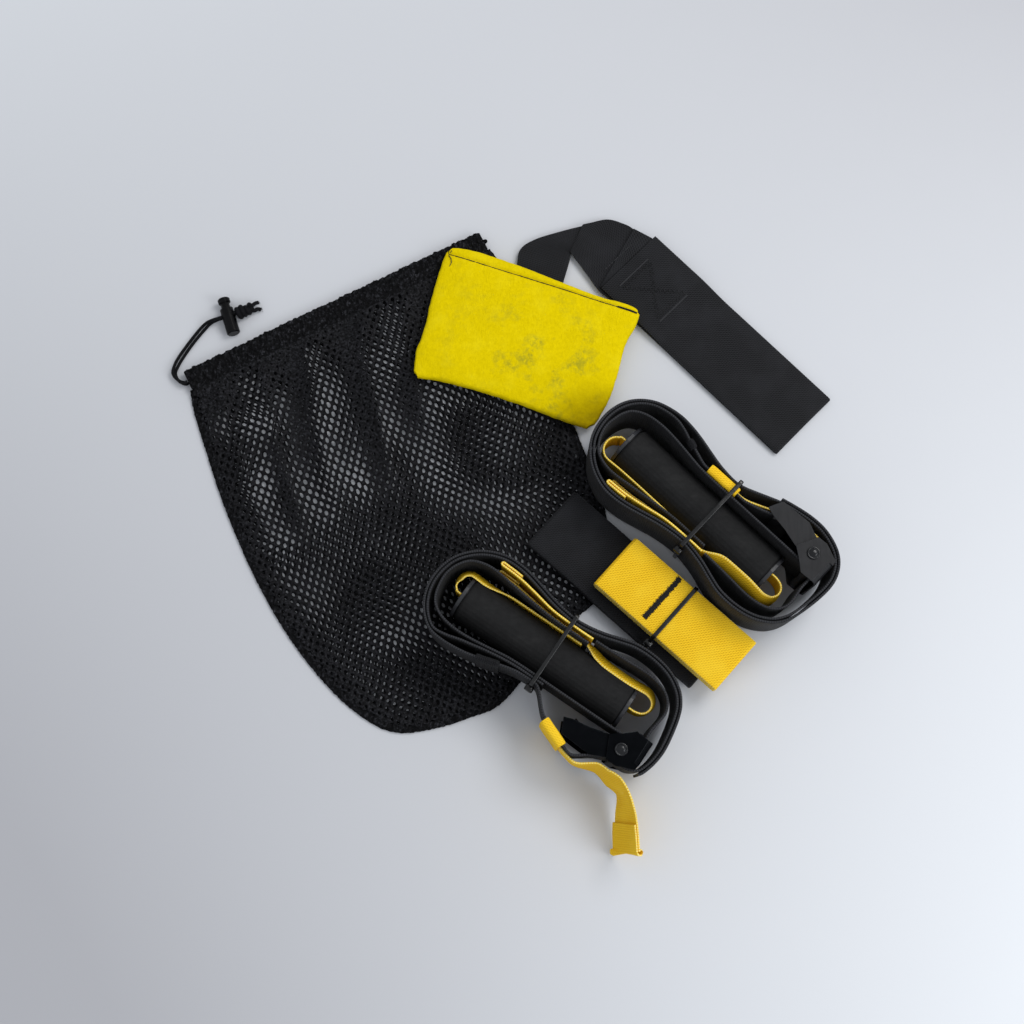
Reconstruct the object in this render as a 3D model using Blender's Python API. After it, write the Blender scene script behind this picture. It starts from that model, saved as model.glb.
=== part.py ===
"""A suspension trainer packed flat: two handle bundles, an anchor strap and a door anchor on a mesh bag.

Metres, +Z up, laid out as on the table. Each bundle is modelled in its own frame: u runs along the
grip, v points from the grip to its cam buckle, and the left bundle is the mirror of the right one.
"""

import math

import bmesh
import bpy
from mathutils import Vector

# Clearances
TOUCH_GAP = 0.0003
LAYER_GAP = 0.00045
WINDING_GAP = 0.00064
SLEEVE_GAP = 0.00035
PIN_GAP = 0.0003
STRAP_TO_CAM_GAP = 0.0004
CUT_OVERRUN = 0.002

# Webbing
MAIN_WIDTH = 0.038
MAIN_THICKNESS = 0.0015
HANDLE_WIDTH = 0.019
YELLOW_THICKNESS = 0.0012
ADJUSTER_WIDTH = 0.030
HEM_FOLD_LENGTH = 0.012
HEM_FOLD_PITCH = 0.0017

# Grip
GRIP_LENGTH = 0.1126
FOAM_RADIUS = 0.01425
FOAM_EDGE = 0.0022
TUBE_RADIUS = 0.0117
TUBE_BORE_RADIUS = 0.0102
RING_RADIUS = 0.0136
RING_LENGTH = 0.0025
RING_LIP = 0.0015
GRIP_SEGMENTS = 32
LEFT_TURN_RADIUS = 0.0080
RIGHT_TURN_RADIUS = 0.0085
TURN_LEAD = 0.0032

# Wound loop
LEFT_LOOP_ROOM = 0.0208
RIGHT_LOOP_ROOM = 0.0307
BUCKLE_LOBE_SPAN = 0.0895
LOBE_RISE = 0.01335
WAIST_END_SHARE = 0.335
WINDING_FIRST_INDEX = 11
WINDING_LAST_INDEX = {"right": 55, "left": 51}
LEFT_FIRST_TURN_END = 26
LEFT_SECOND_TURN_START = 36
WINDING_STEPS = 2
LEAST_WINDING_GAP = 0.0004

# Keepers
KEEPER_WALL = 0.0012
RIGHT_KEEPER_SHARES = (-0.1558, 0.1743)
LEFT_KEEPER_FROM_AXLE = (-0.0452, -0.0238)
RIBBED_KEEPER_SPAN = {"right": (-0.0358, -0.0204), "left": (-0.0330, -0.0160)}

# Cam buckle
BUCKLE_SETBACK = 0.0091
LEVER_REACH = 0.0373
EAR_REACH = 0.0147
BUCKLE_HALF_DEPTH = 0.0134
CHEEK_THICKNESS = 0.0009
EAR_THICKNESS = 0.0012
AXLE_RADIUS = 0.0025
RIVET_RADIUS = 0.00375
RIVET_RISE = 0.0008
DRUM_RADIUS = 0.0044
CAM_NOSE_RADIUS = 0.00615
CAM_TOOTH_DEPTH = 0.0007
FLOOR_THICKNESS = 0.0012
FLOOR_LEFT = 0.0025
FLOOR_RIGHT = 0.0018
FLOOR_CLEARANCE = 0.00035
ROLL_RADIUS = 0.0035
ROLL_THICKNESS = 0.0010
ROLL_START = 0.0085
ROLL_PLACE = 0.0130
ROLL_WIDTH = 0.0150
ROLL_CENTRE = 0.0055
BAR_RADIUS = 0.0025
BAR_OFFSET = 0.0050
THUMB_THICKNESS = 0.0012
SPRING_WIRE = 0.0007
SPRING_RADIUS = 0.0035
SPRING_ROOM = 0.0051
SPRING_TURNS = 4

# Cable ties
TIE_THICKNESS = 0.0011
TIE_WIDTH = 0.0026
TIE_PLACE_SHARE = {"right": 0.1006, "left": 0.0559}
TIE_CORNER = 0.0008
TIE_SLACK = 0.0004
TIE_HEAD_LENGTH = 0.0054
TIE_HEAD_WIDTH = 0.0052
TIE_HEAD_DEPTH = 0.0042
TIE_HEAD_PLACE = 0.012
TIE_TAIL_LENGTH = 0.013
TIE_TAIL_OFFSET = 0.0020

# Places on the table, from the photograph
RIGHT_BUNDLE_PLACE = (0.1113, -0.0036)
RIGHT_BUNDLE_HEADING = math.radians(-43.8)
LEFT_BUNDLE_PLACE = (0.0190, -0.0898)
LEFT_BUNDLE_HEADING = math.radians(-34.3)
ANCHOR_PLACE = (0.0970, -0.0660)
ANCHOR_HEADING = math.radians(-42.1)
PAD_PLACE = (0.0066, 0.1076)
PAD_HEADING = math.radians(-18.5)
WIDE_STRAP_PLACE = (0.1286, 0.1082)
WIDE_STRAP_HEADING = math.radians(-45.1)
BAG_MOUTH_END = (-0.018687, 0.184488)
BAG_HEADING = math.radians(26.8)

# Suspension anchor
ANCHOR_BLACK_WIDTH = 0.044
ANCHOR_BLACK_THICKNESS = 0.0016
ANCHOR_BLACK_LAYERS = 4
ANCHOR_BLACK_UPPER_END = 0.096
ANCHOR_BLACK_LOWER_END = 0.037
ANCHOR_BLACK_OFFSET = 0.004
ANCHOR_YELLOW_WIDTH = 0.038
ANCHOR_YELLOW_THICKNESS = 0.0014
ANCHOR_YELLOW_LAYERS = 6
ANCHOR_YELLOW_LENGTH = 0.096
ANCHOR_LAYER_GAP = 0.0005
ANCHOR_TIE_HEAD = (0.0236, 0.0163)

# Door anchor
PAD_LENGTH = 0.122
PAD_WIDTH = 0.086
PAD_RIM = 0.0030
PAD_CROWN = 0.0040
PAD_DRAW_IN = 0.0022
PAD_COLUMNS = 20
PAD_ROWS = 14
CORE_LENGTH = 0.096
CORE_WIDTH = 0.062
CORE_THICKNESS = 0.0026
CORE_RISE = 0.0018
CORE_SLOT_WIDTH = 0.040
CORE_SLOT_HEIGHT = 0.0016
CORE_SLOT_RISE = 0.0008
WIDE_STRAP_LENGTH = 0.1532
WIDE_STRAP_WIDTH = 0.050
DOOR_STRAP_THICKNESS = 0.0016
DOOR_STRAP_GAP = 0.0005
NARROW_STRAP_THICKNESS = 0.0014
NARROW_STRAP_SPAN = 0.0828
NARROW_STRAP_RISE = 0.0621
NARROW_STRAP_TUCK = 0.007
NARROW_STRAP_LEFT = 0.0223

# Bag
BAG_WIDTH = 0.214
BAG_DEPTH = 0.275
PANEL_THICKNESS = 0.0010
PANEL_GAP = 0.00075
SEAM_WIDTH = 0.006
SEAM_THICKNESS = 0.0024
HEM_WIDTH = 0.014
HEM_THICKNESS = 0.0030
HEM_CHANNEL_HEIGHT = 0.0024
HEM_CHANNEL_WIDTH = 0.011
HEM_END_SETBACK = 0.003

# Drawcord and its lock
CORD_DIAMETER = 0.0020
CORD_POINT_SPACING = 2.5
LOCK_FROM_BAG = (0.0295, 0.0385, 0.0044)
LOCK_HEADING = math.radians(-71.6)
LOCK_RADIUS = 0.0042
LOCK_LENGTH = 0.0172
LOCK_BORE_RADIUS = 0.0035
LOCK_FLOOR = 0.0014
LOCK_SLOT_WIDTH = 0.0028
LOCK_SLOT_HEIGHT = 0.0052
LOCK_CORD_PLACE = 0.0126
LOCK_SEGMENTS = 24
PLUNGER_RADIUS = 0.0032
PLUNGER_HEAD_RADIUS = 0.0039
PLUNGER_HEAD_LENGTH = 0.0035
PLUNGER_TRAVEL = 0.0030
PLUNGER_NECK = 0.0038
PLUNGER_NECK_RADIUS = 0.0028
PLUNGER_TAIL = 0.0016
LOCK_SPRING_RADIUS = 0.0024
LOCK_SPRING_WIRE = 0.0006
LOCK_SPRING_TURNS = 5
KNOT_LENGTH = 0.0145
KNOT_RADIUS = 0.0039
KNOT_SEGMENTS = 14

# The wound loop's outline, anticlockwise from its right end: share of the reach along u, share of
# the lobe's rise beyond the waist, and which side of the grip the point is on.
LOOP_SHARES = (
    (1.000, -1.247, 1), (0.972, -0.124, 1), (0.872, 0.625, 1), (0.704, 1.000, 1), (0.536, 0.948, 1),
    (0.369, 0.700, 1), (0.201, 0.251, 1), (0.078, 0.000, 1), (-0.103, 0.101, 1), (-0.320, 0.400, 1),
    (-0.551, 0.550, 1), (-0.782, 0.213, 1), (-0.942, -0.648, 1), (-1.000, -1.847, 1),
    (-0.955, -0.824, -1), (-0.808, 0.150, -1), (-0.603, 0.637, -1), (-0.385, 0.562, -1),
    (-0.141, 0.187, -1), (0.078, 0.000, -1), (0.268, 0.187, -1), (0.469, 0.562, -1),
    (0.670, 0.524, -1), (0.838, 0.075, -1), (0.950, -0.861, -1),
)

# The main strap's first run, from the buckle through the yellow keeper to the left lobe
FIRST_RUN_SHARES = (
    (0.785, 0.790), (0.737, 0.831), (0.648, 0.846), (0.536, 0.742), (0.425, 0.502), (0.313, 0.217),
    (0.223, 0.045), (0.184, 0.000), (0.067, 0.000), (-0.077, 0.000), (-0.173, 0.000),
    (-0.256, 0.150), (-0.385, 0.400), (-0.551, 0.700),
)
FIRST_RUN_AT_CAM = 0.831

# The left strap's start under the tie, its run through the buckle and keeper, and its end
LEFT_START_SHARES = (
    (0.120, 0.000), (0.056, 0.000), (-0.060, 0.000), (-0.160, 0.030), (-0.260, 0.100),
    (-0.385, 0.220), (-0.551, 0.420),
)
LEFT_RUN_SHARES = (
    (0.914, 0.637), (0.866, 0.809), (0.821, 0.831), (0.737, 0.831), (0.670, 0.966),
    (0.603, 1.251), (0.547, 1.521), (0.493, 1.648), (0.373, 1.333), (0.254, 1.019), (0.190, 0.682),
    (0.128, 0.232), (0.089, 0.030), (0.056, 0.000), (0.011, 0.000), (-0.077, 0.030),
    (-0.173, 0.150), (-0.256, 0.292), (-0.385, 0.502), (-0.551, 0.682),
)
LEFT_END_SHARES = ((0.939, 0.742),)

CRADLE_LOWER_SHARES = (
    (0.212, 0.000), (0.100, 0.000), (-0.077, 0.015), (-0.282, 0.127), (-0.487, 0.277),
    (-0.667, 0.367), (-0.820, 0.075), (-0.902, -0.719),
)
CRADLE_UPPER_SHARES = (
    (-0.905, -0.944), (-0.859, -0.210), (-0.744, 0.195), (-0.577, 0.300), (-0.385, 0.195),
    (-0.205, 0.045), (-0.051, 0.000), (0.134, 0.000), (0.335, 0.000), (0.514, 0.000), (0.670, 0.000),
)
CRADLE_RETURN_SHARES = (
    (0.853, -1.839), (0.864, -1.315), (0.867, -0.865), (0.832, -0.378), (0.754, -0.056),
    (0.637, 0.079), (0.492, 0.049), (0.358, 0.011), (0.246, 0.000),
)
LEFT_LEG_SHARES = ((0.179, 0.000), (0.045, 0.000), (-0.154, 0.000), (-0.385, 0.000), (-0.615, 0.015))
RIGHT_LEG_SHARES = (
    (0.581, -0.202), (0.469, -0.202), (0.369, -0.172), (0.290, -0.052), (0.223, 0.000),
    (0.100, 0.000), (-0.103, 0.030), (-0.282, 0.157), (-0.436, 0.277), (-0.590, 0.322),
)
YOKE_SHARES = (
    (0.223, 0.000), (0.100, 0.000), (-0.103, 0.056), (-0.282, 0.258), (-0.436, 0.416), (-0.603, 0.476),
)
RIGHT_TAB_SHARES = (
    (-0.103, 0.000), (0.067, 0.000), (0.174, 0.000), (0.246, 0.135), (0.335, 0.390), (0.447, 0.689),
    (0.559, 0.899), (0.648, 0.965), (0.737, 0.970), (0.782, 0.950), (0.821, 0.760), (0.849, 0.530),
    (0.866, 0.360),
)
RIGHT_TAB_HEM_LENGTH = 0.005

# The left tab's loose tail: share of the reach, share of the rise, share of its drop, lean in degrees
LEFT_TAB_SHARES = (
    (0.553, 1.828, 0.000, 0), (0.626, 1.648, 0.000, 4), (0.693, 1.431, 0.000, 9),
    (0.760, 1.440, 0.020, 11), (0.838, 1.500, 0.120, 20), (0.939, 1.715, 0.320, 14),
    (1.017, 2.285, 0.640, 28), (1.095, 2.996, 0.880, 35), (1.162, 3.596, 1.000, 36),
)
LEFT_TAB_DROP = 0.0100
LEFT_TAB_HEM_LENGTH = 0.014

# Buckle outlines about the axle: share of the lever's or the ear's reach, share of the half depth
EAR_SHARES = (
    (-0.276, -0.269), (-0.113, 0.694), (0.143, 0.724), (0.857, 0.403), (0.898, 0.164),
    (0.707, 0.149), (0.694, -0.978), (0.143, -1.015), (-0.105, -0.619),
)
CHEEK_SHARES = (
    (-1.000, 0.216), (-0.890, 0.858), (-0.367, 0.940), (-0.147, 0.672), (0.238, 0.261),
    (0.306, 0.000), (0.238, -0.261), (0.000, -0.358), (-0.276, -0.269), (-0.576, -0.045),
    (-0.861, 0.075),
)
THUMB_SHARES = ((-0.831, 0.067), (-0.536, 0.306))

# The bag's edge from the left end of the mouth, down, along the bottom and up: shares of width, depth
BAG_SHARES = (
    (-0.010, 0.090), (-0.028, 0.188), (-0.050, 0.336), (-0.057, 0.511), (-0.041, 0.668),
    (0.000, 0.807), (0.052, 0.900), (0.111, 0.955), (0.203, 0.984), (0.318, 1.000), (0.428, 1.000),
    (0.636, 0.925), (0.790, 0.895), (0.862, 0.850), (0.932, 0.724), (0.967, 0.526), (0.985, 0.300),
    (1.000, 0.090),
)
NARROW_STRAP_SHARES = (
    (0.062, 0.000), (0.030, 0.190), (0.007, 0.390), (0.085, 0.540), (0.256, 0.710), (0.458, 0.894),
    (0.572, 0.992), (0.693, 1.000), (0.797, 0.974), (1.000, 0.839), (0.920, 0.142), (0.700, 0.214),
    (0.393, 0.515), (0.408, 0.187), (0.408, 0.000),
)

# The drawcord's free route from the bag's corner to the lock, chosen by hand: x and y from the corner,
# the pair's height, and its turn in degrees: 0 is side by side, 90 is one strand above the other
CORD_ROUTE = (
    (0.00040, -0.00440, 0.00300, 90), (-0.00270, -0.00180, 0.00265, 75), (-0.00360, 0.00230, 0.00215, 55),
    (-0.00160, 0.00850, 0.00170, 30), (0.00250, 0.01600, 0.00135, 8), (0.00720, 0.02320, 0.00125, 0),
    (0.01250, 0.03020, 0.00150, 12), (0.01580, 0.03325, 0.00240, 45), (0.01840, 0.03479, 0.00375, 75),
    (0.02040, 0.03547, 0.00440, 90), (0.02420, 0.03673, 0.00440, 90),
)
CORD_EXIT_RUN = 0.0020
STRAND_RISE = 0.00120

# Colours as linear red, green, blue
BLACK = (0.012, 0.012, 0.014, 1.0)
SOFT_BLACK = (0.020, 0.020, 0.022, 1.0)
STEEL_BLACK = (0.030, 0.032, 0.036, 1.0)
RING_GREY = (0.090, 0.090, 0.100, 1.0)
YELLOW = (0.800, 0.470, 0.010, 1.0)
FELT_YELLOW = (0.780, 0.620, 0.005, 1.0)
BRIGHT_STEEL = (0.550, 0.560, 0.580, 1.0)
CORE_GREY = (0.200, 0.200, 0.210, 1.0)

# Sizes that follow from the ones above
PITCH = MAIN_THICKNESS + WINDING_GAP
LOOP_POINTS = len(LOOP_SHARES)
RING_END = GRIP_LENGTH / 2 + RING_LENGTH
LEFT_REACH = RING_END + LEFT_LOOP_ROOM
RIGHT_REACH = RING_END + RIGHT_LOOP_ROOM
WAIST_END = RIGHT_REACH - (1 - WAIST_END_SHARE) * BUCKLE_LOBE_SPAN
KEEPER_INNER = MAIN_THICKNESS + YELLOW_THICKNESS + 3 * SLEEVE_GAP
KEEPER_OUTER = KEEPER_INNER + 2 * KEEPER_WALL
SLEEVE_INNER_WIDTH = MAIN_WIDTH + 2 * SLEEVE_GAP
SLEEVE_OUTER_WIDTH = SLEEVE_INNER_WIDTH + 2 * KEEPER_WALL
CRADLE_UPPER = FOAM_RADIUS + 0.4 * MAIN_THICKNESS + MAIN_THICKNESS / 2
KEEPER_PLACE = CRADLE_UPPER + MAIN_THICKNESS / 2 + LAYER_GAP + KEEPER_OUTER / 2
MAIN_IN_KEEPER = KEEPER_PLACE - KEEPER_INNER / 2 + SLEEVE_GAP + MAIN_THICKNESS / 2
ADJUSTER_SHIFT = MAIN_THICKNESS / 2 + SLEEVE_GAP + YELLOW_THICKNESS / 2
LEFT_START = CRADLE_UPPER + MAIN_THICKNESS + LAYER_GAP
RUN_BASE = {"right": MAIN_IN_KEEPER, "left": LEFT_START + MAIN_THICKNESS + LAYER_GAP}
OUTER_PASS = KEEPER_PLACE + KEEPER_OUTER / 2 + LAYER_GAP + MAIN_THICKNESS / 2
LEFT_LEG = FOAM_RADIUS + LAYER_GAP + YELLOW_THICKNESS / 2
CRADLE_LOWER = LEFT_LEG + YELLOW_THICKNESS / 2 + LAYER_GAP + MAIN_THICKNESS / 2
RIGHT_LEG = CRADLE_LOWER + MAIN_THICKNESS / 2 + LAYER_GAP + YELLOW_THICKNESS / 2
YOKE = RIGHT_LEG + YELLOW_THICKNESS + LAYER_GAP
INNER_PASS = YOKE + YELLOW_THICKNESS / 2 + LAYER_GAP + MAIN_THICKNESS / 2
AXLE_U = RING_END + BUCKLE_SETBACK
CHEEK_INNER = MAIN_WIDTH / 2 + TOUCH_GAP
CHEEK_OUTER = CHEEK_INNER + CHEEK_THICKNESS
EAR_INNER = CHEEK_OUTER + TOUCH_GAP
EAR_OUTER = EAR_INNER + EAR_THICKNESS
RIGHT_BUNDLE_HEIGHT = EAR_OUTER + TOUCH_GAP + RIVET_RISE + TOUCH_GAP
BAG_TOP = max(2 * PANEL_THICKNESS + PANEL_GAP, SEAM_THICKNESS)
LEFT_BUNDLE_HEIGHT = BAG_TOP + TOUCH_GAP + SLEEVE_OUTER_WIDTH / 2
TOP_HEM_BASE = HEM_THICKNESS + TOUCH_GAP
PAD_BASE = TOP_HEM_BASE + HEM_THICKNESS + TOUCH_GAP
ANCHOR_BASE = BAG_TOP + LAYER_GAP
BAG_PLACE = (
    BAG_MOUTH_END[0] - BAG_WIDTH * math.cos(BAG_HEADING),
    BAG_MOUTH_END[1] - BAG_WIDTH * math.sin(BAG_HEADING),
)
LOCK_PLACE = (BAG_PLACE[0] + LOCK_FROM_BAG[0], BAG_PLACE[1] + LOCK_FROM_BAG[1], LOCK_FROM_BAG[2])
ANCHOR_BLACK_PITCH = ANCHOR_BLACK_THICKNESS + ANCHOR_LAYER_GAP
ANCHOR_BLACK_TOP = ANCHOR_BASE + ANCHOR_BLACK_LAYERS * ANCHOR_BLACK_PITCH - ANCHOR_LAYER_GAP
ANCHOR_YELLOW_BASE = ANCHOR_BLACK_TOP + LAYER_GAP
ANCHOR_YELLOW_PITCH = ANCHOR_YELLOW_THICKNESS + ANCHOR_LAYER_GAP
ANCHOR_TOP = ANCHOR_YELLOW_BASE + ANCHOR_YELLOW_LAYERS * ANCHOR_YELLOW_PITCH - ANCHOR_LAYER_GAP

CORD_NODES = []


def clear_scene():
    for obj in list(bpy.data.objects):
        bpy.data.objects.remove(obj)


def finish(name, colour, roughness, metallic=0.0):
    """A material of one plain colour, made once and shared by name."""
    material = bpy.data.materials.get(name) or bpy.data.materials.new(name)
    material.use_nodes = True
    shader = material.node_tree.nodes["Principled BSDF"]
    shader.inputs["Base Color"].default_value = colour
    shader.inputs["Roughness"].default_value = roughness
    shader.inputs["Metallic"].default_value = metallic
    material.diffuse_color = colour
    return material


def frame_at(name, place, heading, parent):
    """An empty that carries the pieces of one item at its place on the table."""
    empty = bpy.data.objects.new(name, None)
    bpy.context.collection.objects.link(empty)
    empty.location = place
    empty.rotation_euler = (0, 0, heading)
    empty.parent = parent
    return empty


def add_mesh(name, shape, material, parent, hidden=False):
    """An object from (vertices, faces) in its parent's frame, with its faces turned outward."""
    vertices, faces = shape
    mesh = bpy.data.meshes.new(name)
    mesh.from_pydata([tuple(vertex) for vertex in vertices], [], faces)
    work = bmesh.new()
    work.from_mesh(mesh)
    bmesh.ops.recalc_face_normals(work, faces=work.faces)
    work.to_mesh(mesh)
    work.free()
    mesh.shade_smooth()
    mesh.set_sharp_from_angle(angle=math.radians(35))
    if material:
        mesh.materials.append(material)
    obj = bpy.data.objects.new(name, mesh)
    bpy.context.collection.objects.link(obj)
    obj.parent = parent
    if hidden:
        obj.hide_render = True
        obj.display_type = "WIRE"
    return obj


def combine(obj, operation, name, shape):
    """A Boolean on obj with a hidden helper of the given shape in the same frame."""
    helper = add_mesh(f"{obj.name}_{name}", shape, None, obj.parent, hidden=True)
    modifier = obj.modifiers.new(name, "BOOLEAN")
    modifier.operation = operation
    modifier.solver = "EXACT"
    modifier.object = helper


def smooth_path(points, steps, closed=False):
    """Points along a Catmull-Rom curve through the given ones."""
    points = [Vector(point) for point in points]
    count = len(points)
    spans = count if closed else count - 1
    found = []
    for i in range(spans):
        if closed:
            a, b, c, d = (points[(i + k) % count] for k in (-1, 0, 1, 2))
        else:
            a, b = points[max(i - 1, 0)], points[i]
            c, d = points[i + 1], points[min(i + 2, count - 1)]
        for step in range(steps):
            t = step / steps
            found.append(
                0.5 * (2 * b + (c - a) * t + (2 * a - 5 * b + 4 * c - d) * t**2 + (3 * b - a - 3 * c + d) * t**3)
            )
    if not closed:
        found.append(points[-1])
    return found


def tangent_at(path, i, closed=False):
    count = len(path)
    if closed:
        return (path[(i + 1) % count] - path[i - 1]).normalized()
    return (path[min(i + 1, count - 1)] - path[max(i - 1, 0)]).normalized()


def turn_scale(path, i, closed=False):
    """How much wider a section has to be at a bend, so that the strap keeps its thickness."""
    count = len(path)
    if not closed and i in (0, count - 1):
        return 1.0
    before = (path[i] - path[i - 1]).normalized()
    after = (path[(i + 1) % count] - path[i]).normalized()
    return 1 / max(math.sqrt((1 + before.dot(after)) / 2), 0.7)


def swept(path, across, sections, closed=False):
    """Rings of corners along a path. Each section is a ring of (along the normal, along across)."""
    wide = across if isinstance(across, list) else [across] * len(path)
    vertices = []
    for i, point in enumerate(path):
        normal = wide[i].cross(tangent_at(path, i, closed)).normalized()
        scale = turn_scale(path, i, closed)
        for ring in sections:
            vertices += [point + normal * n * scale + wide[i] * w for n, w in ring]
    return vertices


def box_ring(thickness, width):
    t, w = thickness / 2, width / 2
    return ((-t, -w), (t, -w), (t, w), (-t, w))


def strap(path, thickness, width, across, closed=False):
    """A flat strap that follows a path, its width along one direction."""
    vertices = swept(path, across, [box_ring(thickness, width)], closed)
    count = len(path)
    faces = []
    for i in range(count if closed else count - 1):
        a, b = 4 * i, 4 * ((i + 1) % count)
        faces += [(a + k, a + (k + 1) % 4, b + (k + 1) % 4, b + k) for k in range(4)]
    if not closed:
        last = 4 * (count - 1)
        faces += [(3, 2, 1, 0), (last, last + 1, last + 2, last + 3)]
    return vertices, faces


def sleeve(path, across, outer, inner):
    """A rectangular tube along a path, open at both ends."""
    vertices = swept(path, across, [box_ring(*outer), box_ring(*inner)])
    faces = []
    for i in range(len(path) - 1):
        a, b = 8 * i, 8 * (i + 1)
        for k in range(4):
            n = (k + 1) % 4
            faces.append((a + k, a + n, b + n, b + k))
            faces.append((a + 4 + n, a + 4 + k, b + 4 + k, b + 4 + n))
    for end in (0, 8 * (len(path) - 1)):
        for k in range(4):
            n = (k + 1) % 4
            faces.append((end + k, end + n, end + 4 + n, end + 4 + k))
    return vertices, faces


def prism(outline, low, high):
    """An upright solid on an outline in the XY plane."""
    count = len(outline)
    vertices = [(x, y, low) for x, y in outline] + [(x, y, high) for x, y in outline]
    faces = [tuple(range(count)), tuple(range(count, 2 * count))]
    faces += [(i, (i + 1) % count, count + (i + 1) % count, count + i) for i in range(count)]
    return vertices, faces


def box(low, high):
    outline = ((low[0], low[1]), (high[0], low[1]), (high[0], high[1]), (low[0], high[1]))
    return prism(outline, low[2], high[2])


def disc(radius, segments, centre=(0, 0)):
    turns = (2 * math.pi * k / segments for k in range(segments))
    return [(centre[0] + radius * math.cos(t), centre[1] + radius * math.sin(t)) for t in turns]


def turned(profile, segments, axis="X"):
    """A solid turned about X or Z from (along, radius) points. A profile that starts and ends on the
    axis is a full body, and any other is closed into a ring."""
    full = profile[0][1] == 0
    vertices = []
    rings = []
    for along, radius in profile:
        if radius == 0:
            rings.append([len(vertices)])
            spots = [(along, 0, 0)]
        else:
            rings.append([len(vertices) + k for k in range(segments)])
            spots = [(along, y, z) for y, z in disc(radius, segments)]
        vertices += spots if axis == "X" else [(y, z, x) for x, y, z in spots]
    pairs = list(zip(rings, rings[1:])) + ([] if full else [(rings[-1], rings[0])])
    faces = []
    for first, second in pairs:
        for k in range(segments):
            corners = [first[k % len(first)], first[(k + 1) % len(first)]]
            corners += [second[(k + 1) % len(second)], second[k % len(second)]]
            faces.append(tuple(dict.fromkeys(corners)))
    return vertices, faces


def add_cord(name, points, diameter, material, parent, sides=2):
    """A round cord as a curve with filled ends."""
    curve = bpy.data.curves.new(name, "CURVE")
    curve.dimensions = "3D"
    curve.bevel_depth = diameter / 2
    curve.bevel_resolution = sides
    curve.use_fill_caps = True
    spline = curve.splines.new("POLY")
    spline.points.add(len(points) - 1)
    for spot, point in zip(spline.points, points):
        spot.co = (*point, 1.0)
    curve.materials.append(material)
    obj = bpy.data.objects.new(name, curve)
    bpy.context.collection.objects.link(obj)
    obj.parent = parent
    return obj


def evenly(path, spacing):
    """The path's points thinned to about one for each spacing, with both ends kept."""
    kept = [path[0]]
    for point in path[1:-1]:
        if (point - kept[-1]).length >= spacing:
            kept.append(point)
    if (path[-1] - kept[-1]).length < spacing / 2:
        kept.pop()
    return kept + [path[-1]]


def with_hem(path, wide, side, length, pitch):
    """The path with its last stretch folded back beside itself, and the width directions to match."""
    last = len(path) - 1
    ahead = (path[last] - path[last - 1]).normalized()
    out = wide[last].cross(ahead).normalized() * side
    centre = path[last] + out * pitch / 2
    fold = []
    for k in range(1, 6):
        angle = math.pi * k / 6
        fold.append(centre - out * math.cos(angle) * pitch / 2 + ahead * math.sin(angle) * pitch / 2)
    back = [path[last] + out * pitch]
    directions = list(wide) + [wide[last]] * (len(fold) + 1)
    walked = 0.0
    i = last
    while walked < length and i > 1:
        walked += (path[i] - path[i - 1]).length
        i -= 1
        normal = wide[i].cross(tangent_at(path, i)).normalized() * side
        back.append(path[i] + normal * pitch)
        directions.append(wide[i])
    return list(path) + fold + back, directions


def folded_stack(layers, low, high, base, thickness, gap):
    """A strap folded back and forth into a stack: (along, height) points, from the bottom up."""
    pitch = thickness + gap
    points = []
    for layer in range(layers):
        height = base + thickness / 2 + layer * pitch
        start, end = (low, high) if layer % 2 == 0 else (high, low)
        toward = 1 if end > start else -1
        inner = [start + (end - start) * share for share in (0.02, 0.35, 0.65, 0.98)]
        points += [(along, height) for along in inner]
        if layer == layers - 1:
            continue
        for k in range(1, 6):
            angle = math.pi * k / 6
            along = inner[-1] + toward * pitch / 2 * math.sin(angle)
            points.append((along, height + pitch / 2 * (1 - math.cos(angle))))
    return points


def along_grip(share):
    """A place along the grip. The lobe at the buckle keeps its own span, however long the grip is."""
    if share <= 0:
        return share * LEFT_REACH
    if share < WAIST_END_SHARE:
        return share / WAIST_END_SHARE * WAIST_END
    return RIGHT_REACH - (1 - share) * BUCKLE_LOBE_SPAN


def loop_outline_point(index, waist):
    reach_share, rise_share, side = LOOP_SHARES[index % LOOP_POINTS]
    return Vector((along_grip(reach_share), side * (waist[side] + rise_share * LOBE_RISE), 0))


def winding_inset(side, index):
    """How far the main strap's middle lies inside the loop's outline: the last turn lies outermost."""
    return MAIN_THICKNESS / 2 + PITCH * (WINDING_LAST_INDEX[side] - index) / LOOP_POINTS


def waists(side):
    """The outline's half width at the tie, on the buckle's side and on the other side."""
    upper_index = LOOP_POINTS + 7
    lower_index = 19
    return {1: OUTER_PASS + winding_inset("right", upper_index), -1: INNER_PASS + winding_inset(side, lower_index)}


def placed(shares, base, side):
    """Route points from shares of the loop's reach and rise, beyond a base distance from the axis."""
    points = []
    for reach_share, rise_share in shares:
        points.append(Vector((along_grip(reach_share), side * (base + rise_share * LOBE_RISE), 0)))
    return points


def turns(side, first, last):
    """The strap's middle on the loop from one outline point to another, further in on early turns."""
    waist = waists(side)
    found = []
    for index in range(first, last + 1):
        here = loop_outline_point(index, waist)
        ahead = loop_outline_point(index + 1, waist) - loop_outline_point(index - 1, waist)
        inward = Vector((-ahead.y, ahead.x, 0)).normalized()
        found.append(here + inward * winding_inset(side, index))
    return found


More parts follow.
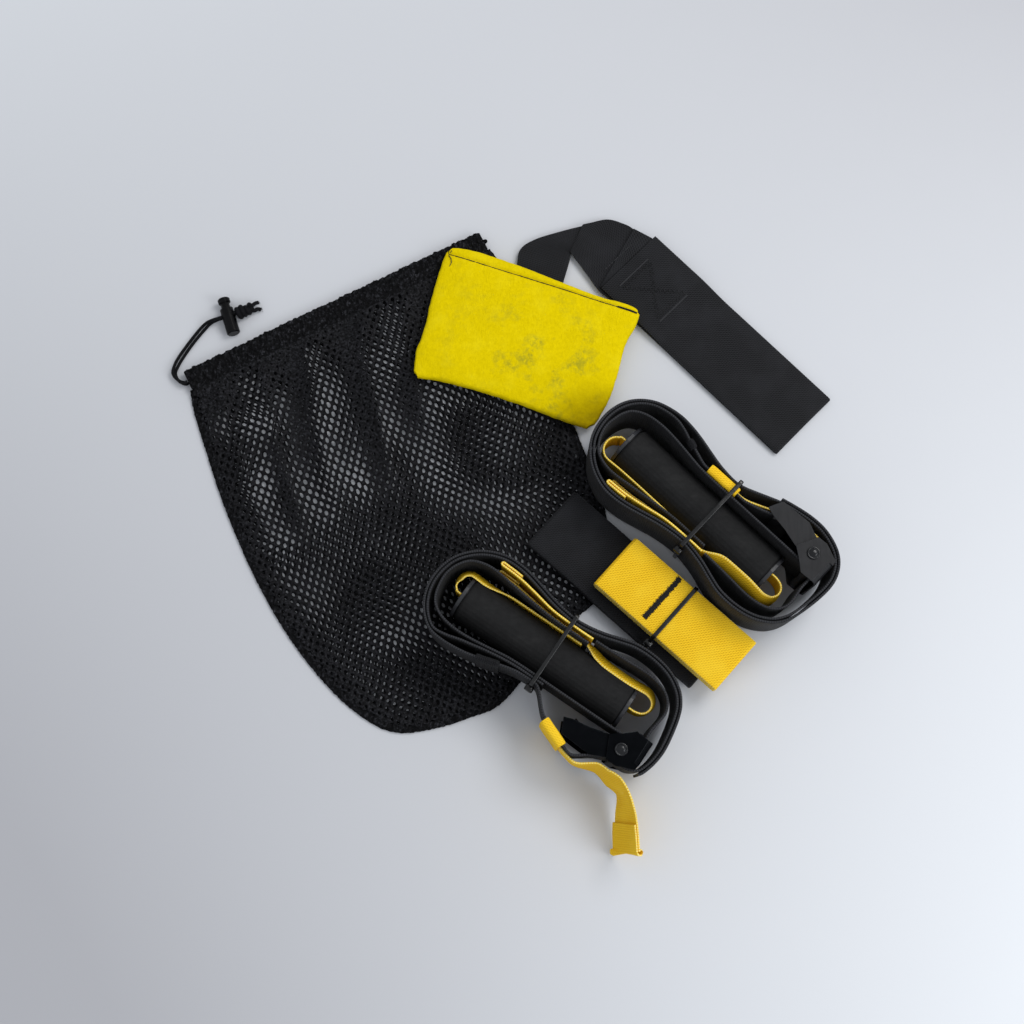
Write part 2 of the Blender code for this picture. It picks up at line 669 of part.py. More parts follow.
def main_strap_route(side):
    """Two turns. The right strap starts in its buckle, and the left one passes through it midway."""
    base = RUN_BASE[side]
    last = WINDING_LAST_INDEX[side]
    if side == "right":
        route = placed(FIRST_RUN_SHARES, base, 1) + turns(side, WINDING_FIRST_INDEX, last)
    else:
        route = placed(LEFT_START_SHARES, LEFT_START, 1)
        route += turns(side, WINDING_FIRST_INDEX, LEFT_FIRST_TURN_END)
        route += placed(LEFT_RUN_SHARES, base, 1)
        route += turns(side, LEFT_SECOND_TURN_START, last) + placed(LEFT_END_SHARES, base, 1)
    return smooth_path(route, WINDING_STEPS)


def strap_at_cam(side):
    return RUN_BASE[side] + FIRST_RUN_AT_CAM * LOBE_RISE


def axle_v(side):
    """The axle's distance from the grip's axis: the strap clears the cam by a set gap."""
    return strap_at_cam(side) - MAIN_THICKNESS / 2 - STRAP_TO_CAM_GAP - CAM_NOSE_RADIUS


def run_between(side, low, high, shift):
    """The strap's run on the buckle's side between two places along the grip, moved outward."""
    route = main_strap_route(side)
    found = []
    for i, point in enumerate(route):
        nearest = abs(point.y - RUN_BASE[side]) < 1.8 * LOBE_RISE and in_buckle_run(side, i, len(route))
        if nearest and low <= point.x <= high:
            ahead = tangent_at(route, i)
            found.append(point + Vector((ahead.y, -ahead.x, 0)) * shift)
    return sorted(found, key=lambda point: point.x)


def keeper_span(side):
    """Where the yellow keeper lies along the grip: the left one keeps its place beside the buckle."""
    if side == "right":
        return tuple(along_grip(share) for share in RIGHT_KEEPER_SHARES)
    return tuple(AXLE_U + place for place in LEFT_KEEPER_FROM_AXLE)


def in_buckle_run(side, index, count):
    """Whether a point of the smoothed route is on the run that passes through the buckle."""
    if side == "right":
        return index < WINDING_STEPS * len(FIRST_RUN_SHARES)
    start = len(LEFT_START_SHARES) + LEFT_FIRST_TURN_END - WINDING_FIRST_INDEX + 1
    return WINDING_STEPS * start <= index < WINDING_STEPS * (start + len(LEFT_RUN_SHARES))


def least_gap(path, thickness):
    """The least free space between a winding's passes, measured from its points to its spans."""
    least = 1.0
    for i, point in enumerate(path):
        for k in range(len(path) - 1):
            if abs(k - i) < 8:
                continue
            start, end = path[k], path[k + 1]
            along = end - start
            share = min(max((point - start).dot(along) / along.length_squared, 0), 1)
            least = min(least, (point - start - along * share).length)
    return least - thickness


def cradle_route(side):
    bar_v = CRADLE_UPPER - MAIN_THICKNESS / 2 - STRAP_TO_CAM_GAP - BAR_RADIUS
    reach = CRADLE_UPPER - bar_v
    centre = Vector((AXLE_U + BAR_OFFSET, bar_v, 0))
    angles = (90, 65, 40, 15, -5)
    round_bar = [
        centre + Vector((math.cos(math.radians(a)), math.sin(math.radians(a)), 0)) * reach for a in angles
    ]
    route = placed(CRADLE_LOWER_SHARES, CRADLE_LOWER, -1)
    route += placed(CRADLE_UPPER_SHARES, CRADLE_UPPER, 1)
    route += round_bar
    route += placed(CRADLE_RETURN_SHARES, YOKE, -1)
    return smooth_path(route, 2)


def half_turn(centre, radius, first, last, steps):
    """Points on an arc between two angles in degrees."""
    found = []
    for k in range(steps + 1):
        angle = math.radians(first + (last - first) * k / steps)
        found.append(centre + Vector((math.cos(angle), math.sin(angle), 0)) * radius)
    return found


def handle_route():
    """Through the tube, round both ends of the grip and back along it, with a hem at one end."""
    turn_u = RING_END + TOUCH_GAP
    left = placed(LEFT_LEG_SHARES, LEFT_LEG, -1)
    left_centre = Vector((-turn_u, -LEFT_TURN_RADIUS, 0))
    right_centre = Vector((turn_u + TURN_LEAD, -RIGHT_TURN_RADIUS, 0))
    route = left + half_turn(left_centre, LEFT_TURN_RADIUS, 270, 90, 6)
    route += [Vector((-GRIP_LENGTH / 4, 0, 0)), Vector((0, 0, 0)), Vector((GRIP_LENGTH / 4, 0, 0))]
    route += [Vector((RING_END, 0, 0))]
    route += half_turn(right_centre, RIGHT_TURN_RADIUS, 90, -90, 6)
    route += placed(RIGHT_LEG_SHARES, RIGHT_LEG, -1)
    return smooth_path(route, 2)


def mirrored(path, hand):
    return [Vector((point.x, hand * point.y, point.z)) for point in path]


def tab_route(side):
    """The pull tab: out of the keeper and past the buckle. The left one ends in a leaning tail."""
    up = Vector((0, 0, 1))
    if side == "right":
        path = smooth_path(placed(RIGHT_TAB_SHARES, RUN_BASE[side] + ADJUSTER_SHIFT, 1), 2)
        return with_hem(path, [up] * len(path), -1, RIGHT_TAB_HEM_LENGTH, HEM_FOLD_PITCH)
    held = run_between(side, *keeper_span(side), ADJUSTER_SHIFT)
    tail = placed([shares[:2] for shares in LEFT_TAB_SHARES], RUN_BASE[side], 1)
    leans = [0] * len(held) + [shares[3] for shares in LEFT_TAB_SHARES]
    path = held + [
        point - up * LEFT_TAB_DROP * shares[2] for point, shares in zip(tail, LEFT_TAB_SHARES)
    ]
    wide = []
    for i, lean in enumerate(leans):
        ahead = tangent_at(path, i)
        outward = Vector((-ahead.y, ahead.x, 0)).normalized()
        wide.append(up * math.cos(math.radians(lean)) - outward * math.sin(math.radians(lean)))
    path = smooth_path(path, 2)
    wide = [direction.normalized() for direction in smooth_path(wide, 2)]
    return with_hem(path, wide, 1, LEFT_TAB_HEM_LENGTH, HEM_FOLD_PITCH)


def buckle_outline(shares, hand):
    points = []
    for reach_share, depth_share in shares:
        reach = EAR_REACH if reach_share > 0 else LEVER_REACH
        points.append((reach_share * reach, hand * depth_share * BUCKLE_HALF_DEPTH))
    return points


def add_grip(side, bundle, foam, plastic):
    half = GRIP_LENGTH / 2
    inner = TUBE_RADIUS + TOUCH_GAP
    edge = FOAM_EDGE
    round_edge = [(math.sin(math.radians(a)), 1 - math.cos(math.radians(a))) for a in (0, 30, 60, 90)]
    profile = [(half - edge + edge * s, FOAM_RADIUS - edge * c) for s, c in round_edge]
    profile += [(half, inner), (-half, inner)]
    profile += [(-half + edge - edge * s, FOAM_RADIUS - edge * c) for s, c in reversed(round_edge)]
    add_mesh(f"grip_foam_{side}", turned(profile, GRIP_SEGMENTS), foam, bundle)

    tube_half = half + RING_LENGTH - RING_LIP - TOUCH_GAP
    tube = ((-tube_half, TUBE_RADIUS), (tube_half, TUBE_RADIUS))
    tube += ((tube_half, TUBE_BORE_RADIUS), (-tube_half, TUBE_BORE_RADIUS))
    add_mesh(f"grip_tube_{side}", turned(tube, GRIP_SEGMENTS), plastic, bundle)

    start = half + TOUCH_GAP
    lip = RING_END - RING_LIP
    bevel = TOUCH_GAP
    ring = (
        (start, inner), (start, RING_RADIUS), (RING_END - bevel, RING_RADIUS),
        (RING_END, RING_RADIUS - bevel), (RING_END, TUBE_BORE_RADIUS), (lip, TUBE_BORE_RADIUS), (lip, inner),
    )
    for end, name in ((-1, "upper"), (1, "lower")):
        shape = turned([(end * along, radius) for along, radius in ring], GRIP_SEGMENTS)
        add_mesh(f"grip_ring_{name}_{side}", shape, plastic, bundle)


def add_strap(name, path, wide, thickness, width, hand, material, parent):
    shape = strap(mirrored(path, hand), thickness, width, mirrored(wide, hand))
    return add_mesh(name, shape, material, parent)


def add_straps(side, bundle, hand, black, yellow):
    up = Vector((0, 0, 1))
    path = handle_route()
    path, wide = with_hem(path, [up] * len(path), 1, HEM_FOLD_LENGTH, HEM_FOLD_PITCH)
    add_strap(f"handle_webbing_{side}", path, wide, YELLOW_THICKNESS, HANDLE_WIDTH, hand, yellow, bundle)

    path = smooth_path(placed(YOKE_SHARES, YOKE, -1), 3)
    path, wide = with_hem(path, [up] * len(path), 1, HEM_FOLD_LENGTH, HEM_FOLD_PITCH)
    add_strap(f"yoke_webbing_{side}", path, wide, YELLOW_THICKNESS, MAIN_WIDTH, hand, yellow, bundle)

    path = cradle_route(side)
    add_strap(f"foot_cradle_{side}", path, [up] * len(path), MAIN_THICKNESS, MAIN_WIDTH, hand, black, bundle)

    path = main_strap_route(side)
    gap = least_gap(path, MAIN_THICKNESS)
    print(f"main_strap_{side}: least gap between turns {gap * 1000:.2f} mm, wanted {LEAST_WINDING_GAP * 1000} mm")
    add_strap(f"main_strap_{side}", path, [up] * len(path), MAIN_THICKNESS, MAIN_WIDTH, hand, black, bundle)

    path, wide = tab_route(side)
    add_strap(f"adjuster_tab_{side}", path, wide, YELLOW_THICKNESS, ADJUSTER_WIDTH, hand, yellow, bundle)


def add_keepers(side, bundle, hand, black, yellow):
    """Sleeves that follow the strap they hold: one for the strap and the tab, one for the strap."""
    up = Vector((0, 0, 1))
    path = mirrored(run_between(side, *keeper_span(side), ADJUSTER_SHIFT / 2 - MAIN_THICKNESS / 20), hand)
    shape = sleeve(path, up, (KEEPER_OUTER, SLEEVE_OUTER_WIDTH), (KEEPER_INNER, SLEEVE_INNER_WIDTH))
    add_mesh(f"strap_keeper_{side}", shape, yellow, bundle)

    path = mirrored(run_between(side, *RIBBED_KEEPER_SPAN[side], 0), hand)
    inner = MAIN_THICKNESS + 2 * SLEEVE_GAP
    outer = inner + 2 * KEEPER_WALL
    shape = sleeve(path, up, (outer, SLEEVE_OUTER_WIDTH), (inner, SLEEVE_INNER_WIDTH))
    add_mesh(f"ribbed_keeper_{side}", shape, black, bundle)


def add_buckle(side, bundle, hand, steel, bright):
    pivot = frame_at(f"buckle_pivot_{side}", (AXLE_U, hand * axle_v(side), 0), 0, bundle)

    ear = buckle_outline(EAR_SHARES, hand)
    frame = add_mesh(f"buckle_frame_{side}", prism(ear, EAR_INNER, EAR_OUTER), steel, pivot)
    combine(frame, "UNION", "lower_ear", prism(ear, -EAR_OUTER, -EAR_INNER))
    seat = EAR_INNER + EAR_THICKNESS / 2
    floor_v = strap_at_cam(side) + MAIN_THICKNESS / 2 + FLOOR_CLEARANCE - axle_v(side)
    floor = [
        (-FLOOR_LEFT, hand * floor_v), (FLOOR_RIGHT, hand * floor_v),
        (FLOOR_RIGHT, hand * (floor_v + FLOOR_THICKNESS)), (-FLOOR_LEFT, hand * (floor_v + FLOOR_THICKNESS)),
    ]
    combine(frame, "UNION", "floor", prism(floor, -seat, seat))
    bar_v = CRADLE_UPPER - MAIN_THICKNESS / 2 - STRAP_TO_CAM_GAP - BAR_RADIUS - axle_v(side)
    combine(frame, "UNION", "bar", prism(disc(BAR_RADIUS, 16, (BAR_OFFSET, hand * bar_v)), -seat, seat))
    combine(frame, "UNION", "rolled_end", rolled_end(hand))
    reach = EAR_OUTER + CUT_OVERRUN
    combine(frame, "DIFFERENCE", "axle_hole", prism(disc(AXLE_RADIUS + PIN_GAP, 20), -reach, reach))

    cheek = buckle_outline(CHEEK_SHARES, hand)
    cam = add_mesh(f"buckle_cam_{side}", prism(cheek, CHEEK_INNER, CHEEK_OUTER), steel, pivot)
    combine(cam, "UNION", "lower_cheek", prism(cheek, -CHEEK_OUTER, -CHEEK_INNER))
    seat = CHEEK_INNER + CHEEK_THICKNESS / 2
    drum_low = -CHEEK_INNER + SPRING_ROOM
    combine(cam, "UNION", "drum", prism(disc(DRUM_RADIUS, 20), drum_low, seat))
    teeth = []
    for k in range(9):
        angle = math.radians(130 - 10 * k)
        radius = CAM_NOSE_RADIUS - (CAM_TOOTH_DEPTH if k % 2 else 0)
        teeth.append((radius * math.cos(angle), hand * radius * math.sin(angle)))
    teeth += [(DRUM_RADIUS / 2, 0), (-DRUM_RADIUS / 2, 0)]
    combine(cam, "UNION", "nose", prism(teeth, drum_low + TOUCH_GAP, CHEEK_INNER - TOUCH_GAP))
    (left, right) = buckle_outline(THUMB_SHARES, hand)
    drop = hand * THUMB_THICKNESS
    thumb = [left, right, (right[0], right[1] - drop), (left[0], left[1] - drop)]
    combine(cam, "UNION", "thumb_plate", prism(thumb, -seat, seat))
    combine(cam, "DIFFERENCE", "axle_bore", prism(disc(AXLE_RADIUS + PIN_GAP, 20), -reach, reach))

    head = EAR_OUTER + TOUCH_GAP
    crown = RIVET_RISE
    profile = [(-head - crown, 0), (-head - 0.8 * crown, RIVET_RADIUS * 0.6), (-head, RIVET_RADIUS)]
    profile += [(-head, AXLE_RADIUS), (head, AXLE_RADIUS)]
    profile += [(head, RIVET_RADIUS), (head + 0.8 * crown, RIVET_RADIUS * 0.6), (head + crown, 0)]
    add_mesh(f"buckle_axle_{side}", turned(profile, 20, "Z"), bright, pivot)

    low = -CHEEK_INNER + SPRING_WIRE
    high = drum_low - SPRING_WIRE
    add_coil(f"buckle_spring_{side}", SPRING_RADIUS, low, high, SPRING_TURNS, SPRING_WIRE, bright, pivot)


def rolled_end(hand):
    """The wall that joins the two ears at the buckle's end, rounded into each of them."""
    middle = EAR_INNER + EAR_THICKNESS / 2
    bend = ROLL_RADIUS
    start = Vector((ROLL_PLACE - bend, 0, middle - bend))
    upper = [Vector((ROLL_START, 0, middle))]
    for k in range(5):
        angle = math.pi / 2 * (1 - k / 4)
        upper.append(start + Vector((bend * math.cos(angle), 0, bend * math.sin(angle))))
    path = upper + [Vector((point.x, 0, -point.z)) for point in reversed(upper)]
    across = Vector((0, 1, 0))
    path = [point - across * hand * ROLL_CENTRE for point in path]
    return strap(path, ROLL_THICKNESS, ROLL_WIDTH, across)


def add_coil(name, radius, low, high, turns, wire, material, parent, axis="Z"):
    points = []
    count = turns * 10
    for k in range(count + 1):
        angle = 2 * math.pi * k / 10
        along = low + (high - low) * k / count
        y, z = radius * math.cos(angle), radius * math.sin(angle)
        points.append((along, y, z) if axis == "X" else (y, z, along))
    return add_cord(name, points, wire, material, parent, sides=1)


def tie_ring(low, high, bottom, top, low_top, low_bottom):
    """A tie's middle line as (across, height), with cut corners. The low side may lie flatter."""
    corner = TIE_CORNER
    share = 0.29 * corner
    middle = (low + high) / 2
    return (
        (high, bottom + corner), (high, top - corner), (high - share, top - share), (high - corner, top),
        (middle, top), (low + corner, low_top), (low + share, low_top - share), (low, low_top - corner),
        (low, low_bottom + corner), (low + share, low_bottom + share), (low + corner, low_bottom),
        (middle, bottom), (high - corner, bottom), (high - share, bottom + share),
    )


def add_tie(name, ring, along, material, parent):
    """A cable tie round the points of a ring."""
    path = [Vector((along, across, height)) for across, height in ring]
    shape = strap(path, TIE_THICKNESS, TIE_WIDTH, Vector((1, 0, 0)), closed=True)
    return add_mesh(name, shape, material, parent)


def add_side_head(tie, edge, along, head_side):
    """The tie's head and its cut tail, on one side of the bundle."""
    near = edge - head_side * TIE_THICKNESS / 3
    far = edge + head_side * TIE_HEAD_DEPTH
    low = (along - TIE_HEAD_WIDTH / 2, min(near, far), TIE_HEAD_PLACE - TIE_HEAD_LENGTH / 2)
    high = (along + TIE_HEAD_WIDTH / 2, max(near, far), TIE_HEAD_PLACE + TIE_HEAD_LENGTH / 2)
    combine(tie, "UNION", "head", box(low, high))
    tail = edge + head_side * TIE_TAIL_OFFSET
    low = (along - TIE_WIDTH / 2, tail - TIE_THICKNESS / 2, TIE_HEAD_PLACE - TIE_TAIL_LENGTH)
    high = (along + TIE_WIDTH / 2, tail + TIE_THICKNESS / 2, TIE_HEAD_PLACE)
    combine(tie, "UNION", "tail", box(low, high))


def add_bundle_tie(side, bundle, hand, head_side, material):
    clear = TOUCH_GAP + TIE_SLACK + TIE_THICKNESS / 2
    low_side = INNER_PASS + PITCH + MAIN_THICKNESS / 2 + clear
    over_strap = MAIN_WIDTH / 2 + clear
    if side == "right":
        high_side = OUTER_PASS + MAIN_THICKNESS / 2 + clear
        over_keeper = SLEEVE_OUTER_WIDTH / 2 + clear
    else:
        high_side = RUN_BASE[side] + MAIN_THICKNESS / 2 + clear
        over_keeper = over_strap
    ring = tie_ring(-low_side, high_side, -over_keeper, over_keeper, over_strap, -over_strap)
    ring = [(hand * across, height) for across, height in ring]
    place = along_grip(TIE_PLACE_SHARE[side])
    tie = add_tie(f"cable_tie_{side}", ring, place, material, bundle)
    edge = min(across for across, height in ring)
    add_side_head(tie, edge, place, head_side)


def add_bundle(side, hand, head_side, place, heading, kit):
    """One handle with everything that is wound round it."""
    bundle = frame_at(f"bundle_{side}", place, heading, kit)
    black = finish("black_webbing", BLACK, 0.85)
    yellow = finish("yellow_webbing", YELLOW, 0.75)
    add_grip(side, bundle, finish("foam", SOFT_BLACK, 0.9), finish("grip_plastic", RING_GREY, 0.45))
    add_straps(side, bundle, hand, black, yellow)
    add_keepers(side, bundle, hand, black, yellow)
    add_buckle(side, bundle, hand, finish("black_steel", STEEL_BLACK, 0.4, 0.6), finish("steel", BRIGHT_STEEL, 0.3, 1.0))
    add_bundle_tie(side, bundle, hand, head_side, finish("tie_plastic", BLACK, 0.3))


def add_anchor(kit):
    """Black and yellow webbing, each folded into a stack, under one cable tie."""
    anchor = frame_at("anchor", (*ANCHOR_PLACE, 0), ANCHOR_HEADING, kit)
    across = Vector((0, 1, 0))
    stack = folded_stack(
        ANCHOR_BLACK_LAYERS, -ANCHOR_BLACK_UPPER_END, ANCHOR_BLACK_LOWER_END, ANCHOR_BASE,
        ANCHOR_BLACK_THICKNESS, ANCHOR_LAYER_GAP,
    )
    path = [Vector((along, -ANCHOR_BLACK_OFFSET, height)) for along, height in stack]
    shape = strap(path, ANCHOR_BLACK_THICKNESS, ANCHOR_BLACK_WIDTH, across)
    add_mesh("anchor_black_webbing", shape, finish("black_webbing", BLACK, 0.85), anchor)

    half = ANCHOR_YELLOW_LENGTH / 2
    stack = folded_stack(
        ANCHOR_YELLOW_LAYERS, -half, half, ANCHOR_YELLOW_BASE, ANCHOR_YELLOW_THICKNESS, ANCHOR_LAYER_GAP
    )
    path = [Vector((along, 0, height)) for along, height in stack]
    shape = strap(path, ANCHOR_YELLOW_THICKNESS, ANCHOR_YELLOW_WIDTH, across)
    add_mesh("anchor_yellow_webbing", shape, finish("yellow_webbing", YELLOW, 0.75), anchor)

    clear = TOUCH_GAP + TIE_THICKNESS / 2
    corner = TIE_CORNER
    share = 0.29 * corner
    low = -ANCHOR_BLACK_OFFSET - ANCHOR_BLACK_WIDTH / 2 - clear
    high = ANCHOR_YELLOW_WIDTH / 2 + clear
    bottom = ANCHOR_BASE - clear
    top = ANCHOR_TOP + clear
    ring = (
        (high, bottom + corner), (high, top - corner), (high - share, top - share), (high - corner, top),
        (0, top), (corner - high, top), (-high, top - share), (low + share, ANCHOR_YELLOW_BASE + share),
        (low, ANCHOR_YELLOW_BASE - share), (low, bottom + corner), (low + share, bottom + share),
        (low + corner, bottom), (0, bottom), (high - corner, bottom), (high - share, bottom + share),
    )
    tie = add_tie("anchor_cable_tie", ring, 0, finish("tie_plastic", BLACK, 0.3), anchor)
    across, height = ANCHOR_TIE_HEAD
    half = Vector((TIE_HEAD_WIDTH, TIE_HEAD_DEPTH, TIE_HEAD_LENGTH)) / 2
    middle = Vector((0, -across, height))
    combine(tie, "UNION", "head", box(middle - half, middle + half))


def pad_grid():
    """A crowned pad on a flat base, its sides drawn in a little between the corners."""
    columns, rows = PAD_COLUMNS, PAD_ROWS
    tops, bottoms = [], []
    for r in range(rows + 1):
        for c in range(columns + 1):
            s = 2 * c / columns - 1
            t = 2 * r / rows - 1
            x = s * (PAD_LENGTH / 2 - PAD_DRAW_IN * (1 - t * t))
            y = t * (PAD_WIDTH / 2 - PAD_DRAW_IN * (1 - s * s))
            crown = math.sqrt(max((1 - s**4) * (1 - t**4), 0))
            tops.append((x, y, PAD_BASE + PAD_RIM + PAD_CROWN * crown))
            bottoms.append((x, y, PAD_BASE))
    wide = columns + 1
    count = wide * (rows + 1)
    faces = []
    for r in range(rows):
        for c in range(columns):
            a = r * wide + c
            faces.append((a, a + 1, a + wide + 1, a + wide))
            faces.append((count + a + wide, count + a + wide + 1, count + a + 1, count + a))
    rim = list(range(wide))
    rim += [r * wide + columns for r in range(1, rows + 1)]
    rim += [rows * wide + c for c in range(columns - 1, -1, -1)]
    rim += [r * wide for r in range(rows - 1, 0, -1)]
    for a, b in zip(rim, rim[1:] + rim[:1]):
        faces.append((a, b, count + b, count + a))
    return tops + bottoms, faces


def add_door_anchor(kit):
    """The pad that goes behind a door, with its narrow strap sewn between layers of the wide one."""
    felt = finish("felt", FELT_YELLOW, 0.95)
    black = finish("black_webbing", BLACK, 0.85)
    pad_frame = frame_at("pad_frame", (*PAD_PLACE, 0), PAD_HEADING, kit)
    pad = add_mesh("door_pad_cover", pad_grid(), felt, pad_frame)
    core_base = PAD_BASE + CORE_RISE
    core_half = Vector((CORE_LENGTH / 2, CORE_WIDTH / 2, 0))
    low = (-core_half.x, -core_half.y, core_base)
    high = (core_half.x, core_half.y, core_base + CORE_THICKNESS)
    add_mesh("door_pad_core", box(low, high), finish("core", CORE_GREY, 0.8), pad_frame)
    room = LAYER_GAP
    low = tuple(value - room for value in low)
    high = tuple(value + room for value in high)
    combine(pad, "DIFFERENCE", "core_room", box(low, high))
    slot_base = PAD_BASE + CORE_SLOT_RISE
    low = (-CORE_SLOT_WIDTH / 2, 0, slot_base)
    high = (CORE_SLOT_WIDTH / 2, PAD_WIDTH / 2 + CUT_OVERRUN, slot_base + CORE_SLOT_HEIGHT)
    combine(pad, "DIFFERENCE", "core_slot", box(low, high))

    lower = DOOR_STRAP_THICKNESS + 2 * TOUCH_GAP + TOUCH_GAP
    narrow_base = lower + TOUCH_GAP
    outline = [
        (x * NARROW_STRAP_SPAN - NARROW_STRAP_LEFT, PAD_WIDTH / 2 - NARROW_STRAP_TUCK + y * NARROW_STRAP_RISE)
        for x, y in NARROW_STRAP_SHARES
    ]
    shape = prism(outline, narrow_base, narrow_base + NARROW_STRAP_THICKNESS)
    add_mesh("door_strap_narrow", shape, black, pad_frame)

    strap_frame = frame_at("wide_strap_frame", (*WIDE_STRAP_PLACE, 0), WIDE_STRAP_HEADING, kit)
    thickness = DOOR_STRAP_THICKNESS
    pitch = thickness + DOOR_STRAP_GAP
    bottom = TOUCH_GAP + thickness / 2
    top = bottom + pitch
    over_narrow = narrow_base + NARROW_STRAP_THICKNESS + TOUCH_GAP + thickness / 2
    half = WIDE_STRAP_LENGTH / 2
    fold = half - pitch / 2 - thickness / 2
    route = [(-half, over_narrow), (-0.62 * half, over_narrow), (-0.45 * half, over_narrow)]
    route += [(-0.2 * half, top), (0, top), (0.6 * half, top), (fold, top)]
    for k in range(1, 6):
        angle = math.pi * k / 6
        route.append((fold + pitch / 2 * math.sin(angle), bottom + pitch / 2 * (1 + math.cos(angle))))
    route += [(fold, bottom), (0.3 * half, bottom), (-0.4 * half, bottom), (-0.95 * half, bottom)]
    path = [Vector((along, 0, height)) for along, height in route]
    shape = strap(path, thickness, WIDE_STRAP_WIDTH, Vector((0, 1, 0)))
    add_mesh("door_strap_wide", shape, black, strap_frame)


def inset_outline(path, distance):
    """The path moved inward, to its left, by a distance."""
    moved = []
    for i, point in enumerate(path):
        ahead = tangent_at(path, i)
        moved.append(point + Vector((-ahead.y, ahead.x, 0)) * distance)
    return moved


def add_bag(kit):
    """Two mesh panels sewn together on three sides, with a hem for the cord on each at the mouth."""
    bag = frame_at("bag", (*BAG_PLACE, 0), BAG_HEADING, kit)
    mesh_cloth = finish("mesh_cloth", BLACK, 0.9)
    edge = [Vector((x * BAG_WIDTH, -y * BAG_DEPTH, 0)) for x, y in BAG_SHARES]
    edge = smooth_path(edge, 2)
    up = Vector((0, 0, 1))
    seam = [point + up * SEAM_THICKNESS / 2 for point in inset_outline(edge, SEAM_WIDTH / 2)]
    add_mesh("bag_seam", strap(seam, SEAM_WIDTH, SEAM_THICKNESS, up), mesh_cloth, bag)

    panel = inset_outline(edge, SEAM_WIDTH + TOUCH_GAP)
    mouth = -HEM_WIDTH - TOUCH_GAP
    outline = [(panel[0].x, mouth)] + [(p.x, p.y) for p in panel if p.y < mouth - HEM_WIDTH / 2]
    outline += [(panel[-1].x, mouth)]
    add_mesh("bag_back_panel", prism(outline, 0, PANEL_THICKNESS), mesh_cloth, bag)
    front = PANEL_THICKNESS + PANEL_GAP
    add_mesh("bag_front_panel", prism(outline, front, front + PANEL_THICKNESS), mesh_cloth, bag)

    for name, base in (("back", 0), ("front", TOP_HEM_BASE)):
        middle = base + HEM_THICKNESS / 2
        ends = (HEM_END_SETBACK, BAG_WIDTH - HEM_END_SETBACK)
        path = [Vector((x, -HEM_WIDTH / 2, middle)) for x in ends]
        shape = sleeve(path, up, (HEM_WIDTH, HEM_THICKNESS), (HEM_CHANNEL_WIDTH, HEM_CHANNEL_HEIGHT))
        add_mesh(f"bag_hem_{name}", shape, mesh_cloth, bag)
    add_cord_in_hem(bag)


def add_cord_in_hem(bag):
    """The drawcord's run inside both hems, turning from one to the other at the mouth's right end."""
    low = HEM_THICKNESS / 2
    high = TOP_HEM_BASE + HEM_THICKNESS / 2
    far = BAG_WIDTH - HEM_END_SETBACK
    y = -HEM_WIDTH / 2
    radius = (high - low) / 2
    points = [Vector((HEM_END_SETBACK + (far - HEM_END_SETBACK) * k / 8, y, low)) for k in range(9)]
    for k in range(1, 8):
        angle = math.pi * k / 8
        points.append(Vector((far + radius * math.sin(angle), y, low + radius * (1 - math.cos(angle)))))
    points += [Vector((far - (far - HEM_END_SETBACK) * k / 8, y, high)) for k in range(9)]
    add_cord("drawcord_in_hem", points, CORD_DIAMETER, finish("cord", BLACK, 0.8), bag)


def hem_exit(height):
    """Where the cord leaves the hem at the mouth's left end, on the table."""
    turn = BAG_HEADING
    x = HEM_END_SETBACK - TOUCH_GAP
    y = -HEM_WIDTH / 2
    return Vector((
        BAG_PLACE[0] + x * math.cos(turn) - y * math.sin(turn),
        BAG_PLACE[1] + x * math.sin(turn) + y * math.cos(turn),
        height,
    ))


def add_drawcord(kit):
    """The two free strands from the hem through the lock, and the knot that ends them."""
    cord = finish("cord", BLACK, 0.8)
    out = Vector((-math.cos(BAG_HEADING), -math.sin(BAG_HEADING), 0))
    along = Vector((-math.sin(LOCK_HEADING), math.cos(LOCK_HEADING), 0))
    if along.x < 0:
        along = -along
    centre = Vector(LOCK_PLACE)
    up = Vector((0, 0, 1))
    middle = [Vector((BAG_PLACE[0] + x, BAG_PLACE[1] + y, height)) for x, y, height, turn in CORD_ROUTE]
    ends = (("lower", -1, HEM_THICKNESS / 2), ("upper", 1, TOP_HEM_BASE + HEM_THICKNESS / 2))
    for name, sign, exit_height in ends:
        start = hem_exit(exit_height)
        route = [start, start + out * CORD_EXIT_RUN]
        for i, (point, (x, y, height, turn)) in enumerate(zip(middle, CORD_ROUTE)):
            beside = up.cross(tangent_at(middle, i)).normalized()
            angle = math.radians(turn)
            route.append(point + (beside * math.cos(angle) + up * math.sin(angle)) * sign * STRAND_RISE)
        through = centre + up * sign * STRAND_RISE
        last = LOCK_RADIUS + TOUCH_GAP
        route += [through, through + along * last]
        points = [start] + evenly(smooth_path(route[1:], 6), CORD_POINT_SPACING * CORD_DIAMETER)
        strand = add_cord(f"drawcord_{name}_strand", points, CORD_DIAMETER, cord, kit)
        CORD_NODES.append(strand.name)
    heading = math.atan2(along.y, along.x)
    start = centre + along * (LOCK_RADIUS + 2 * TOUCH_GAP)
    knot_frame = frame_at("knot_frame", start, heading, kit)
    shares = ((0, 0), (0, 0.55), (0.15, 0.9), (0.35, 1.0), (0.55, 0.92), (0.7, 0.6), (0.85, 0.8), (1, 0.5), (1, 0))
    profile = [(a * KNOT_LENGTH, r * KNOT_RADIUS) for a, r in shares]
    knot = add_mesh("drawcord_knot", turned(profile, KNOT_SEGMENTS), cord, knot_frame)
    CORD_NODES.append(knot.name)


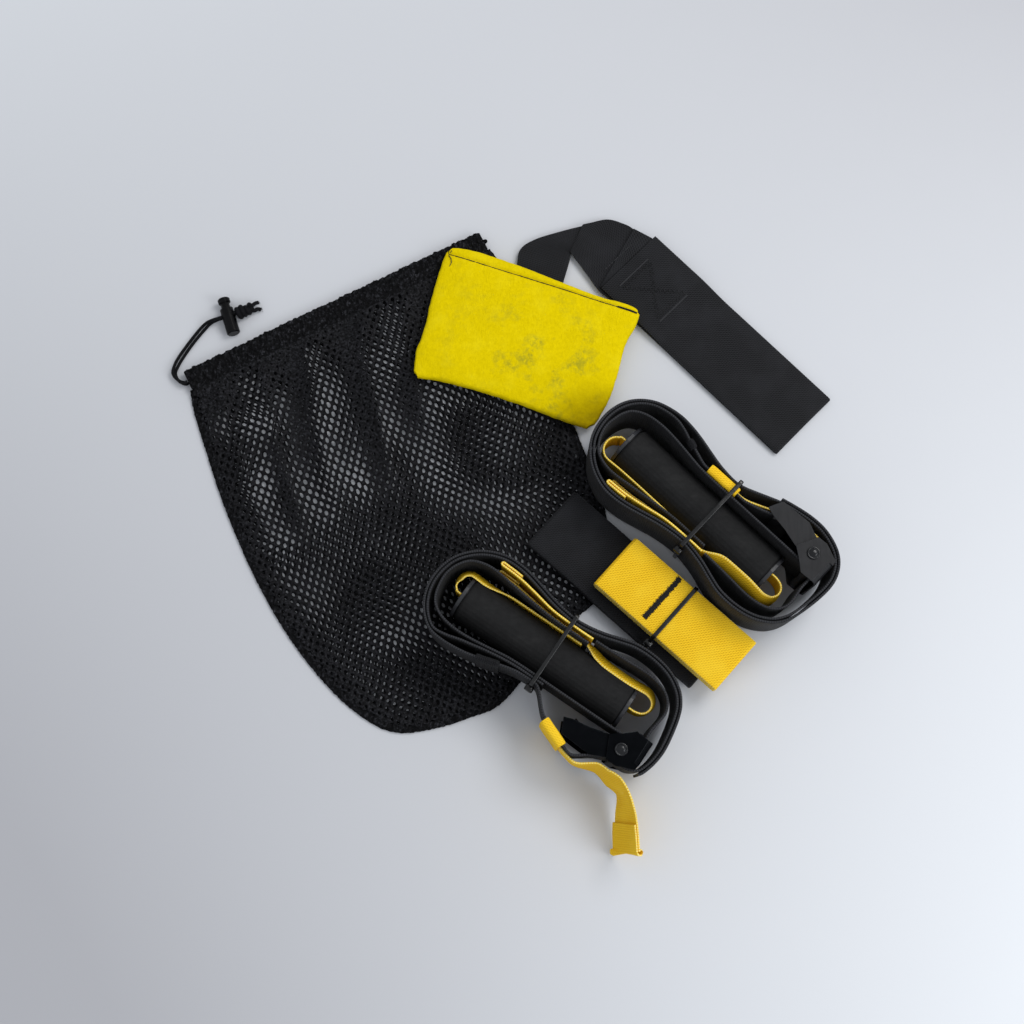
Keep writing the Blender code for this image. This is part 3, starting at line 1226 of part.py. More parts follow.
def add_cord_lock(kit):
    """A barrel lying on its side: the cord passes through it and through its sprung plunger."""
    plastic = finish("lock_plastic", BLACK, 0.25)
    lock = frame_at("cord_lock", LOCK_PLACE, LOCK_HEADING + math.pi, kit)
    bottom = -LOCK_CORD_PLACE
    top = bottom + LOCK_LENGTH
    floor = bottom + LOCK_FLOOR
    bevel = TOUCH_GAP * 2
    profile = (
        (bottom, 0), (bottom, LOCK_RADIUS - bevel), (bottom + bevel, LOCK_RADIUS), (top, LOCK_RADIUS),
        (top, LOCK_BORE_RADIUS), (floor, LOCK_BORE_RADIUS), (floor, 0),
    )
    body = add_mesh("cord_lock_body", turned(profile, LOCK_SEGMENTS), plastic, lock)
    half = LOCK_SLOT_WIDTH / 2
    reach = LOCK_RADIUS + CUT_OVERRUN
    low = (-half, -reach, -LOCK_SLOT_HEIGHT / 2)
    high = (half, reach, LOCK_SLOT_HEIGHT / 2)
    combine(body, "DIFFERENCE", "cord_slot", box(low, high))

    stem_low = -half - PLUNGER_TAIL
    neck_top = top + PLUNGER_NECK
    profile = (
        (stem_low, 0), (stem_low, PLUNGER_RADIUS), (top, PLUNGER_RADIUS), (top + bevel, PLUNGER_NECK_RADIUS),
        (neck_top, PLUNGER_NECK_RADIUS), (neck_top, PLUNGER_HEAD_RADIUS - bevel),
        (neck_top + bevel, PLUNGER_HEAD_RADIUS), (neck_top + PLUNGER_HEAD_LENGTH - bevel, PLUNGER_HEAD_RADIUS),
        (neck_top + PLUNGER_HEAD_LENGTH, PLUNGER_HEAD_RADIUS - bevel), (neck_top + PLUNGER_HEAD_LENGTH, 0),
    )
    plunger = add_mesh("cord_lock_plunger", turned(profile, LOCK_SEGMENTS), plastic, lock)
    low = (-half, -reach, -LOCK_SLOT_HEIGHT / 2)
    high = (half + PLUNGER_TRAVEL, reach, LOCK_SLOT_HEIGHT / 2)
    combine(plunger, "DIFFERENCE", "cord_slot", box(low, high))

    spring_low = floor + TOUCH_GAP + LOCK_SPRING_WIRE / 2
    spring_high = stem_low - TOUCH_GAP - LOCK_SPRING_WIRE / 2
    spring = add_coil(
        "cord_lock_spring", LOCK_SPRING_RADIUS, spring_low, spring_high, LOCK_SPRING_TURNS,
        LOCK_SPRING_WIRE, finish("steel", BRIGHT_STEEL, 0.3, 1.0), lock, axis="X",
    )
    CORD_NODES.extend([body.name, plunger.name, spring.name])


def centre_on_origin(kit):
    """Moves the kit so that the origin lies under the middle of its box, the free cord left out."""
    bpy.context.view_layer.update()
    graph = bpy.context.evaluated_depsgraph_get()
    corners = []
    for obj in bpy.context.view_layer.objects:
        if obj.type not in ("MESH", "CURVE") or obj.hide_render or obj.name in CORD_NODES:
            continue
        shape = obj.evaluated_get(graph)
        mesh = shape.to_mesh()
        corners += [shape.matrix_world @ vertex.co for vertex in mesh.vertices]
        shape.to_mesh_clear()
    middle = [(min(c[k] for c in corners) + max(c[k] for c in corners)) / 2 for k in range(2)]
    kit.location = (-middle[0], -middle[1], -min(c.z for c in corners))
    bpy.context.view_layer.update()
    size = [max(c[k] for c in corners) - min(c[k] for c in corners) for k in range(3)]
    print("kit moved by", [round(v, 5) for v in kit.location], "size", [round(v, 4) for v in size])


def main():
    clear_scene()
    kit = frame_at("kit", (0, 0, 0), 0, None)
    add_bag(kit)
    add_drawcord(kit)
    add_cord_lock(kit)
    add_door_anchor(kit)
    add_anchor(kit)
    place = (*RIGHT_BUNDLE_PLACE, RIGHT_BUNDLE_HEIGHT)
    add_bundle("right", 1, -1, place, RIGHT_BUNDLE_HEADING, kit)
    place = (*LEFT_BUNDLE_PLACE, LEFT_BUNDLE_HEIGHT)
    add_bundle("left", -1, -1, place, LEFT_BUNDLE_HEADING, kit)
    centre_on_origin(kit)


main()
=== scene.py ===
"""Looks of a suspension trainer packed flat: two wound handles, an anchor and a door anchor on a mesh bag.

Metres, +Z up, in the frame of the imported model. The sizes and routes that come first are the part's own,
and the pieces made here lie where its solids lie.
"""

import math
import random

import bmesh
import bpy
from mathutils import Matrix, Vector, noise

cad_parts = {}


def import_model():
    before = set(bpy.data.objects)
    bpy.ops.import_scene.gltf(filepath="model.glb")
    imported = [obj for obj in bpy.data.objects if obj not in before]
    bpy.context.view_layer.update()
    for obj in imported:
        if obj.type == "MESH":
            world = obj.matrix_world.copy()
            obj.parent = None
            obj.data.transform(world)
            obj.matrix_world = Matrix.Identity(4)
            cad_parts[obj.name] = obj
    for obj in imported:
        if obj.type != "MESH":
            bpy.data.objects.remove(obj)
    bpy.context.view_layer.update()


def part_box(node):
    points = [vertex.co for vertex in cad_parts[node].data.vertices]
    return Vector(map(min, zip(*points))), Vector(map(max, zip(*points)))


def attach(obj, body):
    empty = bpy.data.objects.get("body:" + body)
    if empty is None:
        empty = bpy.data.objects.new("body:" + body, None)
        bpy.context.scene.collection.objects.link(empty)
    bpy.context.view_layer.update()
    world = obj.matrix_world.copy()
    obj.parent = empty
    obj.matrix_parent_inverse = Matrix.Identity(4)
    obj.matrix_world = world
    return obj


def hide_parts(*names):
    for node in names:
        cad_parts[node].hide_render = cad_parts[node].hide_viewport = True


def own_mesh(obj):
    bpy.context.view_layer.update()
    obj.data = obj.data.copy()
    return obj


UP = Vector((0, 0, 1))

# Clearances
TOUCH_GAP = 0.0003
LAYER_GAP = 0.00045
WINDING_GAP = 0.00064
SLEEVE_GAP = 0.00035
STRAP_TO_CAM_GAP = 0.0004

# Webbing
MAIN_WIDTH = 0.038
MAIN_THICKNESS = 0.0015
HANDLE_WIDTH = 0.019
YELLOW_THICKNESS = 0.0012
ADJUSTER_WIDTH = 0.030
HEM_FOLD_LENGTH = 0.012
HEM_FOLD_PITCH = 0.0017

# Grip
GRIP_LENGTH = 0.1126
FOAM_RADIUS = 0.01425
RING_LENGTH = 0.0025
LEFT_TURN_RADIUS = 0.0080
RIGHT_TURN_RADIUS = 0.0085
TURN_LEAD = 0.0032

# Folds and stacks of webbing
FOLD_STEPS = 6
STACK_SHARES = (0.02, 0.35, 0.65, 0.98)

# Wound loop
LEFT_LOOP_ROOM = 0.0208
RIGHT_LOOP_ROOM = 0.0307
BUCKLE_LOBE_SPAN = 0.0895
LOBE_RISE = 0.01335
WAIST_END_SHARE = 0.335
WINDING_FIRST_INDEX = 11
WINDING_LAST_INDEX = {"right": 55, "left": 51}
LEFT_FIRST_TURN_END = 26
LEFT_SECOND_TURN_START = 36
WINDING_STEPS = 2

# Keepers
KEEPER_WALL = 0.0012
RIGHT_KEEPER_SHARES = (-0.1558, 0.1743)
LEFT_KEEPER_FROM_AXLE = (-0.0452, -0.0238)
RIBBED_KEEPER_SPAN = {"right": (-0.0358, -0.0204), "left": (-0.0330, -0.0160)}

# Cam buckle
BUCKLE_SETBACK = 0.0091
CHEEK_THICKNESS = 0.0009
EAR_THICKNESS = 0.0012
RIVET_RISE = 0.0008
BAR_RADIUS = 0.0025
BAR_OFFSET = 0.0050

# Cable ties
TIE_THICKNESS = 0.0011
TIE_WIDTH = 0.0026
TIE_PLACE_SHARE = {"right": 0.1006, "left": 0.0559}
TIE_CORNER = 0.0008
TIE_CORNER_SHARE = 0.29
TIE_SLACK = 0.0004
TIE_HEAD_LENGTH = 0.0054
TIE_HEAD_WIDTH = 0.0052
TIE_HEAD_DEPTH = 0.0042
TIE_HEAD_PLACE = 0.012
TIE_HEAD_BEND = 0.0008
TIE_HEAD_PROFILE = ((-0.5, 0.72), (-0.42, 0.93), (-0.25, 1.0), (0.25, 1.0), (0.42, 0.95), (0.5, 0.78))
TIE_TAIL_LENGTH = 0.013
TIE_TAIL_OFFSET = 0.0020

# Places on the table, from the photograph
RIGHT_BUNDLE_PLACE = (0.1113, -0.0036)
RIGHT_BUNDLE_HEADING = math.radians(-43.8)
LEFT_BUNDLE_PLACE = (0.0190, -0.0898)
LEFT_BUNDLE_HEADING = math.radians(-34.3)
ANCHOR_PLACE = (0.0970, -0.0660)
ANCHOR_HEADING = math.radians(-42.1)
PAD_PLACE = (0.0066, 0.1076)
PAD_HEADING = math.radians(-18.5)
WIDE_STRAP_PLACE = (0.1286, 0.1082)
WIDE_STRAP_HEADING = math.radians(-45.1)
BAG_MOUTH_END = (-0.018687, 0.184488)
BAG_HEADING = math.radians(26.8)

# Suspension anchor
ANCHOR_BLACK_WIDTH = 0.044
ANCHOR_BLACK_THICKNESS = 0.0016
ANCHOR_BLACK_LAYERS = 4
ANCHOR_BLACK_UPPER_END = 0.096
ANCHOR_BLACK_LOWER_END = 0.037
ANCHOR_BLACK_OFFSET = 0.004
ANCHOR_YELLOW_WIDTH = 0.038
ANCHOR_YELLOW_THICKNESS = 0.0014
ANCHOR_YELLOW_LAYERS = 6
ANCHOR_YELLOW_LENGTH = 0.096
ANCHOR_LAYER_GAP = 0.0005
ANCHOR_TIE_HEAD = (0.0236, 0.0163)

# Door anchor
PAD_LENGTH = 0.122
PAD_WIDTH = 0.086
PAD_RIM = 0.0030
PAD_CROWN = 0.0040
WIDE_STRAP_LENGTH = 0.1532
WIDE_STRAP_WIDTH = 0.050
DOOR_STRAP_THICKNESS = 0.0016
DOOR_STRAP_GAP = 0.0005
NARROW_STRAP_THICKNESS = 0.0014
NARROW_STRAP_SPAN = 0.0828
NARROW_STRAP_RISE = 0.0621
NARROW_STRAP_TUCK = 0.007
NARROW_STRAP_LEFT = 0.0223

# Bag
BAG_WIDTH = 0.214
BAG_DEPTH = 0.275
PANEL_THICKNESS = 0.0010
PANEL_GAP = 0.00075
SEAM_WIDTH = 0.006
SEAM_THICKNESS = 0.0024
HEM_WIDTH = 0.014
HEM_THICKNESS = 0.0030
HEM_END_SETBACK = 0.003

# Drawcord and its lock
CORD_DIAMETER = 0.0020
CORD_POINT_SPACING = 2.5
LOCK_FROM_BAG = (0.0295, 0.0385, 0.0044)
LOCK_HEADING = math.radians(-71.6)
LOCK_RADIUS = 0.0042

# The wound loop's outline, anticlockwise from its right end: share of the reach along u, share of
# the lobe's rise beyond the waist, and which side of the grip the point is on.
LOOP_SHARES = (
    (1.000, -1.247, 1), (0.972, -0.124, 1), (0.872, 0.625, 1), (0.704, 1.000, 1), (0.536, 0.948, 1),
    (0.369, 0.700, 1), (0.201, 0.251, 1), (0.078, 0.000, 1), (-0.103, 0.101, 1), (-0.320, 0.400, 1),
    (-0.551, 0.550, 1), (-0.782, 0.213, 1), (-0.942, -0.648, 1), (-1.000, -1.847, 1),
    (-0.955, -0.824, -1), (-0.808, 0.150, -1), (-0.603, 0.637, -1), (-0.385, 0.562, -1),
    (-0.141, 0.187, -1), (0.078, 0.000, -1), (0.268, 0.187, -1), (0.469, 0.562, -1),
    (0.670, 0.524, -1), (0.838, 0.075, -1), (0.950, -0.861, -1),
)

# The main strap's first run, from the buckle through the yellow keeper to the left lobe
FIRST_RUN_SHARES = (
    (0.785, 0.790), (0.737, 0.831), (0.648, 0.846), (0.536, 0.742), (0.425, 0.502), (0.313, 0.217),
    (0.223, 0.045), (0.184, 0.000), (0.067, 0.000), (-0.077, 0.000), (-0.173, 0.000),
    (-0.256, 0.150), (-0.385, 0.400), (-0.551, 0.700),
)

# The left strap's start under the tie, its run through the buckle and keeper, and its end
LEFT_START_SHARES = (
    (0.120, 0.000), (0.056, 0.000), (-0.060, 0.000), (-0.160, 0.030), (-0.260, 0.100),
    (-0.385, 0.220), (-0.551, 0.420),
)
LEFT_RUN_SHARES = (
    (0.914, 0.637), (0.866, 0.809), (0.821, 0.831), (0.737, 0.831), (0.670, 0.966),
    (0.603, 1.251), (0.547, 1.521), (0.493, 1.648), (0.373, 1.333), (0.254, 1.019), (0.190, 0.682),
    (0.128, 0.232), (0.089, 0.030), (0.056, 0.000), (0.011, 0.000), (-0.077, 0.030),
    (-0.173, 0.150), (-0.256, 0.292), (-0.385, 0.502), (-0.551, 0.682),
)
LEFT_END_SHARES = ((0.939, 0.742),)
CRADLE_LOWER_SHARES = (
    (0.212, 0.000), (0.100, 0.000), (-0.077, 0.015), (-0.282, 0.127), (-0.487, 0.277),
    (-0.667, 0.367), (-0.820, 0.075), (-0.902, -0.719),
)
CRADLE_UPPER_SHARES = (
    (-0.905, -0.944), (-0.859, -0.210), (-0.744, 0.195), (-0.577, 0.300), (-0.385, 0.195),
    (-0.205, 0.045), (-0.051, 0.000), (0.134, 0.000), (0.335, 0.000), (0.514, 0.000), (0.670, 0.000),
)
CRADLE_RETURN_SHARES = (
    (0.853, -1.839), (0.864, -1.315), (0.867, -0.865), (0.832, -0.378), (0.754, -0.056),
    (0.637, 0.079), (0.492, 0.049), (0.358, 0.011), (0.246, 0.000),
)
LEFT_LEG_SHARES = ((0.179, 0.000), (0.045, 0.000), (-0.154, 0.000), (-0.385, 0.000), (-0.615, 0.015))
RIGHT_LEG_SHARES = (
    (0.581, -0.202), (0.469, -0.202), (0.369, -0.172), (0.290, -0.052), (0.223, 0.000),
    (0.100, 0.000), (-0.103, 0.030), (-0.282, 0.157), (-0.436, 0.277), (-0.590, 0.322),
)
YOKE_SHARES = (
    (0.223, 0.000), (0.100, 0.000), (-0.103, 0.056), (-0.282, 0.258), (-0.436, 0.416), (-0.603, 0.476),
)
RIGHT_TAB_SHARES = (
    (-0.103, 0.000), (0.067, 0.000), (0.174, 0.000), (0.246, 0.135), (0.335, 0.390), (0.447, 0.689),
    (0.559, 0.899), (0.648, 0.965), (0.737, 0.970), (0.782, 0.950), (0.821, 0.760), (0.849, 0.530),
    (0.866, 0.360),
)
RIGHT_TAB_HEM_LENGTH = 0.005

# The left tab's loose tail: share of the reach, share of the rise, share of its drop, lean in degrees
LEFT_TAB_SHARES = (
    (0.553, 1.828, 0.000, 0), (0.626, 1.648, 0.000, 4), (0.693, 1.431, 0.000, 9),
    (0.760, 1.440, 0.020, 11), (0.838, 1.500, 0.120, 20), (0.939, 1.715, 0.320, 14),
    (1.017, 2.285, 0.640, 28), (1.095, 2.996, 0.880, 35), (1.162, 3.596, 1.000, 36),
)
LEFT_TAB_DROP = 0.0100
LEFT_TAB_HEM_LENGTH = 0.014

# The bag's edge from the left end of the mouth, down, along the bottom and up: shares of width, depth
BAG_SHARES = (
    (-0.010, 0.090), (-0.028, 0.188), (-0.050, 0.336), (-0.057, 0.511), (-0.041, 0.668),
    (0.000, 0.807), (0.052, 0.900), (0.111, 0.955), (0.203, 0.984), (0.318, 1.000), (0.428, 1.000),
    (0.636, 0.925), (0.790, 0.895), (0.862, 0.850), (0.932, 0.724), (0.967, 0.526), (0.985, 0.300),
    (1.000, 0.090),
)

# The drawcord's free route from the bag's corner to the lock: x and y from the corner,
# the pair's height, and its turn in degrees: 0 is side by side, 90 is one strand above the other
CORD_ROUTE = (
    (0.00040, -0.00440, 0.00300, 90), (-0.00270, -0.00180, 0.00265, 75), (-0.00360, 0.00230, 0.00215, 55),
    (-0.00160, 0.00850, 0.00170, 30), (0.00250, 0.01600, 0.00135, 8), (0.00720, 0.02320, 0.00125, 0),
    (0.01250, 0.03020, 0.00150, 12), (0.01580, 0.03325, 0.00240, 45), (0.01840, 0.03479, 0.00375, 75),
    (0.02040, 0.03547, 0.00440, 90), (0.02420, 0.03673, 0.00440, 90),
)
CORD_EXIT_RUN = 0.0020
STRAND_RISE = 0.00120

# The braid of the cord
BRAID_PITCH = 0.0016
BRAID_SPACING = 0.00035
BRAID_SIDES = 14
BRAID_DIP = 0.10

# The knot behind the lock, along the cord from the lock's face: its wraps, its core and two frayed ends
KNOT_STEPS = 80
KNOT_TURNS = 3.1
KNOT_START_ANGLE = 0.6
KNOT_START = 0.0014
KNOT_SPAN = 0.0088
KNOT_REACH = 0.0024
KNOT_SWELL = 0.0006
KNOT_FLATNESS = 0.95
KNOT_WRAP_RADIUS = 0.00172
KNOT_CORE_RADIUS = 0.00200
KNOT_CORE = (
    (-0.0002, 0, 0), (0.0022, 0.0004, 0), (0.0050, -0.0003, 0.0002), (0.0088, 0, 0),
    (0.0118, 0.0006, -0.0004),
)
CORD_END_RADIUS = 0.00125
CORD_ENDS = (
    (
        (0.0098, 0.0006, 0.0004), (0.0118, 0.0018, 0.0004), (0.0138, 0.0028, -0.0004),
        (0.0156, 0.0031, -0.0012),
    ),
    (
        (0.0098, -0.0008, -0.0006), (0.0120, -0.0013, -0.0014), (0.0140, -0.0007, -0.0020),
        (0.0158, -0.0015, -0.0026),
    ),
)
FRAYS_PER_END = 9
FRAY_RADIUS = 0.00011
FRAY_LEAN = (0.0016, 0.0016, 0.0009)
FRAY_START = (-0.0006, 0.0005, 0.0004)
FRAY_BEND = (0.0004, 0.0006)

# Sizes that follow from the ones above
PITCH = MAIN_THICKNESS + WINDING_GAP
LOOP_POINTS = len(LOOP_SHARES)
RING_END = GRIP_LENGTH / 2 + RING_LENGTH
LEFT_REACH = RING_END + LEFT_LOOP_ROOM
RIGHT_REACH = RING_END + RIGHT_LOOP_ROOM
WAIST_END = RIGHT_REACH - (1 - WAIST_END_SHARE) * BUCKLE_LOBE_SPAN
KEEPER_INNER = MAIN_THICKNESS + YELLOW_THICKNESS + 3 * SLEEVE_GAP
KEEPER_OUTER = KEEPER_INNER + 2 * KEEPER_WALL
SLEEVE_INNER_WIDTH = MAIN_WIDTH + 2 * SLEEVE_GAP
SLEEVE_OUTER_WIDTH = SLEEVE_INNER_WIDTH + 2 * KEEPER_WALL
CRADLE_UPPER = FOAM_RADIUS + 0.4 * MAIN_THICKNESS + MAIN_THICKNESS / 2
KEEPER_PLACE = CRADLE_UPPER + MAIN_THICKNESS / 2 + LAYER_GAP + KEEPER_OUTER / 2
MAIN_IN_KEEPER = KEEPER_PLACE - KEEPER_INNER / 2 + SLEEVE_GAP + MAIN_THICKNESS / 2
ADJUSTER_SHIFT = MAIN_THICKNESS / 2 + SLEEVE_GAP + YELLOW_THICKNESS / 2
LEFT_START = CRADLE_UPPER + MAIN_THICKNESS + LAYER_GAP
RUN_BASE = {"right": MAIN_IN_KEEPER, "left": LEFT_START + MAIN_THICKNESS + LAYER_GAP}
OUTER_PASS = KEEPER_PLACE + KEEPER_OUTER / 2 + LAYER_GAP + MAIN_THICKNESS / 2
LEFT_LEG = FOAM_RADIUS + LAYER_GAP + YELLOW_THICKNESS / 2
CRADLE_LOWER = LEFT_LEG + YELLOW_THICKNESS / 2 + LAYER_GAP + MAIN_THICKNESS / 2
RIGHT_LEG = CRADLE_LOWER + MAIN_THICKNESS / 2 + LAYER_GAP + YELLOW_THICKNESS / 2
YOKE = RIGHT_LEG + YELLOW_THICKNESS + LAYER_GAP
INNER_PASS = YOKE + YELLOW_THICKNESS / 2 + LAYER_GAP + MAIN_THICKNESS / 2
AXLE_U = RING_END + BUCKLE_SETBACK
CHEEK_INNER = MAIN_WIDTH / 2 + TOUCH_GAP
CHEEK_OUTER = CHEEK_INNER + CHEEK_THICKNESS
EAR_INNER = CHEEK_OUTER + TOUCH_GAP
EAR_OUTER = EAR_INNER + EAR_THICKNESS
RIGHT_BUNDLE_HEIGHT = EAR_OUTER + TOUCH_GAP + RIVET_RISE + TOUCH_GAP
BAG_TOP = max(2 * PANEL_THICKNESS + PANEL_GAP, SEAM_THICKNESS)
LEFT_BUNDLE_HEIGHT = BAG_TOP + TOUCH_GAP + SLEEVE_OUTER_WIDTH / 2
TOP_HEM_BASE = HEM_THICKNESS + TOUCH_GAP
PAD_BASE = TOP_HEM_BASE + HEM_THICKNESS + TOUCH_GAP
ANCHOR_BASE = BAG_TOP + LAYER_GAP
BAG_PLACE = (
    BAG_MOUTH_END[0] - BAG_WIDTH * math.cos(BAG_HEADING),
    BAG_MOUTH_END[1] - BAG_WIDTH * math.sin(BAG_HEADING),
)
LOCK_PLACE = (BAG_PLACE[0] + LOCK_FROM_BAG[0], BAG_PLACE[1] + LOCK_FROM_BAG[1], LOCK_FROM_BAG[2])
LOCK_CORD_AXIS = Vector((-math.sin(LOCK_HEADING), math.cos(LOCK_HEADING), 0))
ANCHOR_BLACK_PITCH = ANCHOR_BLACK_THICKNESS + ANCHOR_LAYER_GAP
ANCHOR_BLACK_TOP = ANCHOR_BASE + ANCHOR_BLACK_LAYERS * ANCHOR_BLACK_PITCH - ANCHOR_LAYER_GAP
ANCHOR_YELLOW_BASE = ANCHOR_BLACK_TOP + LAYER_GAP
ANCHOR_YELLOW_PITCH = ANCHOR_YELLOW_THICKNESS + ANCHOR_LAYER_GAP
ANCHOR_TOP = ANCHOR_YELLOW_BASE + ANCHOR_YELLOW_LAYERS * ANCHOR_YELLOW_PITCH - ANCHOR_LAYER_GAP
NARROW_BASE = DOOR_STRAP_THICKNESS + 4 * TOUCH_GAP
NARROW_MIDDLE = NARROW_BASE + NARROW_STRAP_THICKNESS / 2

KIT_MOVE = Vector((0.00331, 0.00695, 0))
CAMERA_ELEVATION = math.radians(78)
CAMERA_DISTANCE = 0.8818
WORLD_STRENGTH = 0.63
WORLD_TINT = (0.93, 0.96, 1.0, 1)
KEY_POWER = 8.6
KEY_TINT = (1.0, 0.985, 0.96)
WINDOW_POWER = 5.4
WINDOW_TINT = (0.95, 0.98, 1.0)

# Mesh cloth and its folds: each fold is a crest line, its height and its width
NET_PITCH_ACROSS = 0.00525
NET_PITCH_DOWN = 0.0068
NET_HOLE_ACROSS = 0.00118
NET_HOLE_DOWN = 0.00188
NET_BACK_GROW = 1.14
NET_THICKNESS = 0.00048
NET_TURN = math.radians(0.8)
NET_TOP_SHARE = 0.84
NET_INSET_SHARE = 0.62
YARN_ROUND = 0.00042
YARN_ROUND_RISE = 0.85
BACK_MIDDLE = 0.00045
BACK_HEM_RISE = 0.0010
BACK_HEM_FADE = 0.010
BACK_DRIFT = 0.0036
FRONT_MIDDLE = 0.00225
FRONT_HEM_RISE = 0.0027
FRONT_HEM_FADE = 0.012
FRONT_DRIFT = 0.0010
FRONT_FLUTTER = 0.00035
FOLD_TOP_FADE = 0.018
FOLD_FOOT_FADE = 0.050
FOLD_PULL = 0.30
BAND_TOP_FADE = 0.008
BAND_FOOT_FADE_SHARE = 0.35

# The cells of the net: their corners as shares of the pitches, then which corners of a cell and of its
# hole the triangles between them join
CELL_CORNERS = (
    (0.5, 0.10103), (0, 0.39897), (-0.5, 0.10103), (-0.5, -0.10103), (0, -0.39897), (0.5, -0.10103),
)
HOLE_SIDES = 8
CELL_TO_HOLE = ((0, 0), (0, 1), (1, 2), (2, 3), (3, 4), (3, 5), (4, 6), (5, 7))
HOLE_TO_CELL = ((0, 2), (1, 3), (2, 4), (3, 6), (4, 7), (5, 0))

# How far the holes are open: the least or the loss, then where it starts and ends
OPEN_BY_HEM = (0.30, 0.018, 0.044)
OPEN_BY_SEAM = (0.62, 0.006, 0.018)
OPEN_LOSS_BELOW = (0.10, 0.095, 0.150)
OPEN_PATCHES = 0.010
OPEN_WANDER = 0.16
OPEN_JITTER = 0.10
BUNCHED_CLOSING = 0.62
BACK_BUNCHED_SHARE = 0.35
FULLY_OPEN = 1.02

# Where the bundle, the anchor and the pad press the front layer flat: from and to, across and down
PRESSED_AREAS = (((0.060, 0.085), (0.150, 0.185)), ((0.115, 0.140), (0.130, 0.160)))
BAG_FOLDS = (
    (((0.084, -0.012), (0.067, -0.060), (0.056, -0.100), (0.050, -0.150)), 0.0042, 0.0075),
    (((0.050, -0.012), (0.038, -0.058), (0.031, -0.104), (0.027, -0.150)), 0.0030, 0.0070),
    (((0.122, -0.012), (0.104, -0.060), (0.094, -0.110), (0.088, -0.160)), 0.0030, 0.0080),
    (((0.020, -0.012), (0.011, -0.060), (0.007, -0.110), (0.006, -0.140)), 0.0022, 0.0055),
    (((0.150, -0.012), (0.138, -0.040), (0.128, -0.080), (0.120, -0.120)), 0.0022, 0.0060),
)
# Where the front layer is bunched and its holes all but close: a line and its half width
NET_BANDS = (
    (((0.076, -0.012), (0.055, -0.061), (0.044, -0.105)), 0.0075),
    (((0.049, -0.012), (0.036, -0.058), (0.028, -0.105), (0.023, -0.150)), 0.0060),
    (((0.108, -0.012), (0.098, -0.060), (0.088, -0.104), (0.078, -0.153)), 0.0080),
    (((0.158, -0.012), (0.128, -0.070), (0.110, -0.116)), 0.0080),
    (((0.172, -0.012), (0.160, -0.050), (0.150, -0.090)), 0.0060),
)
# Where light comes through both layers close to the mouth: a line and its half width
NET_OPENS = (
    (((0.038, -0.012), (0.034, -0.080)), 0.0100),
    (((0.085, -0.014), (0.075, -0.055), (0.064, -0.112)), 0.0085),
    (((0.139, -0.010), (0.126, -0.068)), 0.0150),
    (((0.024, -0.040), (0.024, -0.066)), 0.0060),
)

# The yarn of the hem and of the seam: each row of lumps has its length along, across and in height
SEAM_TOP_SHARE = 0.86
SEAM_END_SHARE = 0.006
SEAM_SPACING = 0.0006
SEAM_SIDES = 24
SEAM_LUMPS = ((0.0021, 1.9, 1.9), (0.0009, 4.0, 4.0))
OVERLOCK_PITCH = 0.0031
HEM_STEPS = 900
HEM_SIDES = 60
HEM_LUMPS = ((0.0036, 2.3, 1.4), (0.0013, 5.6, 3.0), (0.0006, 11.0, 6.0))
HEM_PINCH = 0.95
HEM_PINCH_LENGTH = 0.0040
HEM_SQUARENESS = 0.55
HEM_WANDER = 0.0004
GATHER_PITCH = 0.0047

# How much the yarn's gathers and lumps change its reach, its height and how far it stands out: a base,
# then a weight for the gather or overlock loop and for each row of lumps
HEM_RUFFLE = (0, 0.030, 0.080, 0.085, 0.045)
HEM_HEIGHT = (0.74, 0.06, 0.18, 0.26, 0.22)
# How far the hem's yarn stands out also sets where it gets its painted highlight
HEM_STAND = (0.5, 0, 0, 0.9, 1.1)
SEAM_REACH = (0.88, 0.05, 0.13, 0.07)
SEAM_HEIGHT = (0.82, 0.08, 0.15, 0.10)
# The same for the seam's yarn, which takes the hem's look
SEAM_STAND = (0.5, 0, 0.9, 0.9)

# The left tab's tail at its end: how far it is turned upright, and how far it is lifted
TAIL_TURN_SHARE = 0.36
TAIL_LIFT = 0.0020
TAIL_TURN_FROM_END = (0.095, 0.050)

# The upper half of the handle webbing leans over the grip. Both windows are shares of the strap's length.
# The first says where the lean starts and is whole past the far turn, and where it starts to end before
# the tie. The second says where it starts, is whole and ends round the near turn
LEAN_WINDOW = (-0.02, 0.03, -0.05)
NEAR_LEAN_WINDOW = (-0.11, -0.05, 0.02)
LEAN_COVER = 0.95
LEAN_EXTRA = 0.0016
LEAN_AT_NEAR_TURN = 0.0036

# Woven edges, sleeves, threads and ties: shares of their thickness, then lengths
EDGE_BEND_SHARE = 0.45
EDGE_SHOULDER_SHARE = 0.72
EDGE_CUT_SHARE = 0.3
EDGE_NOTCH = 0.0001
RIBBON_SPACING = 0.0009
SLEEVE_SPACING = 0.001
SLEEVE_BEND_SHARE = 0.9
SLEEVE_INNER_BEND_SHARE = 0.3
SLEEVE_TUCK = 0.00025
SLEEVE_TUCK_LENGTH = 0.0012
RIB_SPACING = 0.0004
RIB_DEPTH = 0.0004
RIB_PITCH = 0.0012
THREAD_END_SHARE = 0.45
STITCH_SINK = 0.6
TIE_SPACING = 0.0008
TIE_TAIL_SPACING = 0.0006
TIE_TAIL_NOTCH = 0.0002

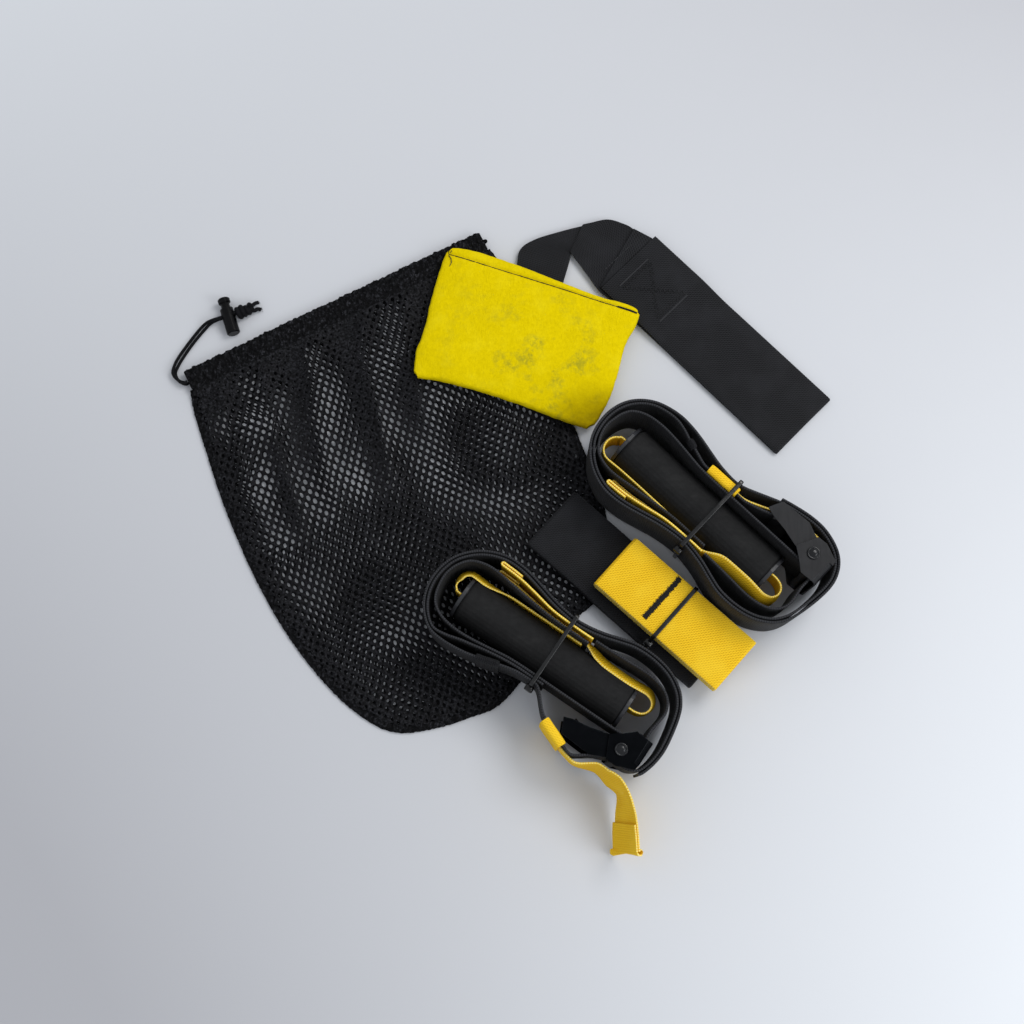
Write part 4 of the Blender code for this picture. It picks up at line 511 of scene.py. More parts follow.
# The pad's four sides, as shares of half its length and width
PAD_LEFT_SIDE = (
    (-0.943, -1.020), (-1.005, -0.640), (-1.007, -0.280), (-1.045, 0.180), (-1.066, 0.660), (-1.066, 1.050),
)
PAD_RIGHT_SIDE = (
    (0.960, -0.960), (1.028, -0.530), (1.040, -0.110), (1.018, 0.430), (1.062, 0.770), (1.050, 0.990),
)
PAD_FOOT_SIDE = (
    (-0.943, -1.020), (-0.672, -0.950), (-0.246, -0.915), (0.190, -0.918), (0.620, -0.950), (0.960, -0.960),
)
PAD_HEAD_SIDE = (
    (-1.066, 1.050), (-0.787, 1.112), (-0.287, 1.104), (0.164, 1.056), (0.607, 1.020), (0.900, 1.036),
    (1.050, 0.990),
)
PAD_COLUMNS = 150
PAD_ROWS = 108
PAD_EDGE_ROUND = 0.0034
PAD_CORNER_CUT = 0.0019
PAD_FRAY = 0.00035
PAD_DENT = 0.0002

# The pad's wrinkles, and the pucker along its seam: size across and down, seed, height
PAD_WRINKLES = ((0.024, 0.017, 5.0, 0.0010), (0.009, 0.012, 9.0, 0.0003))
PAD_SEAM_PUCKER = (0.0042, 0.010, 3.0, 0.0004)
PAD_PUCKER_WIDTH = 0.0055
PAD_SEAM_Y = 0.0402
PAD_SEAM_ENDS = (-0.0628, 0.0628)
PAD_SEAM_DEPTH = 0.0012
PAD_SEAM_HALF_WIDTH = 0.0009
PAD_LIP_RISE = 0.0007
PAD_LIP_FROM_SEAM = 0.0035
PAD_LIP_WIDTH = 0.0022

# The bar tack at the seam's right end: its start and length, and one turn of its thread
PAD_TACK = (0.0500, 0.0125)
PAD_TACK_TURNS = 16
PAD_TACK_TURN = ((-0.0003, -0.0011, 0.0002), (0, 0, 0.0007), (0.0003, 0.0011, 0.0002))
PAD_LOOSE_THREADS = (
    (
        ((-0.0628, 0.0405), (-0.0622, 0.0388), (-0.0602, 0.0372), (-0.0590, 0.0345), (-0.0594, 0.0318)),
        0.0005,
    ),
    (
        ((-0.0630, 0.0404), (-0.0636, 0.0420), (-0.0628, 0.0432), (-0.0617, 0.0424), (-0.0622, 0.0408)),
        0.0006,
    ),
)
SMUDGE_PLACE = (0.0241, 0.1003, 0)
SMUDGE_REACH = (0.006, 0.050)
# The right bundle's painted shadow on the pad: its middle, then the distances where it starts to fade and
# where it is gone
PAD_PAINTED_SHADOW_PLACE = (0.0560, 0.0560, 0)
PAD_PAINTED_SHADOW_REACH = (0.006, 0.036)

# The narrow strap's arch, from the pad to the crease and from the crease to the wide strap: its outer
# and inner edge, as shares of the arch's span and rise
ARCH_LEG = (
    ((0.062, 0.000), (0.408, 0.000)), ((0.030, 0.190), (0.408, 0.187)), ((0.007, 0.390), (0.402, 0.400)),
    ((0.085, 0.540), (0.394, 0.500)), ((0.256, 0.710), (0.393, 0.520)), ((0.452, 0.885), (0.408, 0.525)),
)
ARCH_TOP = (
    ((0.405, 0.850), (0.383, 0.528)), ((0.450, 0.893), (0.400, 0.512)), ((0.572, 0.992), (0.470, 0.445)),
    ((0.693, 1.000), (0.585, 0.330)), ((0.797, 0.974), (0.720, 0.205)), ((1.000, 0.839), (0.920, 0.142)),
)
NARROW_RIPPLE = 0.00025
NARROW_SAG = 0.0011
NARROW_END_DIP = 0.0004
NARROW_LOWERED = 0.0002
NARROW_CREASE_DIP = 0.0005

# Stitches on the wide strap: two bars as place, low end, high end and lift, then the corners of a crossed
# box, the narrow strap's hem beside it, and the row of stitches on that hem as place, start and length
WIDE_RIPPLE = 0.00022
WIDE_STRAP_TACKS = ((-0.0690, -0.0160, 0.0100, 0.00012), (-0.0345, -0.0150, 0.0102, 0.00002))
WIDE_STRAP_BOX = ((-0.0665, -0.0150), (-0.0370, 0.0100), (-0.0370, -0.0145), (-0.0665, 0.0095))
STRAP_HEM_THICKNESS = 0.0012
STRAP_HEM_OUTER = (Vector((-0.0901, 0.0188, 0)), Vector((-0.0775, -0.0252, 0)))
STRAP_HEM_INNER_ENDS = (0.0225, -0.0240)
STRAP_HEM_STITCHES = (-0.0835, -0.0140, 0.0235)
ANCHOR_TACK = ((-0.0116, -0.0146), (-0.0112, 0.0178))

# The rivet's head: reach from its middle and height over the axle
RIVET_SIDES = 40
RIVET_PROFILE = (
    (0.0006, 0.00105), (0.0013, 0.00098), (0.0019, 0.00080), (0.0024, 0.00048), (0.0027, 0.00008),
    (0.0029, -0.00012), (0.0031, -0.00004), (0.0034, 0.00002), (0.0037, -0.00012), (0.0038, -0.00060),
)

# Colours as linear red, green, blue
BLACK = (0.0130, 0.0133, 0.0155, 1)
BLACK_LIGHT = (0.0180, 0.0185, 0.0215, 1)
# Painted shade in the black weave's grooves
BLACK_GROOVE_SHADE = (0.0020, 0.0020, 0.0025, 1)
# Painted highlight on the black webbing's woven edge
BLACK_EDGE_HIGHLIGHT = (0.0420, 0.0430, 0.0480, 1)
YELLOW = (0.960, 0.610, 0.022, 1)
YELLOW_LIGHT = (0.980, 0.660, 0.036, 1)
# Painted shade in the yellow weave's grooves
YELLOW_GROOVE_SHADE = (0.660, 0.330, 0.005, 1)
# Painted highlight on the yellow webbing's woven edge
YELLOW_EDGE_HIGHLIGHT = (0.990, 0.800, 0.240, 1)
FELT_YELLOW = (0.830, 0.640, 0.002, 1)
FELT_LIGHT = (0.900, 0.730, 0.012, 1)
FELT_DEEP = (0.710, 0.540, 0.001, 1)
FELT_SMUDGE = (0.150, 0.190, 0.030, 1)
# Painted shadow on the felt beside the right bundle
FELT_PAINTED_SHADOW = (0.210, 0.125, 0.001, 1)
FELT_SHEEN = (1.0, 0.9, 0.05, 1)
MESH_BLACK = (0.0022, 0.0022, 0.0028, 1)
MESH_LIGHT = (0.0300, 0.0305, 0.0360, 1)
HEM_DARK = (0.0010, 0.0010, 0.0014, 1)
# Painted highlight on the hem's yarn
HEM_PAINTED_HIGHLIGHT = (0.0520, 0.0530, 0.0620, 1)
FOAM_DARK = (0.0070, 0.0070, 0.0074, 1)
FOAM_GREY = (0.0105, 0.0105, 0.0110, 1)
FOAM_SCUFF = (0.0190, 0.0186, 0.0180, 1)
# The cord's dark fibres and the painted shade in its grooves
CORD_DARK_AND_GROOVE_SHADE = (0.002, 0.002, 0.0025, 1)
CORD_LIGHT = (0.015, 0.015, 0.018, 1)
LOCK_BLACK = (0.0020, 0.0020, 0.0024, 1)
LOCK_LIGHT = (0.004, 0.004, 0.005, 1)
TIE_BLACK = (0.0045, 0.0045, 0.005, 1)
TIE_LIGHT = (0.010, 0.010, 0.011, 1)
CORE_GREY = (0.16, 0.16, 0.17, 1)
CORE_LIGHT = (0.22, 0.22, 0.23, 1)
RING_GREY = (0.0250, 0.0260, 0.0300, 1)
RING_LIGHT = (0.042, 0.043, 0.048, 1)
STEEL_BLACK = (0.0105, 0.0108, 0.0125, 1)
STEEL_LIGHT = (0.0170, 0.0175, 0.0200, 1)
# The left buckle's steel, painted darker than the right one's: painted shade
STEEL_PAINTED_SHADE = (0.0016, 0.0020, 0.0028, 1)
STEEL_PAINTED_SHADE_LIGHT = (0.0036, 0.0042, 0.0054, 1)
WORN_STEEL = (0.10, 0.105, 0.12, 1)
RIVET_DARK = (0.008, 0.0085, 0.010, 1)
RIVET_LIGHT = (0.016, 0.017, 0.019, 1)
SPRING_GREY = (0.42, 0.42, 0.44, 1)
SPRING_LIGHT = (0.55, 0.56, 0.58, 1)
BLACK_THREAD = (0.003, 0.003, 0.0035, 1)
BLACK_THREAD_LIGHT = (0.014, 0.014, 0.016, 1)
# Black thread painted grey: a painted sheen
THREAD_PAINTED_SHEEN = (0.022, 0.022, 0.025, 1)
THREAD_PAINTED_SHEEN_LIGHT = (0.052, 0.052, 0.057, 1)
# The table's colour where its painted shade and its painted light fall
TABLE_PAINTED_SHADE = (0.490, 0.494, 0.525, 1)
TABLE_PAINTED_LIGHT = (0.800, 0.825, 0.865, 1)

# Weaves: pitches in millimetres
WEBBING_ROUGHNESS = 0.72
TWILL_TO_RIBS = 1.35
EDGE_STITCH_PITCH = 1.45
CORD_STRAND_PITCH = 0.85


# The part's own routes

def smooth_path(points, steps, closed=False):
    """Points along a Catmull-Rom curve through the given ones."""
    points = [Vector(point) for point in points]
    count = len(points)
    spans = count if closed else count - 1
    found = []
    for i in range(spans):
        if closed:
            a, b, c, d = (points[(i + k) % count] for k in (-1, 0, 1, 2))
        else:
            a, b = points[max(i - 1, 0)], points[i]
            c, d = points[i + 1], points[min(i + 2, count - 1)]
        for step in range(steps):
            t = step / steps
            square = (2 * a - 5 * b + 4 * c - d) * t**2
            cube = (3 * b - a - 3 * c + d) * t**3
            found.append(0.5 * (2 * b + (c - a) * t + square + cube))
    if not closed:
        found.append(points[-1])
    return found


def tangent_at(path, i, closed=False):
    count = len(path)
    if closed:
        return (path[(i + 1) % count] - path[i - 1]).normalized()
    return (path[min(i + 1, count - 1)] - path[max(i - 1, 0)]).normalized()


def turn_scale(path, i, closed=False):
    """How much wider a section has to be at a bend, so that the strap keeps its thickness."""
    count = len(path)
    if not closed and i in (0, count - 1):
        return 1.0
    before = (path[i] - path[i - 1]).normalized()
    after = (path[(i + 1) % count] - path[i]).normalized()
    return 1 / max(math.sqrt((1 + before.dot(after)) / 2), 0.7)


def evenly(path, spacing):
    """The path's points thinned to about one for each spacing, with both ends kept."""
    kept = [path[0]]
    for point in path[1:-1]:
        if (point - kept[-1]).length >= spacing:
            kept.append(point)
    if (path[-1] - kept[-1]).length < spacing / 2:
        kept.pop()
    return kept + [path[-1]]


def with_hem(path, wide, side, length, pitch):
    """The path with its last stretch folded back beside itself, and the width directions to match."""
    last = len(path) - 1
    ahead = (path[last] - path[last - 1]).normalized()
    out = wide[last].cross(ahead).normalized() * side
    centre = path[last] + out * pitch / 2
    fold = []
    for k in range(1, FOLD_STEPS):
        angle = math.pi * k / FOLD_STEPS
        fold.append(centre - out * math.cos(angle) * pitch / 2 + ahead * math.sin(angle) * pitch / 2)
    back = [path[last] + out * pitch]
    directions = list(wide) + [wide[last]] * (len(fold) + 1)
    walked = 0.0
    i = last
    while walked < length and i > 1:
        walked += (path[i] - path[i - 1]).length
        i -= 1
        normal = wide[i].cross(tangent_at(path, i)).normalized() * side
        back.append(path[i] + normal * pitch)
        directions.append(wide[i])
    return list(path) + fold + back, directions


def folded_stack(layers, low, high, base, thickness, gap):
    """A strap folded back and forth into a stack: (along, height) points, from the bottom up."""
    pitch = thickness + gap
    points = []
    for layer in range(layers):
        height = base + thickness / 2 + layer * pitch
        start, end = (low, high) if layer % 2 == 0 else (high, low)
        toward = 1 if end > start else -1
        inner = [start + (end - start) * share for share in STACK_SHARES]
        points += [(along, height) for along in inner]
        if layer == layers - 1:
            continue
        for k in range(1, FOLD_STEPS):
            angle = math.pi * k / FOLD_STEPS
            along = inner[-1] + toward * pitch / 2 * math.sin(angle)
            points.append((along, height + pitch / 2 * (1 - math.cos(angle))))
    return points


def along_grip(share):
    """A place along the grip. The lobe at the buckle keeps its own span, however long the grip is."""
    if share <= 0:
        return share * LEFT_REACH
    if share < WAIST_END_SHARE:
        return share / WAIST_END_SHARE * WAIST_END
    return RIGHT_REACH - (1 - share) * BUCKLE_LOBE_SPAN


def loop_outline_point(index, waist):
    reach_share, rise_share, side = LOOP_SHARES[index % LOOP_POINTS]
    return Vector((along_grip(reach_share), side * (waist[side] + rise_share * LOBE_RISE), 0))


def winding_inset(side, index):
    """How far the main strap's middle lies inside the loop's outline: the last turn lies outermost."""
    return MAIN_THICKNESS / 2 + PITCH * (WINDING_LAST_INDEX[side] - index) / LOOP_POINTS


def waists(side):
    """The outline's half width at the tie, on the buckle's side and on the other side."""
    upper_index = LOOP_POINTS + 7
    lower_index = 19
    upper = OUTER_PASS + winding_inset("right", upper_index)
    lower = INNER_PASS + winding_inset(side, lower_index)
    return {1: upper, -1: lower}


def placed(shares, base, side):
    """Route points from shares of the loop's reach and rise, beyond a base distance from the axis."""
    points = []
    for reach_share, rise_share in shares:
        points.append(Vector((along_grip(reach_share), side * (base + rise_share * LOBE_RISE), 0)))
    return points


def turns(side, first, last):
    """The strap's middle on the loop from one outline point to another, further in on early turns."""
    waist = waists(side)
    found = []
    for index in range(first, last + 1):
        here = loop_outline_point(index, waist)
        ahead = loop_outline_point(index + 1, waist) - loop_outline_point(index - 1, waist)
        inward = Vector((-ahead.y, ahead.x, 0)).normalized()
        found.append(here + inward * winding_inset(side, index))
    return found


def main_strap_route(side):
    """Two turns. The right strap starts in its buckle, and the left one passes through it midway."""
    base = RUN_BASE[side]
    last = WINDING_LAST_INDEX[side]
    if side == "right":
        route = placed(FIRST_RUN_SHARES, base, 1) + turns(side, WINDING_FIRST_INDEX, last)
    else:
        route = placed(LEFT_START_SHARES, LEFT_START, 1)
        route += turns(side, WINDING_FIRST_INDEX, LEFT_FIRST_TURN_END)
        route += placed(LEFT_RUN_SHARES, base, 1)
        route += turns(side, LEFT_SECOND_TURN_START, last) + placed(LEFT_END_SHARES, base, 1)
    return smooth_path(route, WINDING_STEPS)


def run_between(side, low, high, shift):
    """The strap's run on the buckle's side between two places along the grip, moved outward."""
    route = main_strap_route(side)
    found = []
    for i, point in enumerate(route):
        nearest = abs(point.y - RUN_BASE[side]) < 1.8 * LOBE_RISE and in_buckle_run(side, i)
        if nearest and low <= point.x <= high:
            ahead = tangent_at(route, i)
            found.append(point + Vector((ahead.y, -ahead.x, 0)) * shift)
    return sorted(found, key=lambda point: point.x)


def keeper_span(side):
    """Where the yellow keeper lies along the grip: the left one keeps its place beside the buckle."""
    if side == "right":
        return tuple(along_grip(share) for share in RIGHT_KEEPER_SHARES)
    return tuple(AXLE_U + place for place in LEFT_KEEPER_FROM_AXLE)


def in_buckle_run(side, index):
    """Whether a point of the smoothed route is on the run that passes through the buckle."""
    if side == "right":
        return index < WINDING_STEPS * len(FIRST_RUN_SHARES)
    start = len(LEFT_START_SHARES) + LEFT_FIRST_TURN_END - WINDING_FIRST_INDEX + 1
    return WINDING_STEPS * start <= index < WINDING_STEPS * (start + len(LEFT_RUN_SHARES))


def cradle_route():
    """The foot cradle: round the far end of the grip, over the buckle's bar and back to the yoke."""
    bar_v = CRADLE_UPPER - MAIN_THICKNESS / 2 - STRAP_TO_CAM_GAP - BAR_RADIUS
    reach = CRADLE_UPPER - bar_v
    centre = Vector((AXLE_U + BAR_OFFSET, bar_v, 0))
    route = placed(CRADLE_LOWER_SHARES, CRADLE_LOWER, -1)
    route += placed(CRADLE_UPPER_SHARES, CRADLE_UPPER, 1)
    for degrees in (90, 65, 40, 15, -5):
        angle = math.radians(degrees)
        route.append(centre + Vector((math.cos(angle), math.sin(angle), 0)) * reach)
    route += placed(CRADLE_RETURN_SHARES, YOKE, -1)
    return smooth_path(route, 2)


def half_turn(centre, radius, first, last, steps):
    """Points on an arc between two angles in degrees."""
    found = []
    for k in range(steps + 1):
        angle = math.radians(first + (last - first) * k / steps)
        found.append(centre + Vector((math.cos(angle), math.sin(angle), 0)) * radius)
    return found


def handle_route():
    """Through the tube, round both ends of the grip and back along it, with a hem at one end."""
    turn_u = RING_END + TOUCH_GAP
    left = placed(LEFT_LEG_SHARES, LEFT_LEG, -1)
    left_centre = Vector((-turn_u, -LEFT_TURN_RADIUS, 0))
    right_centre = Vector((turn_u + TURN_LEAD, -RIGHT_TURN_RADIUS, 0))
    route = left + half_turn(left_centre, LEFT_TURN_RADIUS, 270, 90, 6)
    route += [Vector((-GRIP_LENGTH / 4, 0, 0)), Vector((0, 0, 0)), Vector((GRIP_LENGTH / 4, 0, 0))]
    route += [Vector((RING_END, 0, 0))]
    route += half_turn(right_centre, RIGHT_TURN_RADIUS, 90, -90, 6)
    route += placed(RIGHT_LEG_SHARES, RIGHT_LEG, -1)
    return smooth_path(route, 2)


def mirrored(path, hand):
    return [Vector((point.x, hand * point.y, point.z)) for point in path]


def tab_route(side):
    """The pull tab: out of the keeper and past the buckle. The left one ends in a leaning tail."""
    if side == "right":
        path = smooth_path(placed(RIGHT_TAB_SHARES, RUN_BASE[side] + ADJUSTER_SHIFT, 1), 2)
        return with_hem(path, [UP] * len(path), -1, RIGHT_TAB_HEM_LENGTH, HEM_FOLD_PITCH)
    held = run_between(side, *keeper_span(side), ADJUSTER_SHIFT)
    tail = placed([shares[:2] for shares in LEFT_TAB_SHARES], RUN_BASE[side], 1)
    leans = [0] * len(held) + [shares[3] for shares in LEFT_TAB_SHARES]
    path = held + [
        point - UP * LEFT_TAB_DROP * shares[2] for point, shares in zip(tail, LEFT_TAB_SHARES)
    ]
    wide = []
    for i, lean in enumerate(leans):
        ahead = tangent_at(path, i)
        outward = Vector((-ahead.y, ahead.x, 0)).normalized()
        wide.append(UP * math.cos(math.radians(lean)) - outward * math.sin(math.radians(lean)))
    path = smooth_path(path, 2)
    wide = [direction.normalized() for direction in smooth_path(wide, 2)]
    return with_hem(path, wide, 1, LEFT_TAB_HEM_LENGTH, HEM_FOLD_PITCH)


def tie_ring(low, high, bottom, top, low_top, low_bottom):
    """A tie's middle line as (across, height), with cut corners. The low side may lie flatter."""
    corner = TIE_CORNER
    share = TIE_CORNER_SHARE * corner
    middle = (low + high) / 2
    return (
        (high, bottom + corner), (high, top - corner), (high - share, top - share), (high - corner, top),
        (middle, top), (low + corner, low_top), (low + share, low_top - share), (low, low_top - corner),
        (low, low_bottom + corner), (low + share, low_bottom + share), (low + corner, low_bottom),
        (middle, bottom), (high - corner, bottom), (high - share, bottom + share),
    )


def hem_exit(height):
    """Where the cord leaves the hem at the mouth's left end, on the table."""
    turn = Matrix.Rotation(BAG_HEADING, 3, "Z")
    return Vector((*BAG_PLACE, height)) + turn @ Vector((HEM_END_SETBACK - TOUCH_GAP, -HEM_WIDTH / 2, 0))


# Shapes

def frame_at(place, heading):
    """The matrix from an item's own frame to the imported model's."""
    place = Vector((*place, 0)) if len(place) == 2 else Vector(place)
    return Matrix.Translation(place + KIT_MOVE) @ Matrix.Rotation(heading, 4, "Z")


def add_mesh(name, vertices, faces, look, body, uvs=None, edges=None, sharp=50):
    """A closed piece on a body, its faces turned outward. uvs are in metres, one for each corner."""
    mesh = bpy.data.meshes.new(name)
    mesh.from_pydata([tuple(vertex) for vertex in vertices], [], faces)
    if uvs:
        layer = mesh.uv_layers.new(name="UVMap")
        layer.data.foreach_set("uv", [value for pair in uvs for value in pair])
    if edges:
        values = mesh.attributes.new("edge", "FLOAT", "POINT")
        values.data.foreach_set("value", edges)
    work = bmesh.new()
    work.from_mesh(mesh)
    bmesh.ops.recalc_face_normals(work, faces=work.faces)
    work.to_mesh(mesh)
    work.free()
    mesh.shade_smooth()
    mesh.set_sharp_from_angle(angle=math.radians(sharp))
    mesh.materials.append(look)
    obj = bpy.data.objects.new(name, mesh)
    bpy.context.collection.objects.link(obj)
    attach(obj, body)
    return obj


def placed_by(matrix, points):
    return [matrix @ Vector(point) for point in points]


def turned_by(matrix, directions):
    turn = matrix.to_3x3()
    return [(turn @ direction).normalized() for direction in directions]


def hermite(start, leave, end, arrive, t):
    """A spot on the curve between two places, from its slope at each of them."""
    return (
        start * (2 * t**3 - 3 * t**2 + 1) + leave * (t**3 - 2 * t**2 + t)
        + end * (3 * t**2 - 2 * t**3) + arrive * (t**3 - t**2)
    )


def refined(points, wide, spacing, closed=False):
    """Points about a spacing apart on a smooth curve through the given ones, with their widths."""
    count = len(points)
    spans = count if closed else count - 1
    lengths = [(points[(i + 1) % count] - points[i]).length for i in range(spans)]

    def slope(i):
        if closed:
            return (points[(i + 1) % count] - points[i - 1]) / (lengths[i % count] + lengths[i - 1])
        if i == 0 or i == count - 1:
            k = min(i, spans - 1)
            return (points[k + 1] - points[k]) / lengths[k]
        return (points[i + 1] - points[i - 1]) / (lengths[i - 1] + lengths[i])

    found, directions = [], []
    for i in range(spans):
        after = (i + 1) % count
        steps = max(1, round(lengths[i] / spacing))
        leave, arrive = slope(i) * lengths[i], slope(after) * lengths[i]
        for step in range(steps):
            t = step / steps
            found.append(hermite(points[i], leave, points[after], arrive, t))
            directions.append(wide[i].lerp(wide[after], t).normalized())
    if not closed:
        found.append(points[-1])
        directions.append(wide[-1])
    return found, directions


def webbing_ring(thickness, width, columns):
    """A webbing's section: (out from the middle, across, how near its edge), once round."""
    face, rim = thickness / 2, width / 2
    bend = EDGE_BEND_SHARE * thickness
    shoulder, cut = EDGE_SHOULDER_SHARE * face, rim - EDGE_CUT_SHARE * bend
    half = [(face, -rim + bend + 2 * (rim - bend) * k / columns, 0.0) for k in range(columns + 1)]
    half += [(shoulder, cut, 1.0), (0.0, rim, 1.0), (-shoulder, cut, 1.0)]
    return half + [(-out, -across, edge) for out, across, edge in half]


def distances(points):
    """How far along the path each of its points lies."""
    found = [0.0]
    for a, b in zip(points, points[1:]):
        found.append(found[-1] + (b - a).length)
    return found


def section_round(ring, width=1.0):
    """The distances round a section of (out, across) points, back to its start."""
    return distances([Vector((spot[0], spot[1] * width, 0)) for spot in ring + ring[:1]])


def tube_faces(rings, count, along, round_it, closed=False):
    """Quads between rings of corners, with (along, round) in metres for each corner."""
    faces, uvs = [], []
    for i in range(rings if closed else rings - 1):
        a, b = count * i, count * ((i + 1) % rings)
        near, far = along[i], along[i + 1]
        for k in range(count):
            n = (k + 1) % count
            faces.append((a + k, a + n, b + n, b + k))
            before, after = round_it[k], round_it[k + 1]
            uvs += [(near, before), (near, after), (far, after), (far, before)]
    if not closed:
        last = count * (rings - 1)
        faces += [tuple(range(count - 1, -1, -1)), tuple(range(last, last + count))]
        uvs += [(along[0], round_it[k]) for k in range(count - 1, -1, -1)]
        uvs += [(along[-1], round_it[k]) for k in range(count)]
    return faces, uvs


def ribbon(name, path, wide, thickness, width, look, body, columns=6, notch=EDGE_NOTCH, closed=False,
           spacing=RIBBON_SPACING, swell=None):
    """A strap of webbing along a path, with a woven edge. swell moves a spot out, by (along, across)."""
    path, wide = refined(path, wide, spacing, closed)
    ring = webbing_ring(thickness, width, columns)
    along = distances(path + (path[:1] if closed else []))
    vertices, edges = [], []
    for i, point in enumerate(path):
        normal = wide[i].cross(tangent_at(path, i, closed)).normalized()
        scale = turn_scale(path, i, closed)
        bite = notch if i % 2 else 0
        for out, across, edge in ring:
            reach = across - math.copysign(bite, across) * edge
            lift = swell(along[i] / along[-1], across / width) if swell else 0
            vertices.append(point + normal * (out * scale + lift) + wide[i] * reach)
            edges.append(edge)
    faces, uvs = tube_faces(len(path), len(ring), along, section_round(ring), closed)
    return add_mesh(name, vertices, faces, look, body, uvs, edges)


def soft_box_ring(thickness, width, bend, steps=3):
    """A rectangle with rounded corners, once round, as (out, across)."""
    ring = []
    for turn, (x, y) in enumerate(((1, 1), (-1, 1), (-1, -1), (1, -1))):
        centre = (x * (thickness / 2 - bend), y * (width / 2 - bend))
        for k in range(steps + 1):
            angle = math.pi / 2 * (turn + k / steps)
            ring.append((centre[0] + bend * math.cos(angle), centre[1] + bend * math.sin(angle)))
    return ring


def webbing_sleeve(name, path, outer, inner, look, body, rib=0.0):
    """A loop of webbing round a strap, open at both ends, its corners soft."""
    path, wide = refined(path, [UP] * len(path), RIB_SPACING if rib else SLEEVE_SPACING)
    bend = (outer[0] - inner[0]) * SLEEVE_BEND_SHARE
    out_ring = soft_box_ring(*outer, bend)
    in_ring = soft_box_ring(*inner, bend * SLEEVE_INNER_BEND_SHARE)
    walked = distances(path)
    out_rows, in_rows = [], []
    for i, point in enumerate(path):
        normal = wide[i].cross(tangent_at(path, i)).normalized()
        end = min(walked[i], walked[-1] - walked[i])
        dip = SLEEVE_TUCK * max(0.0, 1 - end / SLEEVE_TUCK_LENGTH)
        dip += rib * (0.5 + 0.5 * math.cos(2 * math.pi * walked[i] / RIB_PITCH))
        out_rows.append([point + normal * (out - math.copysign(dip, out))
                         + wide[i] * (across - math.copysign(dip, across)) for out, across in out_ring])
        in_rows.append([point + normal * out + wide[i] * across for out, across in in_ring])
    rows = out_rows + in_rows[::-1]
    vertices = [vertex for row in rows for vertex in row]
    along = distances([row[0] for row in rows] + [rows[0][0]])
    faces, uvs = tube_faces(len(rows), len(out_ring), along, section_round(out_ring), True)
    return add_mesh(name, vertices, faces, look, body, [(v, u) for u, v in uvs])


def thread(name, runs, radius, look, body, sides=5):
    """Short rounded tubes of thread, one for each run of points."""
    vertices, faces = [], []
    for run in runs:
        points = [Vector(point) for point in run]
        base = len(vertices)
        count = len(points)
        for i, point in enumerate(points):
            ahead = tangent_at(points, i)
            side = ahead.cross(UP)
            side = side.normalized() if side.length > 0.05 else Vector((1, 0, 0))
            lift = side.cross(ahead)
            size = radius * (THREAD_END_SHARE if i in (0, count - 1) else 1.0)
            for k in range(sides):
                angle = 2 * math.pi * k / sides
                vertices.append(point + side * math.cos(angle) * size + lift * math.sin(angle) * size)
        for i in range(count - 1):
            a, b = base + sides * i, base + sides * (i + 1)
            faces += [(a + k, a + (k + 1) % sides, b + (k + 1) % sides, b + k) for k in range(sides)]
        last = base + sides * (count - 1)
        faces += [tuple(range(base, base + sides)), tuple(range(last, last + sides))]
    return add_mesh(name, vertices, faces, look, body)


def stitch_runs(path, length, gap, rise):
    """A row of stitches along a path on a surface: each one rises a little and goes down at its ends."""
    path = refined(path, [UP] * len(path), length / 5)[0]
    runs, run = [], []
    for point, distance in zip(path, distances(path)):
        phase = distance % (length + gap)
        if phase <= length:
            run.append(point + UP * (rise * (2 * math.sin(math.pi * phase / length) - STITCH_SINK)))
        else:
            runs.append(run)
            run = []
    return [run for run in runs + [run] if len(run) > 2]


def zigzag(start, end, side, width, count):
    """Points of a zigzag between two places."""
    steps = [width / 2 if k % 2 else -width / 2 for k in range(count + 1)]
    return [start.lerp(end, k / count) + side * step for k, step in enumerate(steps)]


# Materials

def preset(node, values):
    """Constant values for sockets of a node, by name."""
    for name, value in values.items():
        node.inputs[name].default_value = value


